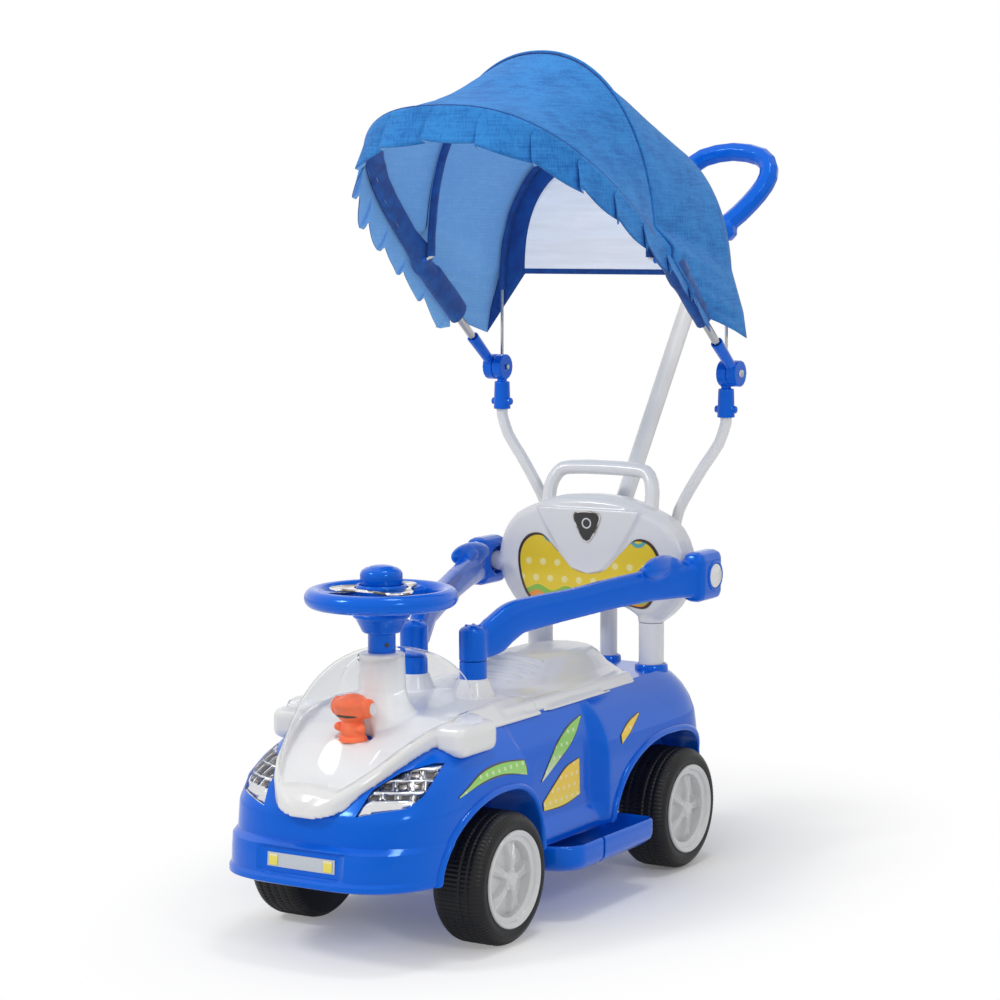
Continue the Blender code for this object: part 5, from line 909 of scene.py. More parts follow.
FRONT_ARCH = (-0.2000, 0.1220, 0.0780, 0.0945, 0.044)
REAR_ARCH = (0.1900, 0.1430, 0.1010, 0.0960, 0.080)
LIP_WIDTH = 0.0085
# The notch in the body's lower edge over the front axle
AXLE_NOTCH = (0.202, 0.0245, 0.034)


def level_at(z):
    """The body's front, rear and half widths at one height, eased between the drawn levels."""
    for low, high in zip(BODY_LEVELS, BODY_LEVELS[1:]):
        if z <= high[0] + 1e-9:
            share = (z - low[0]) / (high[0] - low[0])
            return [a + (b - a) * share for a, b in zip(low[1:], high[1:])]
    return list(BODY_LEVELS[-1][1:])


def half_width_at(y, z, over_fenders, at_panels):
    """How far out the body's side stands at one place along it."""
    edge = FENDER_REAR_Y - FENDER_LEAN * (z - BODY_BOTTOM)
    fender = max(
        1 - smooth_step(0.0, 1.0, (y - edge) / FENDER_STEP),
        smooth_step(0.0, 1.0, (y - REAR_FENDER_Y) / REAR_FENDER_STEP),
    )
    return at_panels + (over_fenders - at_panels) * fender


def body_side(y, z):
    """The body's side x at a drawn y and z, for what is laid on its surface."""
    front, rear, over_fenders, at_panels = level_at(z)
    share = 1.0
    if y < FRONT_SPLIT_Y:
        share = width_left((FRONT_SPLIT_Y - y) / (FRONT_SPLIT_Y - front), FRONT_SQUARE)
    elif y > REAR_SPLIT_Y:
        share = width_left((y - REAR_SPLIT_Y) / (rear - REAR_SPLIT_Y), REAR_SQUARE)
    return share * half_width_at(y, z, over_fenders, at_panels)


def width_left(reached, square):
    """The share of its width that the body has left, so far into its rounded front or rear."""
    cosine = min(1.0, reached) ** (square / 2)
    return max(0.0, 1 - cosine**2) ** (1 / square)


def rounded_end(split, reach, square, steps):
    """(share of the width, y) from the body's middle line to where its side begins."""
    turns = [math.pi / 2 * (k + 0.5) / steps for k in range(steps)]
    return [(math.sin(t) ** (2 / square), split + reach * math.cos(t) ** (2 / square)) for t in turns]


def body_ring(z, inset=0.0, fine=1):
    """One level of the body from the middle of its front round its left side and back on its right."""
    front, rear, over_fenders, at_panels = level_at(z)
    side = rounded_end(FRONT_SPLIT_Y, front + inset - FRONT_SPLIT_Y, FRONT_SQUARE, 22 * fine)
    edge = FENDER_REAR_Y - FENDER_LEAN * (z - BODY_BOTTOM)
    step_end = REAR_FENDER_Y + REAR_FENDER_STEP
    spans = (
        (FRONT_SPLIT_Y, edge - FRONT_SPLIT_Y, 6),
        (edge, FENDER_STEP, 4),
        (edge + FENDER_STEP, REAR_FENDER_Y - (edge + FENDER_STEP), 8),
        (REAR_FENDER_Y, REAR_FENDER_STEP, 7),
        (step_end, REAR_SPLIT_Y - step_end, 9),
    )
    for start, length, steps in spans:
        side += [(1.0, start + length * k / (steps * fine)) for k in range(steps * fine)]
    side.append((1.0, REAR_SPLIT_Y))
    side += reversed(rounded_end(REAR_SPLIT_Y, rear - inset - REAR_SPLIT_Y, REAR_SQUARE, 14 * fine))
    ring = []
    for share, y in side:
        wide = half_width_at(y, z, over_fenders, at_panels) - inset
        ring.append(Vector((share * wide, y, z)))
    return ring + [Vector((-p.x, p.y, p.z)) for p in reversed(ring)]


def bumper_detail(p):
    """The bumper's middle, recessed between its two steps."""
    height = smooth_step(0.0985, 0.1015, p.z) * smooth_step(0.1300, 0.1270, p.z)
    middle = smooth_step(0.056, 0.050, abs(p.x))
    if p.y < -0.33:
        p.y += 0.0046 * height * middle
    return p


def lofted(rings):
    """A closed form over rings of as many points each, capped at both ends."""
    rows = [ring + [ring[0]] for ring in rings]
    return sealed(grid_of(rows), 0.000002, True)


def shifted(bm, along=ALONG):
    bmesh.ops.translate(bm, verts=bm.verts, vec=(0, along, 0))
    return bm


def arch_curve(arch, margin=0.0, steps=48, floor_z=0.030):
    """A wheel arch in side view as (y, z): longer and flatter ahead of its peak than behind it."""
    peak, ahead, behind, rise = arch[:4]
    outline = [(peak + behind + margin, floor_z)]
    rear_half = squared_arch(behind + margin, rise + margin, 2.8, steps)[: steps // 2]
    front_half = squared_arch(ahead + margin, rise + margin, 2.1, steps)[steps // 2 :]
    outline += [(peak + x, WHEEL_RADIUS + z) for x, z in rear_half + front_half]
    outline.append((peak - ahead - margin, floor_z))
    return outline


def arch_block(arch, margin, inner, outer):
    """The room of a wheel well as a closed block, for cutting."""
    rows = [[Vector((x, y, z)) for y, z in arch_curve(arch, margin)] for x in (inner, outer)]
    return lofted(rows)


def cut_by(piece, bm, operation="DIFFERENCE"):
    """The piece with a closed form taken from it."""
    bmesh.ops.recalc_face_normals(bm, faces=bm.faces)
    tool = add_piece("cutter", bm, "blue_plastic", None)
    cutting = piece.modifiers.new("cut", "BOOLEAN")
    cutting.operation = operation
    cutting.object = tool
    cutting.solver = "EXACT"
    apply_modifiers(piece)
    bpy.data.objects.remove(tool)
    return piece


def mirrored_form(bm):
    """The same form on the other side of the car."""
    bmesh.ops.scale(bm, verts=bm.verts, vec=(-1, 1, 1))
    bmesh.ops.reverse_faces(bm, faces=bm.faces)
    return bm


def body_heights():
    heights = []
    for low, high in zip(BODY_LEVELS, BODY_LEVELS[1:]):
        steps = max(2, round((high[0] - low[0]) / 0.0022))
        heights += [low[0] + (high[0] - low[0]) * k / steps for k in range(steps)]
    return heights + [DECK_Z]


def smoothed_levels(rings):
    """Each point drawn towards its neighbours above and below, except at the bumper's ledge and lip."""
    for _ in range(3):
        fresh = [rings[0]]
        for low, ring, high in zip(rings, rings[1:], rings[2:]):
            z = ring[0].z
            share = 0.5 * smooth_step(0.138, 0.150, z)
            fresh.append([p.lerp((a + b) / 2, share) for a, p, b in zip(low, ring, high)])
        rings = fresh + [rings[-1]]
    return rings


# The left headlight's outline, and the way the lamp faces
LAMP_OUTLINE = (
    (0.0560, -0.3700, 0.1640), (0.0660, -0.3525, 0.1920), (0.0865, -0.3290, 0.2100),
    (0.1130, -0.3040, 0.2200), (0.1210, -0.2960, 0.2200), (0.1160, -0.3280, 0.1880),
    (0.1080, -0.3480, 0.1760),
)
LAMP_MIDDLE = sum((Vector(p) for p in LAMP_OUTLINE), Vector()) / len(LAMP_OUTLINE)
LAMP_AIM = Vector((0.50, -0.80, 0.33)).normalized()


def lamp_prism(grow, reaches=(-0.030, 0.040)):
    """The headlight's outline as a block along the lamp's aim."""
    rings = []
    for reach in reaches:
        ring = []
        for corner in LAMP_OUTLINE:
            arm = Vector(corner) - LAMP_MIDDLE
            arm -= arm.dot(LAMP_AIM) * LAMP_AIM
            ring.append(LAMP_MIDDLE + arm * (1 + grow / arm.length) + LAMP_AIM * reach)
        rings.append(ring)
    return lofted(rings)


def build_body():
    rings = [[bumper_detail(p) for p in body_ring(z, fine=2)] for z in body_heights()]
    body = add_piece("body_moulding", lofted(smoothed_levels(rings)), "blue_plastic", None, 32)
    hollow_rings = [body_ring(BODY_BOTTOM, BODY_WALL)]
    for point in hollow_rings[0]:
        point.z = BODY_BOTTOM - 0.010
    for level in BODY_LEVELS[3:]:
        ring = body_ring(level[0], BODY_WALL)
        for point in ring:
            point.z -= BODY_WALL
            if point.y < -0.36 and point.z < 0.134:
                point.y += 0.0050
        hollow_rings.append(ring)
    hollow = add_piece("hollow", lofted(hollow_rings), "blue_plastic", None)
    for arch in (FRONT_ARCH, REAR_ARCH):
        for side in (1, -1):
            liner = arch_block(arch, BODY_WALL, arch[4] - BODY_WALL, 0.170)
            room = arch_block(arch, 0.0, arch[4], 0.180)
            for piece, form in ((hollow, liner), (body, room)):
                cut_by(piece, form if side > 0 else mirrored_form(form))
    inside = bmesh.new()
    inside.from_mesh(hollow.data)
    bpy.data.objects.remove(hollow)
    cut_by(body, inside)
    for window in (lamp_prism(0.0003), mirrored_form(lamp_prism(0.0003))):
        cut_by(body, window)
    recess = rod((0, TOY_Y, TOY_BASE_Z), (0, TOY_Y, TOY_BASE_Z + 0.040), 0.0235, 0.0245, 48)
    cut_by(body, recess)
    for _, x, y, radius in DECK_HOLES:
        ends = [(x, y, height) for height in (DECK_Z - 0.021, DECK_Z + 0.039)]
        cut_by(body, rod(*ends, radius + 0.0003, segments=40))
    cut_by(body, block(AXLE_NOTCH, Matrix.Translation((0, -AXLE_Y, BODY_BOTTOM))))
    body.data.transform(Matrix.Translation((0, ALONG, 0)))
    shade(body, 32)
    round_edges(body, 0.0010, 50, 2)
    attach(body, "base")
    stands_for(body, "body_shell")
    build_arch_lips()
    build_bosses()


def build_arch_lips():
    """A rounded bead round each wheel arch, laid on the fender's surface."""
    for label, arch in (("front", FRONT_ARCH), ("rear", REAR_ARCH)):
        path = [p for p in arch_curve(arch, LIP_WIDTH * 0.42, 72, 0.0885) if p[1] < 0.236]
        path = [p for p in spaced([Vector((y, z, 0)) for y, z in path], 150) if p.y > 0.0885]
        rings = []
        for k, p in enumerate(path):
            ahead = path[min(k + 1, len(path) - 1)]
            back = path[max(k - 1, 0)]
            tangent = (ahead - back).normalized()
            outward = Vector((tangent.y, -tangent.x))
            if outward.y < 0 and p.y > 0.13:
                outward = -outward
            if p.y <= 0.13:
                outward = Vector((math.copysign(1.0, p.x - arch[0]), 0))
            ring = []
            for turn in round_turns(16)[:-1]:
                reach = LIP_WIDTH / 2 * math.cos(turn)
                y = p.x + outward.x * reach
                z = min(max(p.y + outward.y * reach, BODY_BOTTOM + 0.0005), DECK_Z - 0.001)
                proud = 0.0046 * math.sin(turn)
                ring.append(Vector((body_side(y, z) + proud - 0.0004, y, z)))
            rings.append(ring)
        bm = joined_form(lofted(rings), mirrored_form(lofted(rings)))
        bmesh.ops.recalc_face_normals(bm, faces=bm.faces)
        add_piece(label + "_arch_lips", shifted(bm), "blue_plastic", "base", 60)


def ring_form(profile, steps, centre, axis="Z"):
    """A profile of (radius, height) spun once round an axis through the centre."""
    bm = bmesh.new()
    corners_made = [bm.verts.new((radius, 0.0, height)) for radius, height in profile]
    edges = [bm.edges.new(pair) for pair in zip(corners_made, corners_made[1:])]
    bmesh.ops.spin(
        bm,
        geom=corners_made + edges,
        cent=(0, 0, 0),
        axis=(0, 0, 1),
        angle=math.tau,
        steps=steps,
        use_merge=True,
    )
    bmesh.ops.remove_doubles(bm, verts=bm.verts, dist=0.000005)
    turn = {
        "Z": Matrix.Identity(4),
        "X": Matrix.Rotation(math.pi / 2, 4, "Y"),
        "-X": Matrix.Rotation(-math.pi / 2, 4, "Y"),
    }[axis]
    bm.transform(Matrix.Translation(centre) @ turn)
    bmesh.ops.recalc_face_normals(bm, faces=bm.faces)
    return bm


# The rear deck's holes: what stands in each, its place and its radius
DECK_HOLES = (
    ("left_post", 0.0810, 0.2460, 0.0160),
    ("right_post", -0.0810, 0.2460, 0.0160),
    ("push_tube", 0.0, 0.2810, 0.0110),
)


def build_bosses():
    """Rims round the holes of the rear deck that the backrest's posts and the push tube stand in."""
    for label, x, y, radius in DECK_HOLES:
        profile = (
            (radius + 0.0005, DECK_Z - 0.020), (radius + 0.0005, DECK_Z + 0.0048),
            (radius + 0.0014, DECK_Z + 0.0060), (radius + 0.0034, DECK_Z + 0.0056),
            (radius + 0.0046, DECK_Z + 0.0038), (radius + 0.0052, DECK_Z - 0.0030),
            (radius + 0.0050, DECK_Z - 0.020), (radius + 0.0005, DECK_Z - 0.020),
        )
        rim = ring_form(profile, 48, (x, y + ALONG, 0))
        add_piece(label + "_socket_rim", rim, "blue_plastic", "base", 45)


def moulded(node, voxel=0.0014, rounds=4, grow=0.0, extra=()):
    """A blow-moulded piece: the CAD form, with any further closed forms, melted together with soft edges."""
    bm = merged_copy(node)
    for form in extra:
        joined_form(bm, form)
    piece = add_piece(node + "_moulding", bm, SLOT_OF[node], BODY_OF[node], 60)
    melt(piece, voxel, rounds, grow)
    return stands_for(piece, node)


def joined_form(bm, form):
    """Adds one bmesh to another."""
    mesh = bpy.data.meshes.new("joined")
    form.to_mesh(mesh)
    form.free()
    bm.from_mesh(mesh)
    bpy.data.meshes.remove(mesh)
    return bm


def melt(piece, voxel, rounds, grow=0.0):
    """Overlapping closed forms become one skin with eased edges, which may stand out a little."""
    skin = piece.modifiers.new("one skin", "REMESH")
    skin.mode = "VOXEL"
    skin.voxel_size = voxel
    skin.use_smooth_shade = True
    ease = piece.modifiers.new("eased edges", "SMOOTH")
    ease.factor = 0.5
    ease.iterations = rounds
    if grow:
        fuller = piece.modifiers.new("fuller skin", "DISPLACE")
        fuller.strength = grow
        fuller.mid_level = 0.0
    material = piece.data.materials[0]
    apply_modifiers(piece)
    piece.data.materials.clear()
    piece.data.materials.append(material)
    piece.data.shade_smooth()


def ball(centre, size):
    """A sphere drawn out along the axes."""
    bm = bmesh.new()
    place = Matrix.Translation(centre) @ Matrix.Diagonal((*size, 1.0))
    bmesh.ops.create_uvsphere(bm, u_segments=40, v_segments=24, radius=1.0, matrix=place)
    return bm


def rod(start, end, radius, end_radius=None, segments=36):
    """A round bar or cone between two points."""
    start, end = Vector(start), Vector(end)
    bm = bmesh.new()
    turn = (end - start).to_track_quat("Z", "Y").to_matrix().to_4x4()
    bmesh.ops.create_cone(
        bm,
        cap_ends=True,
        segments=segments,
        radius1=radius,
        radius2=radius if end_radius is None else end_radius,
        depth=(end - start).length,
        matrix=Matrix.Translation((start + end) / 2) @ turn,
    )
    return bm


def block(size, matrix):
    """A box of the given size, placed and turned by a matrix."""
    bm = bmesh.new()
    bmesh.ops.create_cube(bm, size=1.0, matrix=matrix @ Matrix.Diagonal((*size, 1.0)))
    return bm


# Wheel sizes, as in the solids
TYRE_WIDTH = 0.064
TYRE_CENTRE_X = 0.124
TYRE_BORE = 0.0435
SHOULDER_RADIUS = 0.0615
SIDEWALL_SINK = 0.006
HUBCAP_RADIUS = 0.0546
AXLE_RADIUS = 0.004
AXLE_Y = 0.2085
SPOKES = 5


def sidewall_height(radius):
    """How far out the tyre's sunk sidewall stands at a radius."""
    share = (SHOULDER_RADIUS - radius) / (SHOULDER_RADIUS - TYRE_BORE)
    return TYRE_WIDTH / 2 - SIDEWALL_SINK * share


def tyre_form():
    """Blow-moulded tyre: fine ribs across the tread, grooves round it, and a smooth rounded shoulder."""
    half = TYRE_WIDTH / 2
    r = WHEEL_RADIUS
    section = [
        (TYRE_BORE, -half + 0.0110, 0), (TYRE_BORE, sidewall_height(TYRE_BORE), 0),
        (0.0500, sidewall_height(0.0500) + 0.0004, 0), (0.0560, sidewall_height(0.0560) + 0.0009, 0),
        (0.0600, half - 0.0006, 0), (0.0628, half - 0.0001, 0.10), (0.0655, half - 0.0007, 0.25),
        (0.0680, half - 0.0018, 0.5), (0.0702, half - 0.0034, 0.8), (0.0722, half - 0.0058, 1.0),
        (0.0736, half - 0.0088, 1.0), (0.0745, half - 0.0120, 1.0),
    ]
    walls = 26
    for k in range(walls + 1):
        height = half - 0.0138 - (TYRE_WIDTH - 0.0268) * k / walls
        groove = 0.0
        for place, deep in ((0.0155, 0.0011), (0.0055, 0.0016), (-0.0055, 0.0011), (-0.0160, 0.0011)):
            groove += deep * math.exp(-(((height - place) / 0.0012) ** 2))
        section.append((r - 0.0002 - groove, height, 1.0))
    section += [
        (0.0735, -half + 0.0080, 1.0), (0.0705, -half + 0.0035, 0.6), (0.0670, -half, 0.0),
        (0.0300, -half + 0.0010, 0.0), (AXLE_RADIUS + 0.0008, -half + 0.0020, 0.0),
        (AXLE_RADIUS + 0.0008, -half + 0.0110, 0.0), (TYRE_BORE, -half + 0.0110, 0),
    ]
    ribs = 92
    rows = []
    for k, turn in enumerate(round_turns(ribs * 5)):
        phase = (k % 5) / 5
        rib = 0.5 - 0.5 * math.cos(math.tau * phase)
        lump = 0.00025 * noise.noise(Vector((math.cos(turn) * 3, math.sin(turn) * 3, 0)))
        row = []
        for radius, height, ribbed in section:
            reach = radius + (0.0011 * (rib - 1) + lump) * ribbed
            row.append(turned(reach, turn, height))
        rows.append(row)
    return sealed(grid_of(rows), 0.000003)


def bump_shape(value, half_width, soft):
    """1 inside a half width, falling to 0 over a soft edge."""
    return 1 - smooth_step(half_width - soft, half_width + soft, abs(value))


def hubcap_height(radius, turn):
    """The hubcap's face: a dish with five flaring double-ridged spokes and a lobed boss."""
    face = TYRE_WIDTH / 2 + 0.002
    dish = face - 0.0150 - 0.0035 * smooth_step(0.015, 0.045, radius)
    dish += 0.0172 * smooth_step(0.0440, 0.0500, radius)
    spoke = math.tau / SPOKES
    off = (turn + spoke / 2) % spoke - spoke / 2
    across = radius * math.sin(off)
    flare = 0.0042 + 0.0046 * smooth_step(0.012, 0.046, radius)
    body = bump_shape(across, flare, 0.0011)
    ridge = bump_shape(abs(across) - flare * 0.72, 0.0012, 0.0011)
    rise = 0.0062 - 0.0018 * smooth_step(0.015, 0.045, radius)
    height = dish + body * rise * smooth_step(0.0500, 0.0455, radius)
    height += ridge * 0.0026 * smooth_step(0.0495, 0.0440, radius) * smooth_step(0.011, 0.017, radius)
    lobe = 0.0128 + 0.0016 * math.cos(SPOKES * turn)
    boss = smooth_step(lobe + 0.0016, lobe - 0.0014, radius)
    height = height * (1 - boss) + (face - 0.0052) * boss
    cap = smooth_step(0.0088, 0.0072, radius)
    height += cap * 0.0022 - 0.0012 * bump_shape(radius - 0.0096, 0.0006, 0.0006)
    return height


def hubcap_form():
    face = TYRE_WIDTH / 2 + 0.002
    radii = [0.0004] + [0.0512 * k / 66 for k in range(1, 67)]
    rows = []
    for turn in round_turns(240):
        row = [(radius, hubcap_height(radius, turn)) for radius in radii]
        row += [
            (0.0516, face - 0.0004), (0.0524, face), (0.0534, face - 0.0002), (0.0541, face - 0.0010),
            (HUBCAP_RADIUS, face - 0.0022), (HUBCAP_RADIUS, sidewall_height(HUBCAP_RADIUS) + 0.0011),
            (0.0500, sidewall_height(0.0500) + 0.0009), (0.0426, sidewall_height(TYRE_BORE) + 0.0007),
            (0.0426, -TYRE_WIDTH / 2 + 0.0113), (AXLE_RADIUS + 0.0008, -TYRE_WIDTH / 2 + 0.0113),
            (AXLE_RADIUS + 0.0008, TYRE_WIDTH / 2 - 0.0240), (0.0004, TYRE_WIDTH / 2 - 0.0240),
        ]
        rows.append([turned(radius, turn, height) for radius, height in row])
    return sealed(grid_of(rows), 0.000003, True)


def build_wheels():
    for label, side, y, spin in (
        ("front_left", 1, -AXLE_Y, 0.42),
        ("front_right", -1, -AXLE_Y, 0.9),
        ("rear_left", 1, AXLE_Y, 0.30),
        ("rear_right", -1, AXLE_Y, 0.1),
    ):
        place = Matrix.Translation((side * TYRE_CENTRE_X, y + ALONG, WHEEL_RADIUS))
        place = place @ Matrix.Rotation(side * math.pi / 2, 4, "Y")
        tyre = tyre_form()
        tyre.transform(place)
        wheel = "wheel_" + label
        piece = add_piece("ribbed_tyre_" + label, tyre, "black_tyre", wheel, 50)
        stands_for(piece, "tyre_" + label)
        cap = hubcap_form()
        cap.transform(place @ Matrix.Rotation(spin, 4, "Z"))
        slot = SLOT_OF["hubcap_" + label]
        piece = add_piece("spoked_hubcap_" + label, cap, "hubcap", wheel, 50, slot)
        stands_for(piece, "hubcap_" + label)


# Steering wheel sizes, as in the solids, but with a rim 0.7 mm thicker
STEERING_Y = -0.236
RIM_Z = 0.382
RIM_RADIUS = 0.0755
RIM_TUBE = 0.0105
HUB_TOP = 0.3965
HORN_RADIUS = 0.0238
HORN_TOP = 0.4180
COLUMN_Z = 0.3198
STEERING_PLACE = Vector((0, STEERING_Y + ALONG, 0))


def build_steering_wheel():
    """A thick rim, three spokes that flare into it and a hub with a well for the horn button."""
    rows = []
    for turn in round_turns(144):
        row = []
        for side in round_turns(24):
            reach = RIM_RADIUS + RIM_TUBE * math.cos(side)
            height = RIM_Z + RIM_TUBE * 1.02 * math.sin(side)
            row.append(turned(reach, turn, height) + STEERING_PLACE)
        rows.append(row)
    wheel = sealed(grid_of(rows))
    for k in range(3):
        turn = math.radians(90 + 120 * k)
        rings = []
        for share in shares(14):
            reach = 0.018 + (RIM_RADIUS - 0.018) * share
            wide = 0.0115 + 0.0090 * share**3
            top = RIM_Z + 0.0078 - 0.0026 * math.sin(math.pi * share)
            low = RIM_Z - 0.0066
            ring = []
            for side in round_turns(20)[:-1]:
                across = squared(math.cos(side), 0.6) * wide
                rise = squared(math.sin(side), 0.6)
                height = (top + low) / 2 + rise * (top - low) / 2
                point = Matrix.Rotation(turn, 3, "Z") @ Vector((reach, across, 0))
                ring.append(point + Vector((0, 0, height)) + STEERING_PLACE)
            rings.append(ring)
        joined_form(wheel, lofted(rings))
    hub = (
        (0.0, RIM_Z - 0.0160), (0.0285, RIM_Z - 0.0160), (0.0300, RIM_Z - 0.0145), (0.0302, RIM_Z),
        (0.0286, HUB_TOP - 0.0012), (0.0274, HUB_TOP), (0.0252, HUB_TOP),
        (HORN_RADIUS + 0.0014, HUB_TOP - 0.0008), (HORN_RADIUS + 0.0014, HUB_TOP - 0.0090),
        (0.0, HUB_TOP - 0.0090),
    )
    joined_form(wheel, ring_form(hub, 96, STEERING_PLACE))
    piece = add_piece("steering_wheel_moulding", wheel, "blue_plastic", "steering", 60)
    melt(piece, 0.0011, 4)
    stands_for(piece, "steering_wheel")


def build_trim_and_horn():
    """A chromed three-pointed plate round the hub, and the puck-shaped button with its ring."""
    low = RIM_Z + 0.0083
    top = low + 0.0028
    rows = [[] for _ in range(7)]
    for turn in round_turns(180):
        point = 0.5 + 0.5 * math.cos(3 * (turn - math.pi / 2))
        outer = 0.0337 + 0.0245 * point**1.6
        dip = 0.0006 * math.cos(9 * turn)
        middle = ((0.0303 + outer) / 2, top - 0.0008 + dip * 0.3)
        line = ((0.0303, low), (0.0303, top), middle, (outer - 0.0018, top))
        line += ((outer - 0.0004, top - 0.0006), (outer, top - 0.0014), (outer, low))
        for row, (reach, height) in zip(rows, line):
            row.append(turned(reach, turn, height) + STEERING_PLACE)
    bm = sealed(grid_of(rows + [rows[0]]))
    trim = add_piece("chromed_trim_plate", bm, "chrome", "steering", 40)
    stands_for(trim, "wheel_trim")
    base = HUB_TOP - 0.0026
    profile = (
        (0.0, base), (HORN_RADIUS - 0.0004, base), (HORN_RADIUS, base + 0.0006), (HORN_RADIUS, 0.4072),
        (HORN_RADIUS - 0.0006, 0.4098), (HORN_RADIUS - 0.0022, 0.4122), (HORN_RADIUS - 0.0046, 0.4138),
        (0.0178, 0.4145), (0.0172, 0.4139), (0.0165, 0.4145), (0.0130, 0.4164), (0.0080, 0.4175),
        (0.0030, HORN_TOP - 0.0001), (0.0, HORN_TOP),
    )
    form = ring_form(profile, 72, STEERING_PLACE)
    stands_for(add_piece("horn_puck", form, "blue_plastic", "horn", 34), "horn_button")


def build_column():
    """The column's neck and the cone under the wheel, with its rounded lip and a fixing screw."""
    profile = (
        (0.0050, COLUMN_Z), (0.0149, COLUMN_Z), (0.0155, COLUMN_Z + 0.0006), (0.0155, 0.3408),
        (0.0163, 0.3420), (0.0205, 0.3426), (0.0222, 0.3440), (0.0240, 0.3480), (0.0290, 0.3578),
        (0.0302, 0.3592), (0.0318, 0.3600), (0.0322, 0.3616), (0.0318, 0.3634), (0.0308, 0.3646),
        (0.0290, 0.3657), (0.0050, 0.3657), (0.0050, COLUMN_Z),
    )
    form = ring_form(profile, 72, STEERING_PLACE)
    piece = add_piece("steering_column_cone", form, "blue_plastic", "steering", 34)
    stands_for(piece, "steering_column")
    turn = math.radians(-35)
    side = Vector((math.cos(turn), math.sin(turn), 0))
    seat = STEERING_PLACE + side * 0.0150 + Vector((0, 0, 0.3300))
    screw = rod(seat, seat + side * 0.0012, 0.0026)
    bmesh.ops.bevel(
        screw,
        geom=screw.edges[:],
        offset=0.0003,
        offset_type="OFFSET",
        affect="EDGES",
        segments=2,
        profile=0.5,
        material=-1,
    )
    add_piece("column_screw", screw, "black_plastic", "steering", 40)


# Back sizes, as in the solids
BACK_Y = 0.2460
BACK_FRONT = BACK_Y - 0.018
# The picture's left half on the backrest as (x, z)
PICTURE_HALF = (
    (0.0000, 0.3560), (0.0250, 0.3620), (0.0480, 0.3850), (0.0680, 0.4030), (0.0880, 0.4010),
    (0.1010, 0.3850), (0.1030, 0.3620), (0.0960, 0.3340), (0.0820, 0.3170), (0.0560, 0.3190),
    (0.0260, 0.3230), (0.0000, 0.3240),
)
# The badge's left half about its middle, its height on the back, and how far the V panel stands out
BADGE_HALF = (
    (0.0, -0.0190), (0.0075, -0.0120), (0.0150, 0.0020), (0.0175, 0.0115), (0.0130, 0.0160),
    (0.0, 0.0172),
)
BADGE_Z = 0.4170
V_PANEL_PROUD = 0.0030


def smooth_span(points, steps):
    """Points from the second to the third of four, on a smooth curve through them."""
    a, b, c, d = (Vector(point) for point in points)
    span = []
    for j in range(steps):
        t = j / steps
        bend = (2 * a - 5 * b + 4 * c - d) * t * t + (3 * b - a - 3 * c + d) * t**3
        span.append(0.5 * (2 * b + (c - a) * t + bend))
    return span


def rounded_outline(points, steps=6):
    """A closed smooth line through the points."""
    count = len(points)
    line = []
    for k in range(count):
        line += smooth_span([points[(k + j) % count] for j in (-1, 0, 1, 2)], steps)
    return line


def flat_label(name, outline, finish, place, thick):
    """A thin printed label on the base: its outline filled, and set by a function of (u, v, height)."""
    bm = bmesh.new()
    ring = [bm.verts.new((p[0], p[1], 0.0)) for p in outline]
    bm.faces.new(ring)
    bmesh.ops.triangulate(bm, faces=bm.faces)
    grown = bmesh.ops.extrude_face_region(bm, geom=bm.faces[:])
    raised = [v for v in grown["geom"] if isinstance(v, bmesh.types.BMVert)]
    bmesh.ops.translate(bm, verts=raised, vec=(0, 0, thick))
    for vert in bm.verts:
        vert.co = place(*vert.co)
    bmesh.ops.recalc_face_normals(bm, faces=bm.faces)
    return add_piece(name, bm, finish, "base", 30, "white_plastic")


def build_backrest_labels():
    """A plain picture of dots and waves with a dark border, and a dark badge with a pale ring."""
    half = list(PICTURE_HALF)
    outline = rounded_outline(half + [(-x, z) for x, z in reversed(half[1:-1])])
    centre_z = sum(p.y for p in outline) / len(outline)

    def on_back(u, v, height):
        return Vector((u, BACK_FRONT + ALONG + 0.0006 - height, v))

    def drawn_in(share_x, share_z):
        return [Vector((p.x * share_x, centre_z + (p.y - centre_z) * share_z)) for p in outline]

    flat_label("picture_border", drawn_in(1.0, 1.0), "dark_print", on_back, 0.0012)
    flat_label("backrest_picture", drawn_in(0.965, 0.935), "back_print", on_back, 0.0016)
    right = [(-x, z) for x, z in reversed(BADGE_HALF[1:-1])]
    shape = rounded_outline(list(BADGE_HALF) + right, 6)
    face = BACK_FRONT + ALONG - V_PANEL_PROUD - 0.0006

    def on_panel(u, v, height):
        return Vector((u, face - height, BADGE_Z + v))

    flat_label("badge_rim", [p * 1.10 for p in shape], "chrome", on_panel, 0.0011)
    flat_label("badge_face", shape, "badge_print", on_panel, 0.0016)


def build_backrest():
    """The backrest's shell with its loop, melted into one soft moulding."""
    moulded("backrest", 0.0015, 5)
    build_backrest_labels()
    for node in ("back_post_left", "back_post_right"):
        dressed(node, edge=0.0008)


# Guard arm sizes, as in the solids
POST_X = 0.0406
POST_Y = -0.110
POST_RADIUS = 0.0165
POST_TOP_Z = 0.3345
BUTTON_Y = 0.2430
BUTTON_Z = 0.3630
# The arm's own path from its root to its clamp, and its half widths and half heights on the way
ARM_PATH = (
    (0.0430, -0.1020, 0.3130), (0.0510, -0.0820, 0.3220), (0.0600, -0.0560, 0.3380),
    (0.0720, -0.0200, 0.3440), (0.0900, 0.0320, 0.3480), (0.1120, 0.0960, 0.3550),
    (0.1310, 0.1500, 0.3590), (0.1500, 0.2030, 0.3600),
)
ARM_HALVES = (
    (0.0110, 0.0170), (0.0110, 0.0225), (0.0108, 0.0210), (0.0100, 0.0190), (0.0096, 0.0182),
    (0.0096, 0.0184), (0.0100, 0.0190), (0.0110, 0.0200),
)


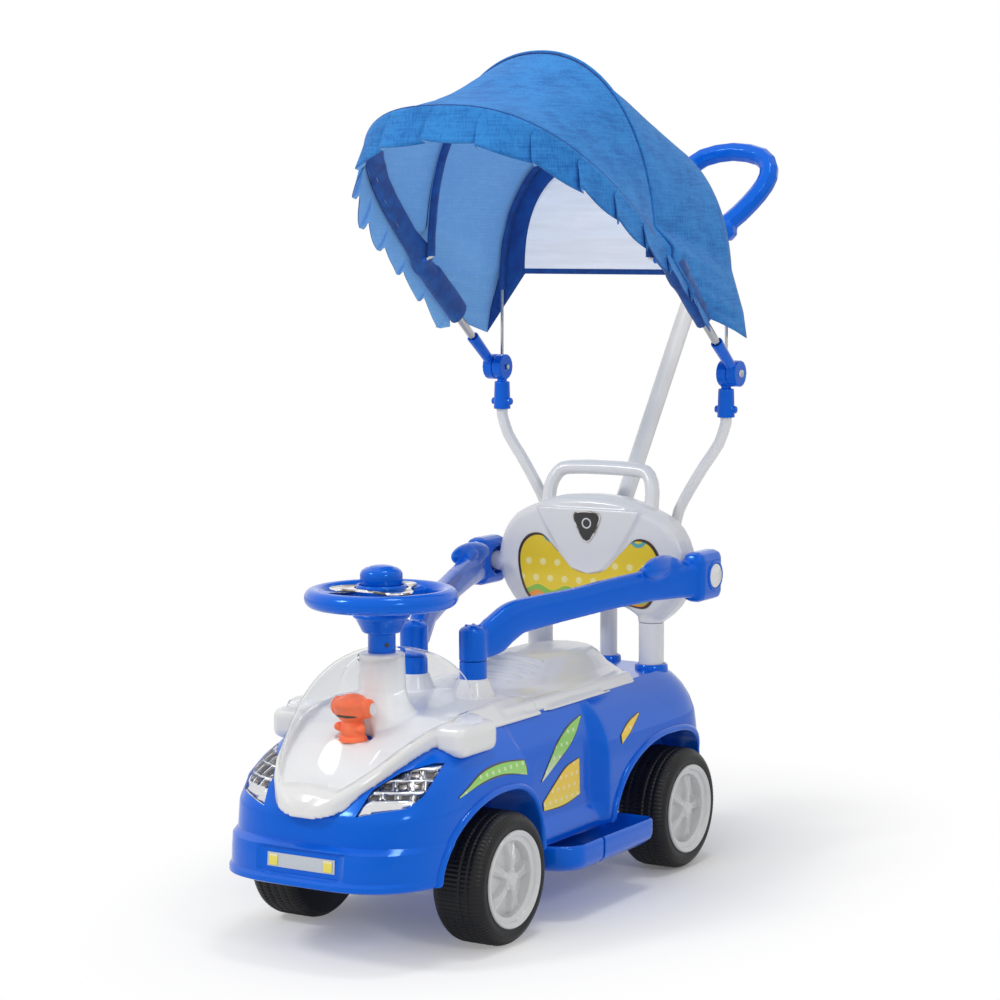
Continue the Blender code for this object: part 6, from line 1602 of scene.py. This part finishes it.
def arm_beam(side):
    """The arm's beam as one soft sweep with a rounded-square section, from its root lobe to the clamp."""
    count = 48
    line = rounded_line(ARM_PATH, 8)
    rings = []
    for k in range(count + 1):
        place = k / count * (len(line) - 1)
        low = min(int(place), len(line) - 2)
        centre = line[low].lerp(line[low + 1], place - low)
        ahead = (line[low + 1] - line[low]).normalized()
        share = place / (len(line) - 1) * (len(ARM_HALVES) - 1)
        first = min(int(share), len(ARM_HALVES) - 2)
        near, far = ARM_HALVES[first : first + 2]
        wide, tall = (a + (b - a) * (share - first) for a, b in zip(near, far))
        across = ahead.cross(Vector((0, 0, 1))).normalized()
        up = across.cross(ahead)
        ring = []
        for turn in round_turns(32)[:-1]:
            u = squared(math.cos(turn), 0.62) * wide
            v = squared(math.sin(turn), 0.62) * tall
            point = centre + across * u + up * v
            ring.append(Vector((side * point.x, point.y + ALONG, point.z)))
        rings.append(ring)
    return lofted(rings)


def build_guards():
    """Arms melted with their posts' sleeves, domed caps, and rims round the release buttons."""
    for side, label in SIDES:
        x = side * POST_X
        y = POST_Y + ALONG
        dome = ball((x, y, POST_TOP_Z - 0.0030), (POST_RADIUS * 0.80, POST_RADIUS * 0.80, 0.0062))
        pad = ball((side * 0.1370, 0.1660 + ALONG, 0.3790), (0.0120, 0.0420, 0.0150))
        arm = moulded("guard_arm_" + label, 0.0014, 6, extra=(dome, pad, arm_beam(side)))
        bore_ends = [Vector((side * reach, BUTTON_Y + ALONG, BUTTON_Z)) for reach in (0.1624, 0.1900)]
        cut_by(arm, rod(*bore_ends, 0.0156, segments=48))
        foot_ends = [Vector((x, y, height)) for height in (0.2600, 0.2964)]
        cut_by(arm, rod(*foot_ends, 0.0300))
        shade(arm, 45)
        dressed("guard_post_" + label, edge=0.0008)
        profile = (
            (0.0152, -0.0040), (0.0152, 0.0006), (0.0160, 0.0016), (0.0176, 0.0018), (0.0190, 0.0010),
            (0.0196, -0.0010), (0.0196, -0.0040), (0.0152, -0.0040),
        )
        axis = "X" if side > 0 else "-X"
        rim = ring_form(profile, 56, (side * 0.1720, BUTTON_Y + ALONG, BUTTON_Z), axis)
        add_piece("button_rim_" + label, rim, "blue_plastic", "guard_" + label, 40)
        bumps = bmesh.new()
        for turn in round_turns(4)[:-1]:
            bump = Vector((x, y, 0)) + turned(0.0075, turn + 0.5, POST_TOP_Z + 0.0022)
            joined_form(bumps, ball(bump, (0.0022, 0.0022, 0.0012)))
        add_piece("cap_bumps_" + label, bumps, "blue_plastic", "guard_" + label, 60)


TOY_Y = -0.2935
TOY_BASE_Z = 0.2290


def build_toy():
    """A plain round-eared toy with a visor, its own paws and a round foot."""
    y = TOY_Y + ALONG
    z = TOY_BASE_Z
    forms = [
        ball((0, y, z + 0.0365), (0.0205, 0.0200, 0.0165)),
        ball((0, y - 0.0060, z + 0.0410), (0.0190, 0.0170, 0.0098)),
        ball((0.0195, y + 0.0010, z + 0.0375), (0.0072, 0.0110, 0.0110)),
        ball((-0.0195, y + 0.0010, z + 0.0375), (0.0072, 0.0110, 0.0110)),
        ball((0, y, z + 0.0130), (0.0150, 0.0135, 0.0140)),
        ball((0.0135, y - 0.0060, z + 0.0165), (0.0055, 0.0075, 0.0050)),
        ball((-0.0135, y - 0.0060, z + 0.0165), (0.0055, 0.0075, 0.0050)),
        rod((0, y, z + 0.0004), (0, y, z + 0.0060), 0.0165, 0.0150),
    ]
    toy = bmesh.new()
    for form in forms:
        joined_form(toy, form)
    piece = add_piece("round_eared_toy", toy, "orange_plastic", "base", 60)
    melt(piece, 0.0009, 4)
    stands_for(piece, "dash_toy")
    visor = ball((0, y - 0.0075, z + 0.0300), (0.0150, 0.0125, 0.0032))
    add_piece("toy_visor", visor, "black_plastic", "base", 60)
    discs = bmesh.new()
    for side in (1, -1):
        joined_form(discs, ball((side * 0.0262, y + 0.0010, z + 0.0375), (0.0012, 0.0062, 0.0070)))
    add_piece("toy_ear_discs", discs, "hubcap", "base", 60, "white_plastic")


# The screen's crown as (y, z), and the cowl's rim under it as (y, half width, z)
SCREEN_STATIONS = (
    (-0.3740, 0.1960), (-0.3620, 0.2160), (-0.3420, 0.2440), (-0.3150, 0.2760), (-0.2850, 0.3000),
    (-0.2500, 0.3160), (-0.2150, 0.3220), (-0.1900, 0.3190),
)
RIM_STATIONS = (
    (-0.3905, 0.0120, 0.1705), (-0.3885, 0.0230, 0.1755), (-0.3830, 0.0350, 0.1825),
    (-0.3730, 0.0460, 0.1910), (-0.3600, 0.0570, 0.2005), (-0.3400, 0.0690, 0.2130),
    (-0.3100, 0.0800, 0.2290), (-0.2700, 0.0910, 0.2440), (-0.2300, 0.0970, 0.2530),
    (-0.1900, 0.0985, 0.2560), (-0.1500, 0.0930, 0.2560),
)


def along_stations(stations, y):
    """Smoothly between the drawn stations."""
    if y <= stations[0][0]:
        return list(stations[0][1:])
    for k in range(len(stations) - 1):
        if y <= stations[k + 1][0]:
            a = stations[max(k - 1, 0)]
            b, c = stations[k], stations[k + 1]
            d = stations[min(k + 2, len(stations) - 1)]
            t = (y - b[0]) / (c[0] - b[0])
            span = c[0] - b[0]
            result = []
            for j in range(1, len(b)):
                m0 = (c[j] - a[j]) / (c[0] - a[0]) * span
                m1 = (d[j] - b[j]) / (d[0] - b[0]) * span
                ends = (2 * t**3 - 3 * t**2 + 1) * b[j] + (3 * t**2 - 2 * t**3) * c[j]
                result.append(ends + (t**3 - 2 * t**2 + t) * m0 + (t**3 - t**2) * m1)
            return result
    return list(stations[-1][1:])


def build_screen():
    """The clear bubble: one curved moulding from rim to rim, open round the steering tower."""
    rows = []
    for share in shares(60):
        y = -0.3740 + 0.1840 * share
        half_width, rim = along_stations(RIM_STATIONS, y)
        crown = along_stations(SCREEN_STATIONS, y)[0]
        foot = rim + 0.0008
        arch = squared_arch(half_width - 0.0062, crown - foot, 2.2, 72)
        rows.append([Vector((x, y + ALONG, foot + rise)) for x, rise in arch])
    screen = add_piece("bubble_screen", grid_of(rows), "clear_plastic", None, 60)
    wall = screen.modifiers.new("wall", "SOLIDIFY")
    wall.thickness = 0.0020
    wall.offset = 0
    apply_modifiers(screen)
    hole = rod((0, STEERING_Y + ALONG, 0.24), (0, STEERING_Y + ALONG, 0.36), 0.0273, segments=64)
    cut_by(screen, hole)
    shade(screen, 50)
    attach(screen, "base")
    stands_for(screen, "windshield")


def build_white_mouldings():
    """The cowl with its tower and cones, the ribbed seat, the hinges and the push handle's grip."""
    moulded("front_cowl", 0.0017, 4, 0.0013, (white_sill(-0.1800, -0.0716),))
    moulded("seat", 0.0018, 2, 0.0010, (white_sill(-0.0696, 0.1600),))
    for label in ("left", "right"):
        moulded("lower_hinge_" + label, 0.0009, 3)
        moulded("upper_hinge_" + label, 0.0009, 3)
    moulded("push_grip", 0.0014, 4)


def white_sill(front, rear):
    """A white lower edge that follows the body's own outline, so that the two meet in one clean line."""
    rings = []
    for z, inset in ((0.2360, 0.0006), (0.2366, -0.0004), (0.2440, 0.0002), (0.2480, 0.0030)):
        ring = body_ring(min(z, DECK_Z), inset, 2)
        for p in ring:
            p.z = z
            p.y = min(max(p.y, front), rear)
        rings.append([p + Vector((0, ALONG, 0)) for p in ring])
    sill = lofted(rings)
    bmesh.ops.remove_doubles(sill, verts=sill.verts, dist=MERGE)
    return sill


# Foot rest sizes, as in the solids: inner and outer x, front and rear y, underside and top
FOOT_X = (0.0860, 0.1680)
FOOT_Y = (-0.1040, 0.0980)
FOOT_Z = (0.0560, 0.0875)


def foot_outline(inset):
    """The step seen from above: a broad round at its front outer corner and a small one at the rear."""
    inner, outer = FOOT_X[0] + inset * 1.6, FOOT_X[1] - inset
    front, rear = FOOT_Y[0] + inset, FOOT_Y[1] - inset
    line = [(inner, rear), (inner, front)]
    for k in range(15):
        turn = math.pi / 2 * k / 14
        line.append((outer - 0.046 + 0.046 * math.sin(turn), front + 0.034 - 0.034 * math.cos(turn)))
    for k in range(9):
        turn = math.pi / 2 * k / 8
        line.append((outer - 0.012 + 0.012 * math.cos(turn), rear - 0.012 + 0.012 * math.sin(turn)))
    return line


def build_footrests():
    """Blow-moulded steps with a curved sunk tray, a turned-up rim and a notch in the outer edge."""
    low, high = FOOT_Z
    for side, label in SIDES:
        levels = (
            (0.0200, low), (0.0080, low + 0.0010), (0.0012, low + 0.0075), (0.0, low + 0.0130),
            (0.0, high - 0.0030), (0.0010, high - 0.0008), (0.0026, high), (0.0048, high - 0.0006),
            (0.0064, high - 0.0030), (0.0082, high - 0.0120), (0.0110, high - 0.0165),
            (0.0170, high - 0.0185), (0.0300, high - 0.0190),
        )
        rings = [[Vector((side * x, y + ALONG, z)) for x, y in foot_outline(inset)] for inset, z in levels]
        step = add_piece("foot_step_" + label, lofted(rings), "blue_plastic", None, 40)
        notch = block((0.026, 0.0042, 0.060), Matrix.Translation((side * 0.1720, -0.0280 + ALONG, 0.0830)))
        cut_by(step, notch)
        cut_by(step, arch_room_block(side))
        shade(step, 40)
        round_edges(step, 0.0008, 45, 2)
        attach(step, "base")
        stands_for(step, "footrest_" + label)


def arch_room_block(side):
    """The front wheel's sweep, which the steps keep clear of."""
    return block((0.10, 0.010, 0.10), Matrix.Translation((side * 0.120, FOOT_Y[0] - 0.0048 + ALONG, 0.07)))


def body_block(inset):
    """The body's outside as a closed form, drawn in by so much, round the headlights."""
    return lofted([body_ring(0.145 + 0.005 * k, inset) for k in range(17)])


def cell_holes(wide, tall):
    """The openings of two rows of lamp cells and a lower strip, as blocks along the lamp's aim."""
    across = Vector((0, 0, 1)).cross(LAMP_AIM).normalized()
    up = LAMP_AIM.cross(across).normalized()
    turn = Matrix((across, up, LAMP_AIM)).transposed().to_4x4()
    holes = bmesh.new()
    for row, height in ((0, -0.0125), (1, 0.0), (2, 0.0135)):
        for column in range(-4, 5):
            centre = LAMP_MIDDLE + across * (column * 0.0160 - row * 0.0030) + up * height
            size = (wide, tall * (0.55 if row == 0 else 1.0), 0.080)
            joined_form(holes, block(size, Matrix.Translation(centre) @ turn))
    return holes


def build_headlight_cells():
    """The reflector behind each lens: rims, steps and floors of square cells in one steel, lighter on the
    rims as a painted highlight and darker on the steps and floors as painted shade.
    """
    # Each layer's steel is painted by how deep it lies: painted highlight at the rims, painted shade further
    # in
    layers = (
        ("lamp_cell_rims", 0.0031, 0.0043, (0.0132, 0.0108), "cell_rims_painted_highlight"),
        ("lamp_cell_steps", 0.0043, 0.0054, (0.0078, 0.0060), "cell_steps_painted_shade"),
        ("lamp_cell_floors", 0.0054, 0.0063, None, "cell_floors_painted_shade"),
    )
    for side, label in SIDES:
        for name, near, deep, opening, finish in layers:
            layer = add_piece(name + "_" + label, lamp_prism(-0.0006), finish, None, 30)
            cut_by(layer, body_block(near), "INTERSECT")
            cut_by(layer, body_block(deep))
            if opening:
                cut_by(layer, cell_holes(*opening))
            if side < 0:
                layer.data.transform(Matrix.Diagonal((-1, 1, 1, 1)))
                layer.data.flip_normals()
            layer.data.transform(Matrix.Translation((0, ALONG, 0)))
            layer.data.materials.clear()
            layer.data.materials.append(FINISHES[finish])
            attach(layer, "base")
        stands_for(layer, "headlight_reflector_" + label)


def side_print(name, upper, lower, finish, lift):
    """A sticker between two lines of (y, z), laid on the body's side, on both sides of the car."""
    count = 28
    for side, label in SIDES:
        lines = [spaced([Vector((y, z, 0)) for y, z in rounded_line(line)], count) for line in (upper, lower)]
        rows = []
        for level in (lift - 0.0004, lift):
            for share in shares(10):
                row = []
                for top, low in zip(*lines):
                    p = low.lerp(top, share if level == lift else 1 - share)
                    row.append(Vector((side * (body_side(p.x, p.y) + level), p.x + ALONG, p.y)))
                rows.append(row)
        bm = sealed(grid_of(rows + [rows[0]]))
        add_piece(name + "_" + label, bm, finish, "base", 40, "blue_plastic")


def rounded_line(points, steps=10):
    """An open smooth line through the points."""
    padded = [points[0]] + list(points) + [points[-1]]
    line = []
    for k in range(len(points) - 1):
        line += smooth_span(padded[k : k + 4], steps)
    return line + [Vector(points[-1])]


def build_side_prints():
    """Plain leaf-like stripes and a curved panel in green, gold and dark outline."""
    shapes = (
        (
            "long_leaf",
            ((-0.0900, 0.1600), (-0.0550, 0.1930), (-0.0200, 0.2110), (0.0120, 0.2190)),
            ((-0.0900, 0.1590), (-0.0500, 0.1780), (-0.0150, 0.1960), (0.0120, 0.2180)),
            "side_print",
        ),
        (
            "curved_panel",
            ((-0.0880, 0.1340), (-0.0600, 0.1520), (-0.0350, 0.1660), (-0.0050, 0.1720)),
            ((-0.0880, 0.1250), (-0.0600, 0.1240), (-0.0350, 0.1250), (-0.0050, 0.1300)),
            "gold_print",
        ),
        (
            "rear_stripe",
            ((0.0700, 0.1880), (0.0950, 0.1990), (0.1250, 0.2060)),
            ((0.0700, 0.1780), (0.0950, 0.1900), (0.1250, 0.2050)),
            "gold_print",
        ),
        (
            "fender_stripe",
            ((-0.2850, 0.1790), (-0.2400, 0.1960), (-0.1950, 0.2000), (-0.1500, 0.1960)),
            ((-0.2850, 0.1780), (-0.2400, 0.1880), (-0.1950, 0.1890), (-0.1500, 0.1800)),
            "side_print",
        ),
    )
    for name, upper, lower, finish in shapes:
        side_print(name, upper, lower, finish, 0.0010)
        grown_upper = [(y, z + 0.0016) for y, z in upper]
        grown_lower = [(y, z - 0.0016) for y, z in lower]
        grown_upper[0] = (upper[0][0] - 0.0016, upper[0][1])
        grown_lower[0] = (lower[0][0] - 0.0016, lower[0][1])
        grown_upper[-1] = (upper[-1][0] + 0.0020, upper[-1][1] + 0.0008)
        grown_lower[-1] = (lower[-1][0] + 0.0020, lower[-1][1] - 0.0004)
        side_print(name + "_edge", grown_upper, grown_lower, "dark_print", 0.0006)


BUMPER_HALF_WIDTH = 0.1390


def build_plate():
    """The bare plate on the bumper's middle, with two gold end bars."""
    for name, low_x, high_x, finish, lift in (
        ("bare_plate", -0.0440, 0.0440, "plate_print", 0.0016),
        ("plate_bar_left", 0.0300, 0.0410, "gold_print", 0.0022),
        ("plate_bar_right", -0.0410, -0.0300, "gold_print", 0.0022),
    ):
        rows = []
        for level in (0.0, lift):
            for share in shares(6):
                up = share if level else 1 - share
                z = 0.1060 + 0.0150 * up if name == "bare_plate" else 0.1075 + 0.0120 * up
                front = -0.3975 + 0.0020 * (z - 0.0990) / 0.0300 + 0.0046
                across = [low_x + (high_x - low_x) * k / 16 for k in range(17)]
                rows.append([Vector((x, bumper_y(x, front) - level + ALONG, z)) for x in across])
        add_piece(name, sealed(grid_of(rows + [rows[0]])), finish, "base", 40, "white_plastic")


def bumper_y(x, front):
    """The bumper's front face at one place across it."""
    cosine = max(0.0, 1 - (abs(x) / BUMPER_HALF_WIDTH) ** FRONT_SQUARE) ** (1 / FRONT_SQUARE)
    return FRONT_SPLIT_Y + (front - FRONT_SPLIT_Y) * cosine


def dress_the_rest():
    """Every CAD node that no piece above stands for."""
    for node in frame["nodes"]:
        if node not in MODELLED:
            dressed(node)


# Soft lamps: name, place, what each is aimed at, size in metres and power in watts
LAMPS = (
    ("key", (-1.6, -2.2, 2.6), (0, 0, 0.4), 0.7, 37),
    ("fill", (2.4, -1.6, 1.7), (0, 0, 0.3), 0.6, 14),
    ("top", (0.4, -0.2, 2.8), (0, 0, 0.2), 0.6, 14),
)
# How brightly the white surroundings light the car
SURROUNDINGS = 0.46
# The camera found from the photograph
CAMERA_AZIMUTH = 30.05
CAMERA_RISE = 5.75
CAMERA_PLACE = (1.6361, -2.6394 + ALONG, 0.7843)
CAMERA_LENS = 94.745
CAMERA_SHIFT = (-0.0728, -0.0019)


def build_studio():
    """Pale floor, even white surroundings and three soft lamps."""
    scene = bpy.context.scene
    scene.view_settings.view_transform = "Standard"
    bm = bmesh.new()
    bmesh.ops.create_grid(bm, x_segments=1, y_segments=1, size=30.0)
    floor = add_piece("studio_floor", bm, "floor", None)

    world = bpy.data.worlds.new("studio")
    scene.world = world
    world.use_nodes = True
    nodes = world.node_tree.nodes
    links = world.node_tree.links
    surroundings = nodes["Background"]
    bright = nodes.new("ShaderNodeBackground")
    for background, strength in ((surroundings, SURROUNDINGS), (bright, 1.0)):
        background.inputs["Color"].default_value = (1.0, 1.0, 1.0, 1.0)
        background.inputs["Strength"].default_value = strength
    path = nodes.new("ShaderNodeLightPath")
    seen, mirrored = [nodes.new("ShaderNodeMath") for _ in range(2)]
    seen.operation = mirrored.operation = "MAXIMUM"
    chosen = nodes.new("ShaderNodeMixShader")
    for start, end in (
        (path.outputs["Is Camera Ray"], seen.inputs[0]),
        (path.outputs["Is Transmission Ray"], seen.inputs[1]),
        (seen.outputs[0], mirrored.inputs[0]),
        (path.outputs["Is Glossy Ray"], mirrored.inputs[1]),
        (mirrored.outputs[0], chosen.inputs[0]),
        (surroundings.outputs[0], chosen.inputs[1]),
        (bright.outputs[0], chosen.inputs[2]),
        (chosen.outputs[0], nodes["World Output"].inputs["Surface"]),
    ):
        links.new(start, end)
    for lamp in LAMPS:
        add_lamp(*lamp)


def add_lamp(name, place, target, size, power):
    """A round soft lamp, aimed at its target."""
    light = bpy.data.lights.new(name, "AREA")
    light.shape = "DISK"
    light.size = size
    light.energy = power
    lamp = bpy.data.objects.new(name, light)
    lamp.location = place
    lamp.rotation_euler = (Vector(place) - Vector(target)).to_track_quat("Z", "Y").to_euler()
    bpy.context.scene.collection.objects.link(lamp)


def place_camera():
    """The camera found from the photograph: about 30 degrees round from the front and 6 degrees up."""
    azimuth = math.radians(CAMERA_AZIMUTH)
    rise = math.radians(CAMERA_RISE)
    back = Vector((math.sin(azimuth) * math.cos(rise), -math.cos(azimuth) * math.cos(rise), math.sin(rise)))
    data = bpy.data.cameras.new("photo camera")
    data.sensor_width = 36.0
    data.lens = CAMERA_LENS
    data.shift_x, data.shift_y = CAMERA_SHIFT
    camera = bpy.data.objects.new("photo camera", data)
    camera.location = CAMERA_PLACE
    camera.rotation_euler = back.to_track_quat("Z", "Y").to_euler()
    bpy.context.scene.collection.objects.link(camera)
    bpy.context.scene.camera = camera


build_canopy()
build_body()
build_wheels()
build_steering_wheel()
build_trim_and_horn()
build_column()
build_backrest()
build_guards()
build_toy()
build_screen()
build_white_mouldings()
build_footrests()
build_headlight_cells()
build_side_prints()
build_plate()
dress_the_rest()
build_studio()
place_camera()
